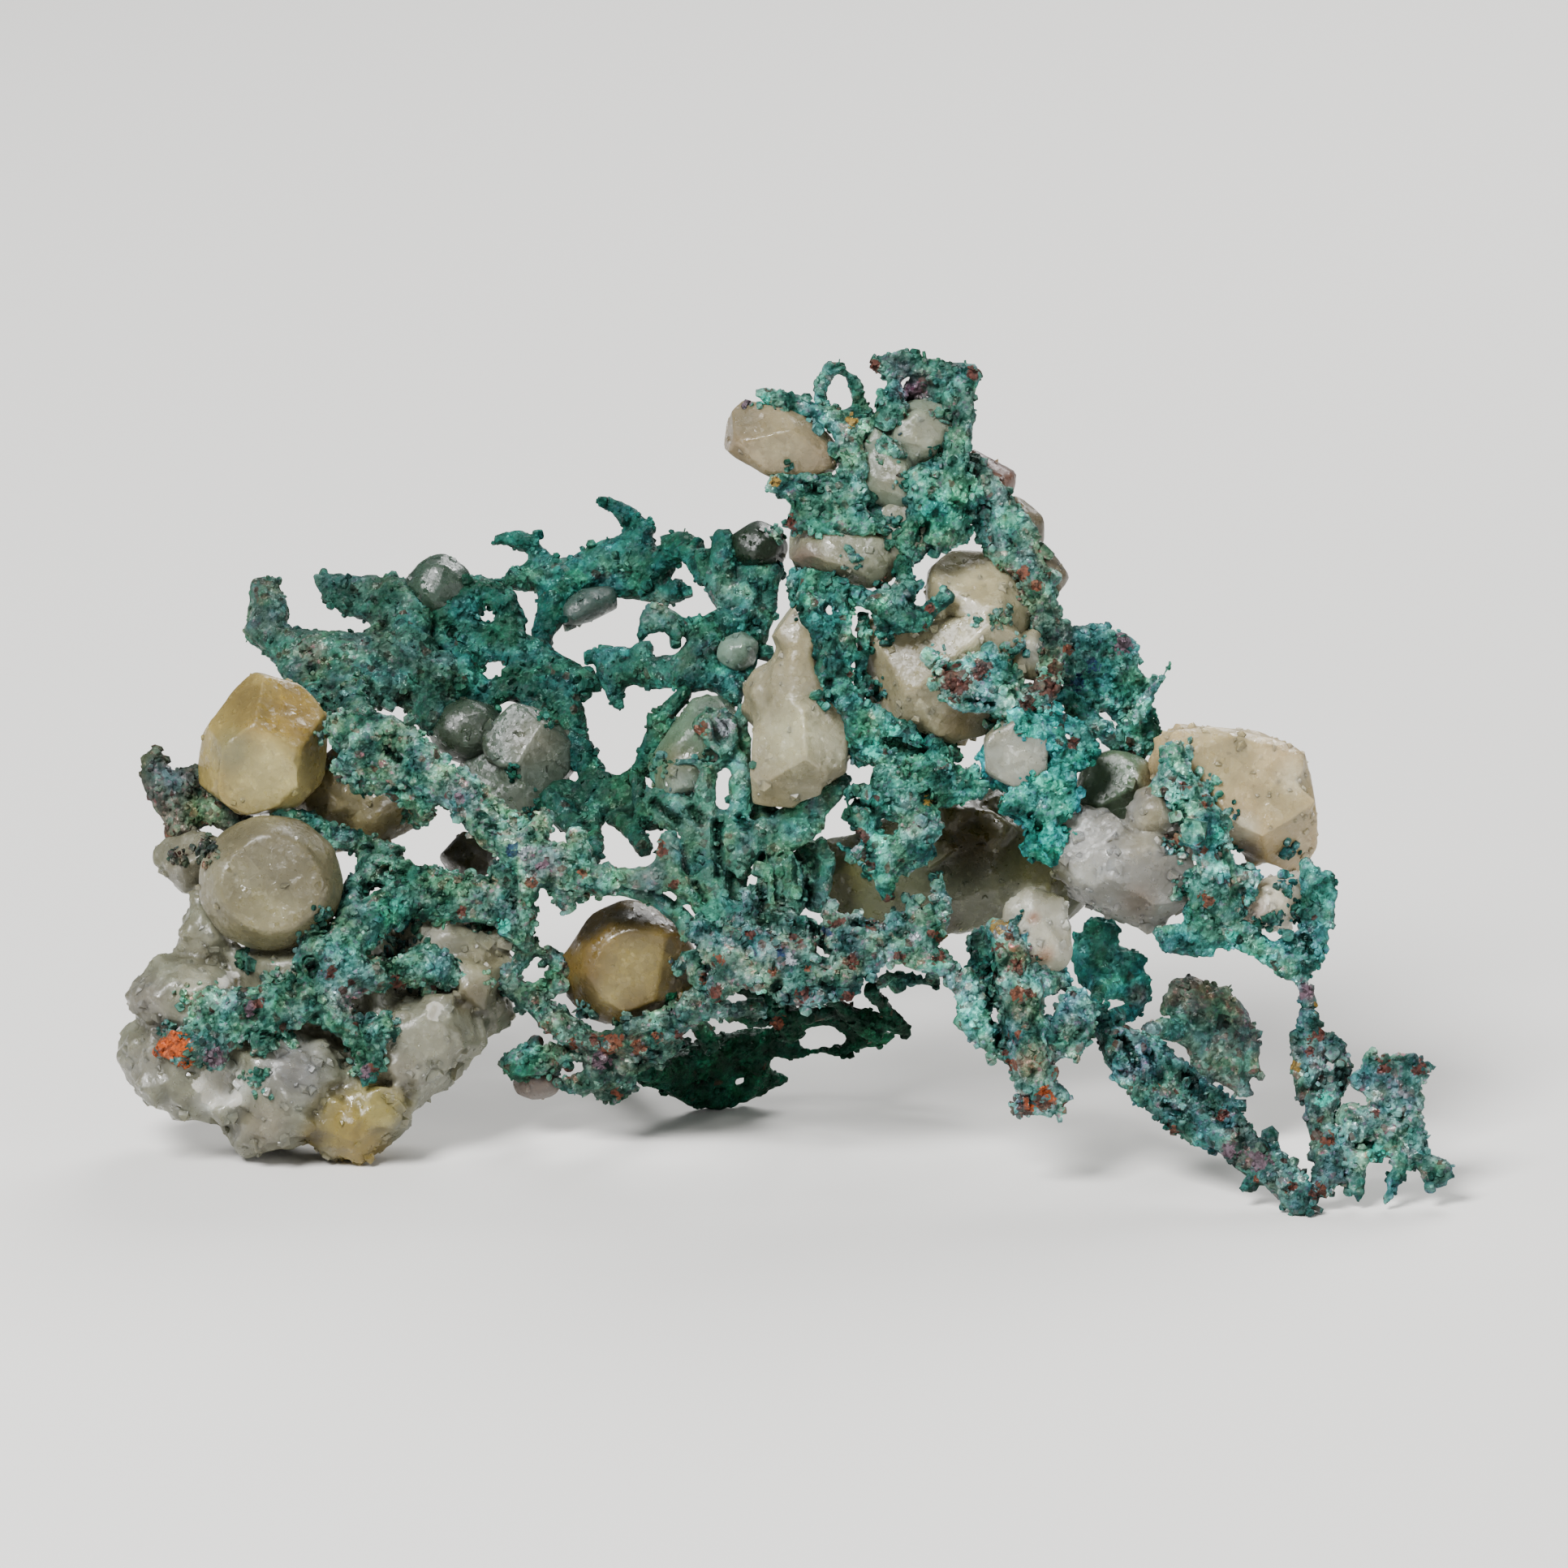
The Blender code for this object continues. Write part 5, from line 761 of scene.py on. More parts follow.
def turned(chance, count, lean):
    """Rotations that lean this far, in radians, from one direction."""
    angles = chance.normal(0.0, lean, (count, 3))
    cosines, sines = np.cos(angles), np.sin(angles)
    one, none = np.ones(count), np.zeros(count)
    about_x = np.array([
        [one, none, none], [none, cosines[:, 0], -sines[:, 0]], [none, sines[:, 0], cosines[:, 0]]])
    about_y = np.array([
        [cosines[:, 1], none, sines[:, 1]], [none, one, none], [-sines[:, 1], none, cosines[:, 1]]])
    about_z = np.array([
        [cosines[:, 2], -sines[:, 2], none], [sines[:, 2], cosines[:, 2], none], [none, none, one]])
    return np.einsum("ijn,jkn,kln->nil", about_x, about_y, about_z)


def sown(name, middles, normals, areas, seed, per_mm2, size, lean, shares, sink=(-0.1, 0.32)):
    """A new object of crystals that stand on these faces, with a tone for each.

    Their middles lie as far above the faces as sink says, as a share of their size."""
    chance = np.random.RandomState(seed)
    total = areas.sum() / MM ** 2
    common = turned(chance, 1, 1.5)[0]
    all_corners, all_faces, all_tones = [], [], []
    start = 0
    for (corners, faces), share in zip(HABITS, shares):
        count = max(1, int(total * per_mm2 * share))
        spots = chance.choice(len(areas), count, p=areas / areas.sum())
        sizes = size * MM * np.exp(chance.normal(0.0, 0.38, count))
        stretch = 1.0 + 0.3 * chance.uniform(-1.0, 1.0, (count, 3))
        turns = turned(chance, count, lean) @ common
        local = corners[None] * (sizes[:, None] * stretch)[:, None, :]
        places = middles[spots] + normals[spots] * (sizes * chance.uniform(*sink, count))[:, None]
        spread = np.einsum("nij,nkj->nki", turns, local) + places[:, None, :]
        steps = start + np.arange(count)[:, None, None] * len(corners)
        all_corners.append(spread.reshape(-1, 3))
        all_faces.append((faces[None] + steps).reshape(-1, 3))
        all_tones.append(np.repeat(chance.uniform(0.0, 1.0, count), len(corners)))
        start += count * len(corners)
    mesh = bpy.data.meshes.new(name)
    mesh.from_pydata(np.concatenate(all_corners).tolist(), [], np.concatenate(all_faces).tolist())
    tone = mesh.attributes.new("tone", "FLOAT", "POINT")
    tone.data.foreach_set("value", np.concatenate(all_tones))
    mesh.attributes.new("hollow_shade", "FLOAT", "POINT")
    return new_piece(name, mesh)


print("sowing is ready")

# %% [markdown]
# ## Blades
# Some copper grows as flat pointed leaves, and a few quartz points end in sharp wedges. Both are
# a stretched octahedron with its flat side to the eye, placed by the two ends that are seen. A
# twig with a changing radius would be round, and would not catch the light on one side.

# %% Blades
# Where the first and the last point of a blade are seen, how deep they lie, and how wide it is
LEAVES = {
    "copper_leaf_cluster": [
        (-3.2, -1.1, 1.0, -2.0, -4.8, .1, 2.3), (-3.5, -3.3, .1, -3.7, -6.4, -.3, 1.6),
        (-5.4, -2.1, -.1, -6.3, -4.9, -.2, 1.3), (-5.8, -.4, 1.0, -3.7, -3.6, .3, 1.5),
        (-6.8, .0, 1.6, -5.2, -2.6, 1.0, 1.4), (-2.1, 1.8, 1.3, -2.0, -1.4, 1.0, 1.0),
        (-1.2, -1.5, .8, -.5, -3.1, .5, 1.0), (1.0, -1.2, 1.0, -.1, -3.2, .5, 1.2),
        (2.2, -1.7, .9, .2, -3.1, .5, 1.0), (.2, -3.2, .3, -.2, -6.4, -.2, 1.6),
        (.9, -3.6, .6, .8, -6.6, .0, .9), (-1.6, -4.8, .1, -1.8, -6.9, -.3, .9),
        (-2.2, -5.3, .1, -2.3, -6.9, -.3, .8), (-4.6, -4.4, -.2, -5.0, -6.2, -.4, 1.2),
        (3.1, .4, 1.6, .9, -1.6, 1.4, .9), (-1.8, -.8, 2.4, .4, -2.8, 2.2, 1.8),
        (1.2, -2.4, 2.4, 1.5, -6.2, 2.2, 1.9),
        (-4.6, -2.6, 1.8, -4.2, -5.6, 1.2, 1.6), (-3.5, -3.7, -.7, -3.4, -6.2, -1.0, 1.3),
        (.3, -3.3, -.6, .7, -6.7, -1.2, 1.3), (-.9, -3.4, -.6, -.7, -6.5, -1.0, .9),
        (-5.8, -2.2, -.9, -5.5, -5.2, -1.2, .9), (-2.6, -3.4, 1.6, -2.4, -6.6, 1.0, 1.8)],
    "copper_lower_centre": [
        (-4.9, -6.9, -1.4, -3.4, -8.6, -1.6, .9), (-1.0, -6.6, -1.4, -.8, -8.8, -1.8, .9),
        (2.0, -5.9, -1.4, 2.8, -8.0, -1.8, .9), (-2.9, -9.4, -1.6, -3.6, -10.9, -1.6, .9),
        (.5, -6.6, -1.4, .2, -8.6, -1.8, .8), (3.6, -8.2, -1.8, 3.4, -10.8, -1.8, 1.0),
        (-4.8, -6.8, -1.9, -2.9, -9.5, -2.1, .9), (-1.9, -5.0, -1.6, -1.4, -7.8, -2.1, .9),
        (2.2, -6.0, -1.8, 3.1, -9.3, -2.3, 1.2), (4.3, -6.5, -1.9, 3.5, -9.1, -2.3, 1.0),
        (-.2, -6.9, -2.0, .0, -9.6, -2.3, 1.0)],
    "copper_rear_dark": [
        (16.0, -6.4, 3.6, 15.4, -9.0, 3.4, 1.9), (18.0, -8.5, 3.6, 15.4, -9.4, 3.4, 1.4),
        (17.6, -9.0, 3.4, 17.4, -11.3, 3.3, 1.5)],
    "quartz_prong": [(12.1, -5.0, -2.3, 12.9, -9.5, -1.9, 3.3)],
    "quartz_crown_middle": [(8.6, 17.9, .4, 6.4, 13.2, .6, 1.6)],
    "quartz_left_bed": [
        (-20.4, -13.6, 3.4, -20.9, -18.9, 2.2, 4.2), (-17.6, -11.0, 3.2, -15.4, -13.6, 3.6, 2.6),
        (-15.0, -6.6, 4.6, -14.3, -9.6, 4.2, 2.4), (-27.8, -12.8, 1.2, -25.2, -17.8, 1.6, 3.0)],
}


def leaves(node):
    """Flat pointed blades of a piece, each with its flat side to the eye."""
    corners, faces = octahedron
    widest = corners / np.abs(corners).max(axis=0) * 0.5
    points, triangles = [], []
    for x0, u0, d0, x1, u1, d1, width in LEAVES[node]:
        first, last = np.array(seen_at(x0, u0, d0)), np.array(seen_at(x1, u1, d1))
        along = last - first
        across = np.cross(along / np.linalg.norm(along), np.array(TOWARDS_EYE))
        shift = 0.4 + np.abs(widest[:, 2:3]) * 0.2
        rows = first + along * (widest[:, 2:3] + shift) + across * widest[:, :1] * width * MM
        rows = rows + np.array(TOWARDS_EYE) * widest[:, 1:2] * width * 0.45 * MM
        triangles += (faces + len(points) * len(corners)).tolist()
        points.append(rows)
    mesh = bpy.data.meshes.new("leaves")
    mesh.from_pydata(np.concatenate(points).tolist(), [], triangles)
    return new_piece("leaves", mesh)


print("blades:", sum(len(rows) for rows in LEAVES.values()))

# %% [markdown]
# ## Quartz grains
# A grain tumbled and etched in the vein keeps its crystal outline but loses its sharp edges.
# Modelling each by hand would need dozens of bevels. Instead the solid is turned into an even
# net of faces, smoothed a little or a lot, and flat crystal faces are cut where they are seen.
# Smaller crystals stand on some grains, and one is given a six-sided end. Three sizes of low
# lumps roughen it, and fine crystals are sown last. `ROUNDING` says how worn a grain is.

# %% Weathered grains
ROUNDING = {
    "quartz_left_round": 22, "quartz_left_upper": 8, "quartz_brown_round": 14, "quartz_left_bed": 1,
    "quartz_right_block": 2,
    "quartz_crown_block": 3, "quartz_rear_brown": 3,
}
# How far a grain swells over its solid, in mm, where that isn't the usual amount
SWOLLEN = {
    "quartz_left_bed": -0.02, "quartz_right_block": -0.08, "quartz_right_clear": 0.24,
    "quartz_centre_point": 0.01,
    "quartz_right_grey": 0.5, "quartz_centre_group": 0.3, "quartz_rear_grey": 0.42,
    "quartz_rear_pale": 0.38,
    "quartz_column_top": 0.2, "quartz_crown_low": 0.15, "quartz_crown_middle": 0.2,
    "quartz_brown_round": 0.1,
    "quartz_crown_block": 0.24, "quartz_slanted": 0.17, "quartz_left_upper": 0.1,
    "quartz_rear_top": 0.38, "quartz_ridge": 0.22, "quartz_hexagon": 0.05, "quartz_left_round": 0.24,
    "quartz_prong": 0.14, "quartz_rear_brown": 0.02,
}
# Smaller crystals that stand on a grain: how wide they are, and how many there are on a mm2
NUGGETS = {
    "quartz_left_bed": (1.05, 0.8), "quartz_centre_group": (1.3, 0.25), "quartz_right_clear": (1.3, 0.5),
    "quartz_right_low": (1.1, 0.5), "quartz_right_block": (1.4, 0.2), "quartz_crown_middle": (1.2, 0.4),
    "quartz_crown_low": (1.2, 0.3), "quartz_rear_brown": (2.0, 0.15),
    "quartz_centre_point": (1.6, 0.15), "quartz_left_slab": (1.6, 0.2), "quartz_slanted": (1.2, 0.3),
    "quartz_rear_pale": (1.4, 0.3), "quartz_brown_round": (1.8, 0.12),
}


# The fine crystals on a grain, in the same way
SUGAR = {
    "quartz_left_bed": (0.42, 0.6), "quartz_right_clear": (0.4, 0.8), "quartz_right_block": (0.32, 0.8),
    "quartz_centre_group": (0.32, 0.5), "quartz_prong": (0.3, 0.4), "quartz_right_low": (0.34, 0.8),
    "quartz_left_round": (0.2, 0.05), "quartz_left_upper": (0.26, 0.12), "quartz_brown_round": (0.26, 0.1),
    "quartz_crown_block": (0.26, 0.15), "quartz_hexagon": (0.2, 0.1), "quartz_centre_point": (0.32, 0.25),
}


def set_down(piece):
    """Flattens what would reach below the surface that the specimen rests on."""
    places = corners_of(piece.data)
    places[:, 2] = np.maximum(places[:, 2], 0.0)
    piece.data.vertices.foreach_set("co", places.reshape(-1))
    piece.data.update()


# The flat crystal faces seen from the front: which way each looks (right, up, away from the eye),
# and its share of the grain
FLATS = {
    "quartz_left_round": [(0.0, 0.0, -1.0, 0.13)],
    "quartz_left_upper": [
        (-0.15, -0.25, -1.0, 0.12), (0.5, 0.6, -0.8, 0.1), (-0.6, 0.6, -0.6, 0.08), (0.9, -0.1, -0.4, 0.06),
        (-0.9, 0.0, -0.4, 0.06)],
    "quartz_right_block": [
        (0.1, 0.25, -1.0, 0.14), (-0.6, -0.3, -0.7, 0.08), (0.1, 1.0, 0.0, 0.04), (1.0, 0.1, 0.0, 0.04),
        (0.5, -0.6, -0.6, 0.08)],
    "quartz_centre_point": [
        (-0.5, 0.05, -0.85, 0.14), (0.6, 0.1, -0.8, 0.14), (0.0, -0.7, -0.7, 0.08),
        (-0.8, 0.6, -0.1, 0.03)],
    "quartz_centre_group": [
        (-0.3, 0.3, -0.9, 0.1), (0.3, -0.4, -0.85, 0.1), (-0.8, -0.2, -0.5, 0.06), (0.0, 0.7, -0.7, 0.06)],
    "quartz_crown_block": [
        (-0.2, 0.6, -0.75, 0.12), (0.0, -0.4, -0.9, 0.12), (-0.95, 0.1, -0.2, 0.05),
        (0.2, 0.95, 0.0, 0.05)],
    "quartz_crown_low": [(0.0, 0.3, -0.95, 0.12), (-0.3, -0.8, -0.5, 0.06)],
    "quartz_brown_round": [(0.1, -0.15, -1.0, 0.12), (0.6, -0.2, -0.7, 0.08), (0.3, -0.8, -0.4, 0.06)],
    "quartz_right_clear": [
        (-0.4, 0.5, -0.8, 0.1), (0.4, -0.2, -0.9, 0.12), (-0.2, -0.8, -0.5, 0.06), (-1.0, 0.0, 0.0, 0.02)],
    "quartz_right_grey": [(-0.2, 0.3, -0.9, 0.14), (0.3, -0.5, -0.8, 0.1)],
    "quartz_rear_pale": [(-0.3, 0.4, -0.9, 0.12), (0.5, -0.1, -0.85, 0.1)],
}
# Grains on which no other faces are cut
WHOLE = ("quartz_left_bed", "quartz_left_round", "quartz_hexagon", "quartz_prong")
UPWARDS = Vector((0.0, math.sin(VIEW_TILT), math.cos(VIEW_TILT)))


CHANCE_FACES, CHANCE_SHARE = 16, 0.03
CHANCE_CUT, KNOWN_CUT = 0.4, 1.0  # how deep a face is cut at most, in mm


def faceted(piece, node, seed):
    """Cuts flat crystal faces: the known ones, and on a single grain small ones all round."""
    places = corners_of(piece.data)
    ways = np.random.default_rng(seed).normal(size=(0 if node in WHOLE else CHANCE_FACES, 3))
    rows = [(*way, CHANCE_SHARE, CHANCE_CUT) for way in ways]
    rows += [(*row, KNOWN_CUT) for row in FLATS.get(node, [])]
    for right, high, away, share, most in rows:
        normal = np.array((right, 0.0, 0.0)) + high * np.array(UPWARDS) - away * np.array(TOWARDS_EYE)
        normal /= np.linalg.norm(normal)
        height = places @ normal
        limit = max(np.quantile(height, 1.0 - share), height.max() - most * MM)
        places -= normal * np.maximum(height - limit, 0.0)[:, None]
    piece.data.vertices.foreach_set("co", places.reshape(-1))
    piece.data.update()


# Six-sided plates that face the eye: where the middle is seen, how deep it lies, radius and depth
PRISMS = {"quartz_hexagon": (11.45, 1.5, -0.7, 1.72, 3.1)}


def prism(x, u, d, radius, depth):
    """A short six-sided crystal that shows its end to the eye."""
    bpy.ops.object.select_all(action="DESELECT")
    bpy.ops.mesh.primitive_cylinder_add(
        vertices=6, radius=radius * MM, depth=depth * MM, location=seen_at(x, u, d),
        rotation=(math.pi / 2.0 - VIEW_TILT, 0.0, 0.0))
    bpy.ops.object.transform_apply(location=True, rotation=True, scale=True)
    return bpy.context.active_object


GRAIN_NET = 0.20  # mm between the corners of the even net
USUAL_SWELL = 0.12
USUAL_SUGAR = (0.3, 0.3)
NUGGET_SHARES, NUGGET_SINK = (0.55, 0.45, 0.0, 0.0, 0.0), (-0.42, -0.2)
SUGAR_SHARES, SUGAR_SINK = (0.04, 0.96, 0.0, 0.0, 0.0), (-0.34, -0.1)
ANY_WAY = 1.2  # radians that the crystals lean from one direction


def weathered(node, slot, seed):
    """One dressed grain of quartz."""
    grain = copy_of_solid(node, node.replace("quartz_", "grain_"))
    if node in LEAVES:
        grain = joined([grain, leaves(node)])
    if node in PRISMS:
        grain = joined([grain, prism(*PRISMS[node])])
    if node in NUGGETS:
        size, per_mm2 = NUGGETS[node]
        grain = joined([grain, sown("nuggets", *faces_of(grain.data), seed, per_mm2, size, ANY_WAY,
                                    NUGGET_SHARES, NUGGET_SINK)])
    shaped(grain, "REMESH", mode="VOXEL", voxel_size=GRAIN_NET * MM)
    shaped(grain, "SMOOTH", factor=0.6, iterations=ROUNDING.get(node, 1))
    shaped(grain, "DISPLACE", strength=SWOLLEN.get(node, USUAL_SWELL) * MM, mid_level=0.0)
    faceted(grain, node, seed)
    roughened(grain, 0.10, 0.05, 0.025)
    set_down(grain)
    only(grain)
    bpy.ops.object.shade_smooth()
    # painted shade: how deep each corner lies in a recess, which darkens it
    hollows(grain, 16, 0.2)
    size, per_mm2 = SUGAR.get(node, USUAL_SUGAR)
    sugar = sown("sugar", *faces_of(grain.data), seed + 30, per_mm2, size, ANY_WAY, SUGAR_SHARES, SUGAR_SINK)
    joined([grain, sugar])
    set_down(grain)
    painted(grain, node, QUARTZ_AREAS, ["ivory"], QUARTZ_DEPTH)
    grain.data.materials.append(QUARTZ[slot])
    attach(grain, "root")
    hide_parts(node)
    return grain


slot_of = {entry["node"]: entry["material_slot"] for entry in frame["record"]["subparts"]}
stones = [node for node in sorted(slot_of) if node.startswith("quartz_")]
grains = [weathered(node, slot_of[node], 7 + number) for number, node in enumerate(stones)]
print("grains:", len(grains), "faces:", sum(len(grain.data.polygons) for grain in grains))

# %% [markdown]
# ## The copper
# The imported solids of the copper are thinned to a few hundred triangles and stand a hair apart.
# Each is made an even net, and swells where a neighbour is near until the two meet, while its
# free outline stays. Extra twigs, too fine for the solids, join it there. Then it is roughened
# and gets its crystals.

# %% Extra twigs
TWIGS = {
    "copper_crown_frame": [
        [(6.3, 19.5, 1, .5), (7.2, 19.4, .8, .6), (8.2, 19.1, .2, .6), (8.8, 18.3, -.4, .5)],
        [(4.0, 13.6, -.4, .4), (5.0, 13.0, -.4, .5), (6.2, 12.8, -.5, .5)],
        [(9.3, 14.6, .2, .4), (9.6, 13.4, .4, .45), (9.9, 12.2, .4, .4), (10.2, 11.4, .4, .35)],
        [(4.6, 11.8, .2, .4), (5.6, 11.6, .1, .5), (6.6, 11.6, -.2, .5)]],
    "copper_crown_left": [
        [(4.3, 17.4, .1, .4), (4.9, 16.7, 0, .4), (4.6, 15.6, -.2, .4)],
        [(3.8, 14.6, -.6, .5), (4.3, 13.8, -.6, .45)],
        [(1.8, 18.7, .6, .34), (1.8, 19.7, .6, .36), (2.3, 20.5, .6, .36), (3.1, 20.5, .6, .36)]],
    "copper_centre_column": [
        [(3.9, 8.4, -.3, .35), (3.9, 7.0, -.1, .32), (3.8, 5.6, -.1, .35), (4.0, 4.4, -.4, .4)],
        [(.5, 10.6, .4, .4), (.6, 9.4, .4, .4), (1.0, 8.0, .2, .4), (1.4, 6.8, .2, .4)],
        [(3.0, 3.0, 0, .4), (3.4, 1.8, 0, .45), (4.0, .9, 0, .4)]],
    "copper_slope": [
        [(12.2, 8.6, .8, .35), (12.3, 7.2, .9, .35), (12.6, 5.8, .6, .4), (12.8, 4.6, .3, .4)],
        [(10.2, 13.4, .4, .4), (10.0, 12.2, .4, .4)]],
    "copper_shoulder": [
        [(17.2, 3.0, 1.8, .45), (18.0, 4.3, 1.5, .3), (18.6, 5.2, 1.3, .18), (19.1, 6.0, 1.2, .08)],
        [(13.4, 4.6, .8, .4), (14.4, 3.8, 1.4, .5), (15.6, 2.8, 2.0, .5), (16.6, 1.8, 2.6, .45)],
        [(13.9, 6.6, 1.4, .5), (13.8, 5.4, 1.2, .5)]],
    "copper_right_blob": [[(10.4, 2.6, .2, .4), (9.9, 1.4, .2, .4), (10.6, .2, -.2, .45),
        (11.8, -.2, -.8, .5)]],
    "copper_centre_cluster": [
        [(5.0, 2.4, .8, .5), (6.4, 1.6, .6, .5), (7.8, .8, .4, .45), (9.2, .2, .2, .4)],
        [(6.4, 2.3, 1.2, .45), (8.0, 1.9, 1.2, .4), (8.7, 1.1, 1, .35)],
        [(3.4, -1.0, -1.8, .4), (4.4, -2.0, -1.4, .45), (4.4, -3.0, -1.2, .5)],
        [(6.0, .6, -.8, .5), (6.4, 1.4, .2, .4), (6.0, 2.0, .6, .4)],
        [(5.8, -4.2, -1.6, .4), (6.4, -3.6, -1.6, .5), (7.4, -3.2, -1.8, .4)]],
    "copper_rear_left": [
        [(-22.8, 9.4, 12.4, .4), (-21.4, 8.9, 12.3, .6), (-19.8, 8.4, 12, .7)],
        [(-24.6, 6.0, 10, .6), (-23.4, 4.8, 9, .6), (-22.4, 3.9, 7, .6)],
        [(-20.6, 9.4, 12.4, .5), (-19.6, 7.6, 11.6, .7), (-20.4, 7.0, 11, .8)],
        [(-18.2, 4.4, 9.4, .5), (-17.2, 3.8, 9.2, .5), (-16.2, 3.9, 9.4, .5)],
        [(-17.4, 9.0, 12, .5), (-16.4, 9.4, 12, .5), (-15.6, 9.9, 12, .4)]],
    "copper_rear_middle": [
        [(-14.8, 4.0, 9.8, .5), (-14.2, 2.8, 9.4, .4), (-14.1, 1.4, 9.2, .4), (-14.2, .2, 9, .35)],
        [(-12.9, 3.9, 9.8, .6), (-11.6, 3.4, 9.6, .6), (-10.9, 2.2, 9.2, .6), (-10.7, 1.0, 8.6, .5)],
        [(-13.6, 10.2, 12.4, .5), (-12.8, 10.0, 12.8, .5)],
        [(-17.4, 8.6, 11.8, .5), (-17.0, 7.4, 11.4, .6), (-16.4, 6.4, 11, .5)]],
    "copper_ridge": [
        [(-14.3, 12.0, 14, .3), (-13.0, 12.1, 14, .4), (-12.2, 11.8, 14, .45)],
        [(-9.3, 14.0, 14.4, .2), (-8.4, 13.7, 14.4, .35), (-7.4, 13.1, 14.4, .5), (-6.8, 12.2, 14.2, .7)],
        [(-9.2, 9.9, 13.6, .6), (-7.6, 9.8, 13.6, .7), (-6.0, 9.4, 13.2, .6), (-5.0, 9.6, 12.4, .6)],
        [(-6.0, 11.8, 12.8, .5), (-5.0, 12.1, 12.4, .5), (-4.2, 11.7, 11.6, .5)]],
    "copper_column": [
        [(-.6, 11.2, 8, .55), (-.7, 10.0, 7.9, .6), (-.9, 8.6, 7.4, .6), (-1.3, 7.4, 7, .55),
         (-1.8, 6.2, 6.6, .55), (-2.0, 5.2, 6.2, .45)],
        [(-9.8, 6.2, 9, .35), (-8.8, 6.4, 8.6, .45), (-7.6, 6.3, 8.2, .45), (-6.6, 6.6, 7.6, .5)],
        [(-6.8, 7.6, 5.8, .4), (-6.0, 7.9, 5.8, .4), (-5.0, 7.3, 6, .45)],
        [(-4.0, 11.6, 8.6, .4), (-3.8, 10.6, 8.2, .5)]],
    "copper_middle_left": [
        [(-11.6, -.4, 7, .6), (-10.8, -1.6, 6, .7), (-10.0, -2.6, 4.4, .6), (-9.6, -3.4, 2.6, .45)],
        [(-7.3, .6, 5.2, .4), (-7.1, -.6, 4.4, .45), (-6.8, -1.8, 3.4, .5)],
        [(-8.4, -1.6, 5, .5), (-7.4, -2.4, 3.4, .5), (-6.8, -3.2, 1.6, .45)],
        [(-4.3, 3.9, 3.4, .4), (-4.8, 2.6, 4.2, .4)]],
    "copper_leaf_cluster": [
        [(-2.1, 4.0, 1.9, .3), (-2.0, 2.4, 1.9, .35), (-1.9, .8, 1.9, .35), (-1.7, -1.0, 1.6, .4)],
        [(-10.2, -5.4, .8, .35), (-8.8, -5.1, .4, .4), (-7.4, -5.2, .2, .45), (-6.0, -5.8, .2, .5),
         (-5.0, -6.6, .2, .5), (-4.5, -7.6, .2, .5)],
        [(-4.9, -2.8, .6, .38), (-4.6, -4.0, .4, .45), (-4.4, -5.0, .2, .4)],
        [(-.9, -3.6, 1, .4), (-1.0, -5.0, .6, .45), (-.9, -6.0, .4, .5)],
        [(-5.6, .4, 2, .4), (-5.0, -.6, 1.8, .45), (-4.3, -1.4, 1.4, .4)],
        [(1.6, -2.8, 1.6, .4), (2.2, -3.8, 1.8, .4), (2.0, -5.0, 1.6, .45), (1.6, -6.2, .6, .45)],
        [(-5.7, .3, 1.2, .2), (-5.2, 1.1, 1.2, .24), (-4.2, 1.1, 1.2, .24), (-3.9, .1, 1.2, .3),
        (-3.8, -.9, 1.2, .3)],
        [(-3.9, 3.2, 1.0, .3), (-3.7, 2.2, 1.0, .32), (-3.0, 1.5, 1.0, .3), (-2.4, 2.2, 1.0, .32),
         (-2.5, 3.1, 1.0, .32), (-3.2, 3.5, 1.0, .3)]],
    "copper_lower_centre": [
        [(-3.4, -7.0, -1, .5), (-2.0, -6.9, -1, .55), (-.6, -6.9, -1, .6), (.8, -6.7, -1, .5)],
        [(2.4, -7.2, -1.2, .6), (3.6, -6.8, -1.2, .45), (4.4, -7.4, -1.4, .5), (4.6, -8.4, -1.6, .5)],
        [(-4.4, -8.2, -.8, .5), (-4.2, -9.4, -.8, .5), (-3.9, -10.2, -.8, .4)],
        [(1.6, -7.2, -1, .5), (2.4, -7.9, -1, .5), (3.0, -8.4, -1.2, .4)]],
    "copper_left_branch": [
        [(-22.2, 1.0, 1.6, .4), (-21.0, .4, 1.8, .45), (-19.4, -.2, 1.8, .45), (-18.2, -1.0, 2, .4)],
        [(-16.2, .6, 1.4, .45), (-15.0, -.4, 1.2, .45), (-13.8, -1.4, 1, .45), (-12.8, -2.2, .8, .45)],
        [(-12.9, -4.2, -.2, .5), (-11.4, -4.9, -.2, .45), (-9.6, -5.2, -.2, .4)]],
    "copper_left_edge": [
        [(-29.0, .8, 5.6, .5), (-28.3, -.2, 5.6, .6), (-28.0, -1.6, 5.4, .6), (-27.0, -2.2, 5.2, .45)],
        [(-31.4, 1.4, 6, .35), (-31.2, .4, 6, .45), (-31.0, -.8, 6, .5)],
        [(-29.8, -2.2, 6, .5), (-29.4, -3.0, 6, .4)]],
    "copper_bed": [
        [(-25.2, -1.5, 3.6, .5), (-23.6, -1.9, 3.8, .6), (-22.0, -2.7, 4.2, .6), (-20.4, -3.0, 4.6, .5),
         (-18.9, -3.6, 4.2, .5)],
        [(-14.4, -4.2, 2.6, .45), (-13.3, -4.8, 2.4, .5), (-12.8, -5.8, 2.4, .45), (-12.6, -7.0, 2.4, .4),
         (-12.8, -8.2, 2.8, .38)],
        [(-22.6, -6.2, 2.2, .5), (-22.0, -5.2, 3.2, .5)],
        [(-29.6, -7.4, 2.6, .2), (-30.2, -7.2, 2.4, .2), (-30.5, -6.8, 2.4, .12)],
        [(-31.2, -8.9, 1.8, .22), (-31.6, -8.5, 1.8, .16)]],
    "copper_bottom_band": [
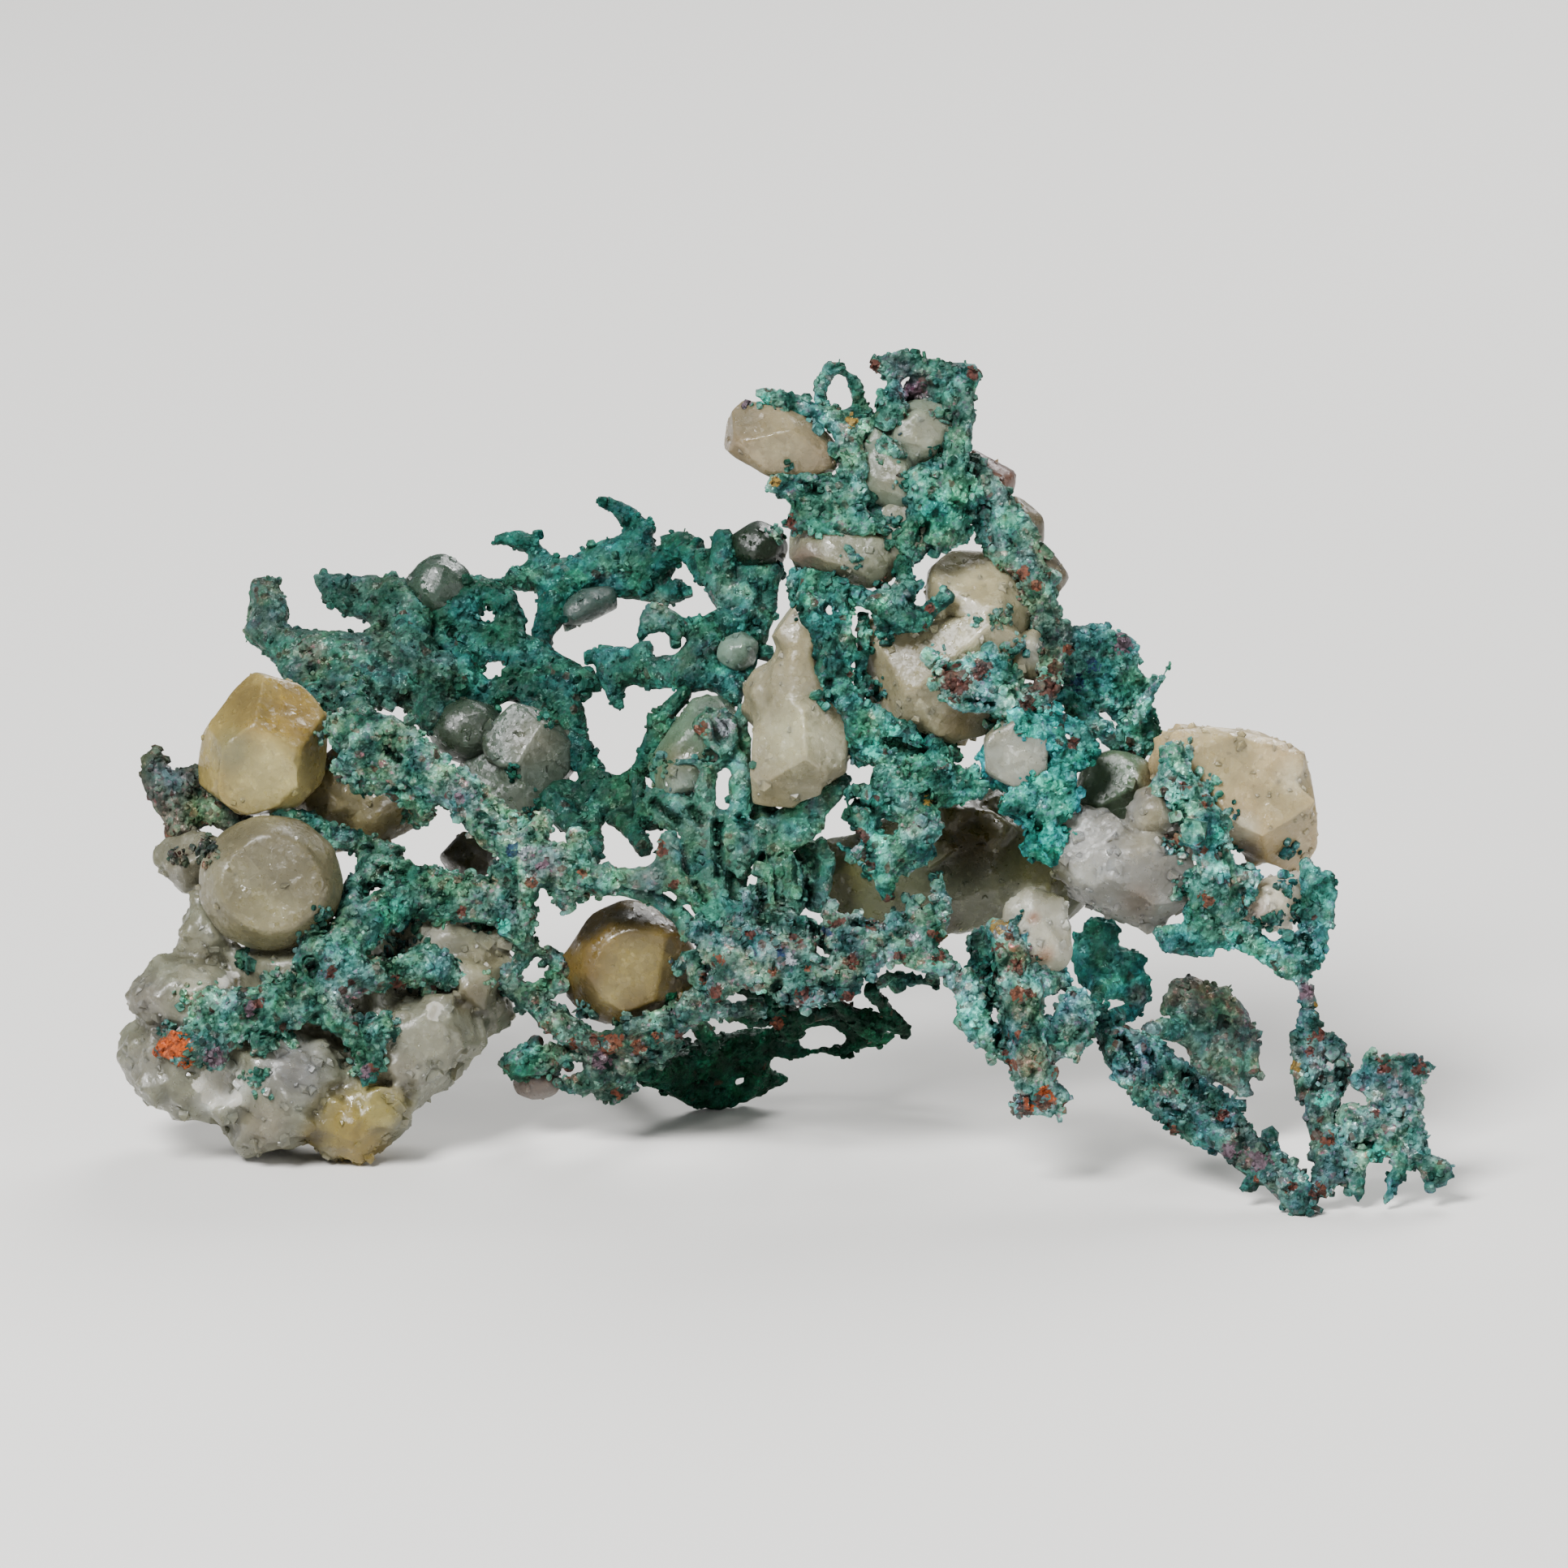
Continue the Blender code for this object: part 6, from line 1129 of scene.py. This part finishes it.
        [(-13.9, -8.9, 3.4, .35), (-13.4, -10.2, 3.4, .38), (-12.6, -10.9, 3.2, .4)],
        [(-7.8, -12.0, 1.4, .45), (-6.6, -11.8, 1.2, .45), (-5.6, -11.2, .8, .45)]],
    "copper_prong_trunk": [
        [(10.9, -7.0, -2.9, .7), (11.3, -9.0, -3.2, .85), (11.7, -11.0, -3.5, .95),
        (12.1, -13.0, -3.8, .95),
         (12.5, -15.2, -4.0, .85)],
        [(14.6, -10.2, -2.7, .32), (15.0, -11.2, -2.8, .4), (14.8, -12.4, -2.9, .4),
        (14.0, -13.4, -3.1, .4)],
        [(11.3, -15.9, -3.4, .5), (12.4, -16.0, -3.4, .45), (13.6, -15.8, -3.4, .4)]],
    "copper_rear_dark": [
        [(17.2, -8.9, 3.9, .5), (17.6, -9.8, 3.9, .4), (17.4, -11.0, 3.7, .45), (16.6, -11.4, 2.4, .45)],
        [(15.4, -6.7, 4, .35), (15.0, -7.2, 3.9, .45)]],
    "copper_rear_piece": [
        [(21.4, -10.2, 4.5, .55), (22.4, -11.6, 4.5, .6), (22.9, -13.0, 4.3, .6), (23.0, -14.4, 4.1, .45)],
        [(19.0, -10.4, 4.5, .4), (18.9, -11.4, 4.4, .4)],
        [(20.4, -13.4, 4.2, .6), (21.4, -14.6, 4, .5)]],
    "copper_chain": [
        [(16.6, -14.4, -2, .4), (17.8, -15.5, -2.6, .45), (19.2, -16.7, -3.2, .45),
        (20.6, -17.5, -3.8, .4)],
        [(23.0, -19.5, -5, .3), (22.6, -20.1, -5, .25)], [(25.8, -20.2, -5.8, .5), (25.9, -20.9, -6, .4)]],
    "copper_hanging": [
        [(25.3, -12.2, -2.9, .35), (25.2, -13.0, -3, .35), (25.4, -14.4, -3.3, .35),
        (25.7, -15.6, -3.8, .4)],
        [(27.2, -18.0, -5, .4), (27.4, -19.0, -5.3, .4)]],
    "copper_fist": [
        [(28.9, -14.2, -4, .35), (28.7, -13.5, -4, .28), (29.1, -13.1, -4, .14)],
        [(30.2, -14.1, -4, .4), (30.1, -13.5, -4, .25), (30.4, -13.2, -4, .12)],
        [(30.3, -18.6, -4.9, .32), (30.0, -19.8, -5.1, .26), (29.7, -20.7, -5.3, .16)],
        [(28.2, -19.0, -5, .35), (28.4, -20.2, -5.3, .24), (28.3, -20.7, -5.3, .14)],
        [(31.8, -18.6, -4.8, .3), (32.6, -18.9, -4.9, .3), (32.9, -19.5, -5, .25)],
        [(31.5, -14.2, -4, .3), (31.8, -13.7, -4, .2)]],
    "copper_right_upper": [
        [(18.9, 1.9, -1.8, .35), (18.8, .9, -1.9, .4), (18.7, 0, -2, .4)],
        [(22.2, -4.0, -2, .4), (22.8, -4.9, -1.9, .45), (23.2, -5.6, -1.8, .4)],
        [(20.2, -4.4, -1.8, .4), (20.0, -5.4, -1.7, .45)]],
    "copper_right_edge": [
        [(18.2, -7.1, -1.6, .3), (18.9, -7.9, -1.7, .4), (20.0, -8.1, -1.9, .4), (21.2, -8.2, -2, .4)],
        [(26.6, -4.4, -1.2, .35), (26.8, -5.6, -1.3, .4), (26.7, -7.0, -1.5, .4)]],
    "copper_bottom_rear": [
        [(-8.0, -13.4, 5, .5), (-7.4, -14.4, 5.6, .5)],
        [(-4.6, -10.4, 2.6, .45), (-3.0, -11.0, 3.4, .5), (-1.6, -11.6, 3.8, .45), (.6, -11.4, 4.0, .45),
         (2.6, -11.2, 4.0, .4), (4.6, -11.6, 4.0, .4), (6.2, -12.2, 4, .35)],
        [(-2.2, -9.8, 2.4, .4), (-1.2, -10.6, 3.2, .45), (-.2, -11.6, 3.8, .45), (.6, -12.6, 4.2, .45)],
        [(1.6, -9.8, 2.0, .4), (2.6, -10.8, 3, .4), (3.6, -11.8, 3.8, .45), (4.8, -12.6, 4.2, .4)],
        [(4.2, -10.0, 1.6, .35), (5.0, -11.0, 3, .35), (5.8, -12.0, 3.8, .35)],
        [(-4.8, -10.9, 2.6, .4), (-4.2, -11.9, 3.6, .45), (-3.4, -13.0, 4.2, .5)],
        [(-5.6, -10.2, 2.2, .4), (-6.2, -11.6, 3.2, .4), (-6.4, -12.8, 4.2, .45)]],
}


# Where a slit is seen through a piece: its ends and its radius
HOLES = {
    "copper_hanging": [
        (26.8, -13.4, 26.9, -14.0, .36), (27.2, -16.1, 27.5, -17.1, .3), (27.6, -18.1, 27.8, -18.7, .26)],
    "copper_fist": [
        (27.9, -15.5, 28.9, -15.9, .3), (28.9, -15.9, 30.0, -16.3, .2), (30.0, -18.2, 29.4, -19.0, .3),
        (31.0, -19.3, 30.8, -20.0, .3), (27.7, -18.2, 27.8, -18.8, .26)],
    "copper_prong_trunk": [(13.3, -10.6, 12.9, -13.1, .3), (8.3, -8.0, 9.0, -8.6, .5)],
    "copper_chain": [(20.5, -16.4, 21.0, -16.7, .3)],
    "copper_leaf_cluster": [(-3.0, .2, -2.8, -.8, .25)],
}
# Where a shadowed groove runs over the near side of a piece: its ends, its radius and its depth
GROOVES = {
    "copper_prong_trunk": [
        (10.2, -9.4, 10.4, -10.8, .4, 1.1), (10.4, -10.8, 10.8, -12.8, .35, 1.0),
        (9.4, -7.6, 9.8, -9.2, .5, .5)],
    "copper_fist": [(28.1, -17.7, 29.0, -17.8, .2, .4), (30.0, -16.3, 30.4, -16.5, .2, .3)],
    "copper_hanging": [(27.4, -14.2, 27.8, -15.2, .35, .6), (26.2, -15.0, 26.6, -14.4, .25, .4)],
    "copper_leaf_cluster": [
        (-6.4, -.9, -5.2, -1.9, .2, .4), (-4.5, -1.2, -4.1, -1.8, .25, .4),
        (-3.3, -2.0, -3.2, -4.4, .25, .6),
        (-1.0, -3.6, -1.6, -4.6, .25, .6), (-2.2, -1.7, -1.7, -2.1, .25, .5), (.7, -3.8, 1.0, -5.4, .3, .6),
        (-1.1, -5.0, -1.1, -6.4, .2, .5), (-4.3, -5.0, -3.9, -5.8, .2, .4)],
    "copper_lower_centre": [
        (1.3, -6.6, 1.5, -7.4, .25, .6), (3.4, -6.9, 4.6, -6.8, .25, .5), (-4.2, -6.4, -3.4, -6.6, .2, .4),
        (-1.8, -7.4, -1.6, -8.4, .2, .4), (-.4, -9.9, .2, -10.6, .25, .4),
        (2.0, -9.8, 2.4, -10.6, .25, .4)],
    "copper_bed": [
        (-23.4, -8.8, -23.2, -9.4, .25, .5), (-19.6, -8.6, -19.2, -9.2, .3, .5),
        (-22.8, -4.6, -21.8, -3.6, .3, .5),
        (-16.2, -8.4, -15.8, -9.0, .25, .5), (-25.6, -12.4, -24.8, -12.6, .2, .4),
        (-20.0, -4.2, -18.8, -4.6, .3, .4)],
    "copper_crown_left": [(1.0, 14.8, 1.8, 14.4, .25, .5), (2.6, 12.6, 3.2, 12.2, .25, .4),
        (-.2, 13.6, .2, 13.0, .25, .4)],
    "copper_crown_frame": [
        (6.6, 11.8, 7.0, 12.6, .25, .4), (8.4, 13.8, 9.0, 13.4, .25, .5), (5.4, 13.8, 5.8, 13.2, .25, .4),
        (6.0, 19.0, 6.6, 18.7, .3, .5), (9.2, 15.4, 9.2, 14.6, .2, .4)],
    "copper_centre_cluster": [
        (3.6, -.6, 4.4, -1.4, .3, .5), (6.8, -.4, 7.4, -.9, .25, .5), (4.1, -3.0, 4.3, -3.6, .2, .4),
        (8.4, -1.4, 8.9, -2.0, .2, .4)],
    "copper_right_blob": [(10.8, 1.2, 11.4, .6, .25, .5), (12.2, -1.6, 12.6, -2.2, .2, .4)],
    "copper_centre_column": [(2.2, 5.0, 2.4, 4.0, .25, .5), (3.2, 9.4, 3.3, 8.4, .2, .4),
        (3.9, 5.4, 4.1, 4.8, .2, .4)],
    "copper_red_patch": [(7.4, 5.4, 8.6, 5.9, .2, .4), (9.0, 4.2, 10.2, 4.0, .2, .4),
        (10.9, 5.0, 11.4, 4.4, .2, .4)],
    "copper_left_branch": [(-19.6, 1.8, -19.0, 1.2, .25, .4), (-15.0, -1.6, -14.4, -2.2, .25, .4),
        (-11.0, -3.8, -10.4, -4.0, .2, .3)],
    "copper_chain": [
        (18.0, -13.4, 18.6, -14.6, .25, .4), (16.2, -13.8, 16.9, -14.4, .25, .4),
        (22.0, -17.0, 22.6, -17.6, .25, .4),
        (19.8, -14.4, 20.6, -15.4, .3, .6), (16.6, -12.6, 17.4, -13.8, .25, .6),
        (21.2, -16.2, 22.2, -17.0, .25, .6),
        (18.8, -15.8, 19.8, -16.4, .25, .6)],
    "copper_bottom_band": [
        (-13.6, -12.2, -12.8, -12.5, .25, .4), (-10.6, -13.0, -9.8, -13.2, .25, .4),
        (-6.8, -13.0, -6.2, -13.2, .2, .3)],
    "copper_right_upper": [(19.4, -1.0, 19.8, -1.8, .2, .4), (21.4, -3.2, 21.9, -3.8, .2, .4),
        (21.0, .4, 21.2, -.2, .2, .3)],
    "copper_right_edge": [(23.2, -7.4, 24.0, -7.6, .2, .3), (25.6, -7.6, 26.0, -8.2, .2, .4)],
}


def pierced(piece, node):
    """Cuts the slits through a piece along the line of sight."""
    for x0, u0, x1, u1, radius in HOLES[node]:
        curve = bpy.data.curves.new("slit", "CURVE")
        curve.dimensions = "3D"
        curve.bevel_depth = radius * MM
        curve.use_fill_caps = True
        for share in (0.0, 0.5, 1.0):
            x, u = x0 + (x1 - x0) * share, u0 + (u1 - u0) * share
            spline = curve.splines.new("POLY")
            spline.points.add(1)
            for point, d in zip(spline.points, (-12.0, 12.0)):
                point.co = (*seen_at(x, u, d), 1.0)
        only(new_piece("slit", curve))
        bpy.ops.object.convert(target="MESH")
        cutter = bpy.context.active_object
        shaped(cutter, "REMESH", mode="VOXEL", voxel_size=0.12 * MM)
        shaped(piece, "BOOLEAN", operation="DIFFERENCE", solver="FAST", object=cutter)
        bpy.data.objects.remove(cutter, do_unlink=True)


def in_grooves(node, x, u):
    """How deep in millimetres each point lies in the grooves of a piece."""
    depth = np.zeros(len(x))
    for x0, u0, x1, u1, radius, deep in GROOVES.get(node, []):
        span = (x1 - x0) ** 2 + (u1 - u0) ** 2
        share = np.clip(((x - x0) * (x1 - x0) + (u - u0) * (u1 - u0)) / span, 0.0, 1.0)
        away = np.hypot(x - x0 - share * (x1 - x0), u - u0 - share * (u1 - u0))
        depth = np.maximum(depth, np.clip(1.4 - away / radius, 0.0, 1.0) * deep)
    return depth


def grooved(piece, node):
    """Pushes the near side of a piece back along its grooves, and returns how strongly each corner is painted
    with the grooves' shadow.
    """
    mesh = piece.data
    places = corners_of(mesh)
    normals = np.empty(len(places) * 3)
    mesh.vertices.foreach_get("normal", normals)
    facing = np.clip(normals.reshape(-1, 3) @ np.array(TOWARDS_EYE) * 2.0, 0.0, 1.0)
    x, u, d = sight_of(places)
    depth = in_grooves(node, x, u) * facing
    places -= np.array(TOWARDS_EYE) * (depth * MM)[:, None]
    mesh.vertices.foreach_set("co", places.reshape(-1))
    mesh.update()
    return np.clip(depth / 0.4, 0.0, 1.0)


def twigs(node):
    """Tapered round twigs as one mesh."""
    curve = bpy.data.curves.new("twigs", "CURVE")
    curve.dimensions = "3D"
    curve.bevel_depth = 1.0 * MM
    curve.bevel_resolution = 2
    curve.use_fill_caps = True
    for strand in TWIGS[node]:
        spline = curve.splines.new("POLY")
        spline.points.add(len(strand) - 1)
        for point, (x, u, d, radius) in zip(spline.points, strand):
            point.co = (*seen_at(x, u, d), 1.0)
            point.radius = radius
    piece = new_piece("twigs", curve)
    only(piece)
    bpy.ops.object.convert(target="MESH")
    return bpy.context.active_object


# %% [markdown]
# ## Putting a copper piece together
# A real branch is a thicket, with slits that show the dark behind it and grooves between its
# strands. The slits are cut along the line of sight, because they are known only from there. The
# grooves push the near side back. What breaks off by this is deleted, since nothing would hold it.

# %% Copper pieces

def tree_of(node):
    """A solid's surface, ready to be asked for its nearest point."""
    mesh = frame["nodes"][node].data
    return BVHTree.FromPolygons([v.co[:] for v in mesh.vertices], [p.vertices[:] for p in mesh.polygons])


TREES = {node: tree_of(node) for node in slot_of}
BOXES = {node: np.array(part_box(node)) for node in slot_of}


def neighbours(node, reach):
    """The solids that come within this reach of another, by their boxes."""
    low, high = BOXES[node]
    return [TREES[other] for other, (least, most) in BOXES.items()
            if other != node and (least <= high + reach).all() and (most >= low - reach).all()]


# How strongly a piece swells towards its neighbours, where that isn't in full
LOOSE = {
    "copper_fist": 0.4, "copper_hanging": 0.4, "copper_prong_trunk": 0.5, "copper_chain": 0.7,
    "copper_rear_dark": 0.5, "copper_rear_piece": 0.5, "copper_right_edge": 0.7, "copper_prongs": 0.6,
    "copper_bottom_rear": 0.3, "copper_crown_left": 0.8,
}


MEETING_REACH, MEETING_RAMP, MEETING_SWELL = 1.2, 0.8, 0.42  # in mm


def meet(piece, node):
    """Swells a piece where another solid is near, less where it is loose."""
    reach = MEETING_REACH * MM
    trees = neighbours(node, reach)
    group = piece.vertex_groups.new(name="near")
    for vertex in piece.data.vertices:
        gaps = [tree.find_nearest(vertex.co, reach)[3] for tree in trees]
        gaps = [gap for gap in gaps if gap is not None]
        if gaps:
            group.add([vertex.index], min(1.0, (reach - min(gaps)) / (MEETING_RAMP * MM)), "REPLACE")
    strength = MEETING_SWELL * LOOSE.get(node, 1.0)
    shaped(piece, "DISPLACE", vertex_group="near", strength=strength * MM, mid_level=0.0)


# How far a copper piece swells over its solid, in mm, where that isn't the usual amount
THICKER = {
    "copper_rear_left": 0.24, "copper_rear_middle": 0.07, "copper_ridge": 0.07, "copper_column": 0.1,
    "copper_middle_left": 0.05, "copper_rear_piece": 0.01, "copper_rear_dark": -0.12,
    "copper_left_edge": 0.15,
    "copper_bed": 0.09, "copper_bottom_rear": -0.1, "copper_fist": 0.07, "copper_hanging": 0.05,
    "copper_chain": 0.11, "copper_prong_trunk": 0.15, "copper_prongs": 0.05, "copper_leaf_cluster": 0.04,
    "copper_lower_centre": 0.05, "copper_centre_column": 0.03, "copper_right_upper": 0.05,
    "copper_bottom_band": 0.08, "copper_left_branch": 0.29, "copper_crown_frame": 0.05,
    "copper_shoulder": -0.03,
    "copper_crown_left": -0.05, "copper_right_edge": -0.06,
}


# Where copper crystals stand on the grains, by the piece that they belong to: x, u, reach
SPRINKLES = {
    "copper_bed": [
        (-19.2, -6.2, 1.2), (-20.6, -7.2, 1.2), (-17.6, -9.0, 1.3), (-19.2, -8.6, 1.1), (-21.6, -8.6, 1.2),
        (-23.4, -9.6, 1.0), (-22.2, -11.0, 1.0), (-24.8, -11.4, 1.0), (-26.4, -11.4, 1.1),
        (-28.2, -11.0, 1.2),
        (-29.4, -10.6, .6), (-26.0, -14.6, .8), (-19.6, -12.1, .7), (-20.9, -13.6, .7), (-27.9, -13.0, .8),
        (-29.4, -12.7, .7), (-24.4, -12.3, .6), (-22.9, -6.5, .5), (-23.2, -7.6, .8), (-26.6, -8.8, .5),
        (-16.6, -6.4, .6), (-15.0, -6.8, .7), (-14.6, -9.6, .4), (-24.8, -9.4, .6), (-30.4, -12.2, .5)],
    "copper_left_branch": [
        (-21.6, .9, .8), (-19.6, 1.0, 1.0), (-18.2, .3, .8), (-20.6, -.4, .4), (-22.7, 2.6, .6),
        (-18.6, -1.6, .5)],
    "copper_left_edge": [(-28.4, -3.2, .8), (-29.8, -3.6, .5)],
    "copper_right_upper": [
        (19.6, 1.4, .8), (20.8, -.2, .9), (22.0, -3.4, .7), (19.2, -3.2, .7), (19.6, -5.2, .6),
        (21.8, -1.4, .6)],
    "copper_right_edge": [(24.8, -5.2, .7), (25.2, -6.3, .7), (25.0, -3.2, .5), (23.6, -6.8, .6)],
    "copper_red_patch": [(7.6, 6.2, .7), (11.0, 6.4, .6), (9.4, 8.2, .5), (11.6, 6.8, .5), (10.4, 2.9, .5)],
    "copper_centre_column": [(4.9, 7.2, .5), (4.8, 9.6, .6), (1.9, 4.0, .5), (4.6, 4.6, .6),
        (1.0, 8.2, .5)],
    "copper_crown_left": [(-1.6, 18.8, .5), (1.7, 17.8, .6), (-.3, 12.4, .6), (3.4, 11.2, .6),
        (.2, 15.6, .4)],
    "copper_crown_frame": [(5.1, 16.6, .8), (7.9, 18.2, .6), (6.2, 14.8, .7), (5.2, 12.0, .6),
        (7.6, 16.2, .6), (5.6, 18.4, .6)],
    "copper_slope": [(10.4, 13.2, .8), (11.2, 11.8, .8), (10.6, 8.2, .6), (11.9, 9.2, .6), (12.6, 6.2, .5)],
    "copper_leaf_cluster": [(-5.4, -1.2, .8), (-4.0, 1.2, .6), (-6.2, 1.0, .6), (-1.9, 1.0, .4),
        (-3.6, 2.6, .7)],
    "copper_rear_middle": [(-11.6, 3.4, .6), (-13.4, .6, .6), (-12.0, -1.2, .7), (-15.2, 5.6, .8)],
    "copper_prong_trunk": [(11.4, -7.8, .6), (12.6, -8.8, .5), (11.7, -6.6, .4)],
    "copper_bottom_band": [(-9.8, -11.2, .5), (-5.2, -9.0, .5), (-8.0, -11.6, .5)],
    "copper_right_blob": [(11.7, 2.6, .5), (9.0, 1.4, .4), (12.0, .4, .5), (13.9, -2.4, .6)],
    "copper_centre_cluster": [(5.2, 1.6, .6), (4.2, -4.2, .6), (7.4, -4.4, .4)],
}
STONES = [np.concatenate(arrays) for arrays in zip(*(faces_of(grain.data) for grain in grains))]


SPRINKLE_SHARES = (0.34, 0.3, 0.16, 0.06, 0.14)
SPRINKLES_PER_MM2, SPRINKLE_SIZE, SPRINKLE_LEAN = 22.0, 0.24, 0.6


def sprinkled(node, seed):
    """Copper crystals on the sides of the grains that are seen near this piece's spots."""
    middles, normals, areas = STONES
    x, u, d = sight_of(middles)
    weight = np.zeros(len(x))
    for spot_x, spot_u, reach in SPRINKLES[node]:
        weight = np.maximum(weight, np.clip(1.4 - np.hypot(x - spot_x, u - spot_u) / reach, 0.0, 1.0))
    weight = weight ** 2 * np.clip(normals @ np.array(TOWARDS_EYE) * 2.0, 0.0, 1.0)
    held = weight > 0.0
    return sown("sprinkles", middles[held], normals[held], (areas * weight)[held], seed,
                SPRINKLES_PER_MM2, SPRINKLE_SIZE, SPRINKLE_LEAN, SPRINKLE_SHARES)


CRUMB_CORNERS = 300


def without_crumbs(piece):
    """Deletes what broke off a piece: every island of few corners."""
    mesh = piece.data
    ends = np.empty(len(mesh.edges) * 2, int)
    mesh.edges.foreach_get("vertices", ends)
    first, last = ends.reshape(-1, 2).T
    island = np.arange(len(mesh.vertices))
    while (island[first] != island[last]).any():
        lowest = np.minimum(island[first], island[last])
        np.minimum.at(island, first, lowest)
        np.minimum.at(island, last, lowest)
        island = island[island]
    crumbs = np.bincount(island, minlength=len(island))[island] < CRUMB_CORNERS
    only(piece)
    bpy.ops.object.mode_set(mode="EDIT")
    bpy.ops.mesh.select_all(action="DESELECT")
    bpy.ops.object.mode_set(mode="OBJECT")
    mesh.vertices.foreach_set("select", crumbs)
    bpy.ops.object.mode_set(mode="EDIT")
    bpy.ops.mesh.delete(type="VERT")
    bpy.ops.object.mode_set(mode="OBJECT")


CRUST_NET, FINE_NET, COARSE_NET = 0.20, 0.145, 0.16  # mm between the corners of the even nets
FINE_ABOVE = 0.7  # pieces that are seen sharper than this get the fine net
USUAL_THICKNESS = 0.015
GROOVE_SHADOW = 0.8
CRYSTAL_SHARES = (0.28, 0.24, 0.14, 0.06, 0.28)
CRYSTALS_PER_MM2, CRYSTAL_SIZE, CRYSTAL_LEAN = 3.0, 0.26, 0.3


def crusted(node, seed):
    """One dressed piece of copper."""
    soft = SOFT.get(node, 1.0)
    piece = copy_of_solid(node, node.replace("copper_", "crust_"))
    shaped(piece, "REMESH", mode="VOXEL", voxel_size=CRUST_NET * MM)
    meet(piece, node)
    shaped(piece, "DISPLACE", strength=THICKER.get(node, USUAL_THICKNESS) * MM, mid_level=0.0)
    extras = [make(node) for make, table in ((twigs, TWIGS), (leaves, LEAVES)) if node in table]
    joined([piece, *extras])
    shaped(piece, "REMESH", mode="VOXEL", voxel_size=(FINE_NET if soft > FINE_ABOVE else COARSE_NET) * MM)
    if node in HOLES:
        pierced(piece, node)
    without_crumbs(piece)
    shadowed = grooved(piece, node)
    roughened(piece, 0.30, 0.46 * soft, 0.24 * soft)
    set_down(piece)
    # painted shade: the hollows, and the shadow of the grooves, darken the crust's colour
    hollows(piece)
    depths = np.empty(len(piece.data.vertices))
    piece.data.attributes["hollow_shade"].data.foreach_get("value", depths)
    piece.data.attributes["hollow_shade"].data.foreach_set("value", np.maximum(depths, shadowed * GROOVE_SHADOW))
    tones = piece.data.attributes.new("tone", "FLOAT", "POINT")
    tones.data.foreach_set("value", np.full(len(piece.data.vertices), 0.5))
    faces = faces_of(piece.data)
    crystals = sown("crystals", *faces, seed, CRYSTALS_PER_MM2 * soft ** 2, CRYSTAL_SIZE, CRYSTAL_LEAN,
                    CRYSTAL_SHARES)
    sprinkles = [sprinkled(node, seed + 60)] if node in SPRINKLES else []
    joined([piece, crystals, *sprinkles])
    set_down(piece)
    painted(piece, node, COPPER_AREAS, [kind for kind in SPOTS if kind != "ivory"], COPPER_DEPTH)
    piece.data.materials.append(COPPER_CRUST)
    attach(piece, "root")
    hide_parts(node)
    return piece


coppers = [node for node in sorted(slot_of) if node.startswith("copper_")]
crusts = [crusted(node, 40 + number) for number, node in enumerate(coppers)]
most = max(crusts, key=lambda crust: len(crust.data.loops) - 2 * len(crust.data.polygons))
print("crusts:", len(crusts), "triangles:", sum(len(c.data.loops) - 2 * len(c.data.polygons) for c in crusts))
print("largest:", most.name, len(most.data.loops) - 2 * len(most.data.polygons))

# %% [markdown]
# ## Studio
# A pale sweep, one large soft key light from the upper left, a weaker fill and a rim light
# keep the specimen plain to see. The camera is a long lens, half a metre away.

# %% Floor, lights and camera
bpy.ops.mesh.primitive_plane_add(size=1.6, location=(0.0, 0.0, 0.0))
floor = bpy.context.active_object
floor.name = "floor"
bpy.ops.object.mode_set(mode="EDIT")
bpy.ops.mesh.select_all(action="SELECT")
bpy.ops.mesh.subdivide(number_cuts=3)
bpy.ops.object.mode_set(mode="OBJECT")
paper = Finish("paper")
paper.set(Base_Color=tint(226, 224, 220), Roughness=0.9)
floor.data.materials.append(paper.material)


def softbox(name, where, size, power):
    """A square lamp that shines at the specimen."""
    lamp = bpy.data.lights.new(name, "AREA")
    lamp.size = size
    lamp.energy = power
    holder = bpy.data.objects.new(name, lamp)
    holder.location = where
    holder.rotation_euler = (Vector((0, 0, 0.02)) - Vector(where)).to_track_quat("-Z", "Y").to_euler()
    bpy.context.scene.collection.objects.link(holder)


softbox("key", (-0.22, -0.30, 0.42), 0.20, 6.6)
softbox("fill", (0.40, -0.30, 0.18), 0.30, 1.0)
softbox("rim", (0.12, 0.35, 0.35), 0.25, 2.5)
world = bpy.data.worlds.new("studio")
world.use_nodes = True
world.node_tree.nodes["Background"].inputs[0].default_value = tint(214, 220, 226)
world.node_tree.nodes["Background"].inputs[1].default_value = 0.27
bpy.context.scene.world = world

FIELD_WIDTH = 77.28
camera = bpy.data.cameras.new("camera")
camera.sensor_fit = "HORIZONTAL"
camera.angle = 2.0 * math.atan(FIELD_WIDTH / 2.0 / EYE_DISTANCE)
camera.clip_start = 0.01
camera.clip_end = 10.0
eye = bpy.data.objects.new("camera", camera)
eye.location = seen_at(0, 0, 0) + EYE_DISTANCE * MM * TOWARDS_EYE
eye.rotation_euler = (math.pi / 2.0 - VIEW_TILT, 0.0, 0.0)
bpy.context.scene.collection.objects.link(eye)
bpy.context.scene.camera = eye
print("the camera is at", [round(v, 3) for v in eye.location])
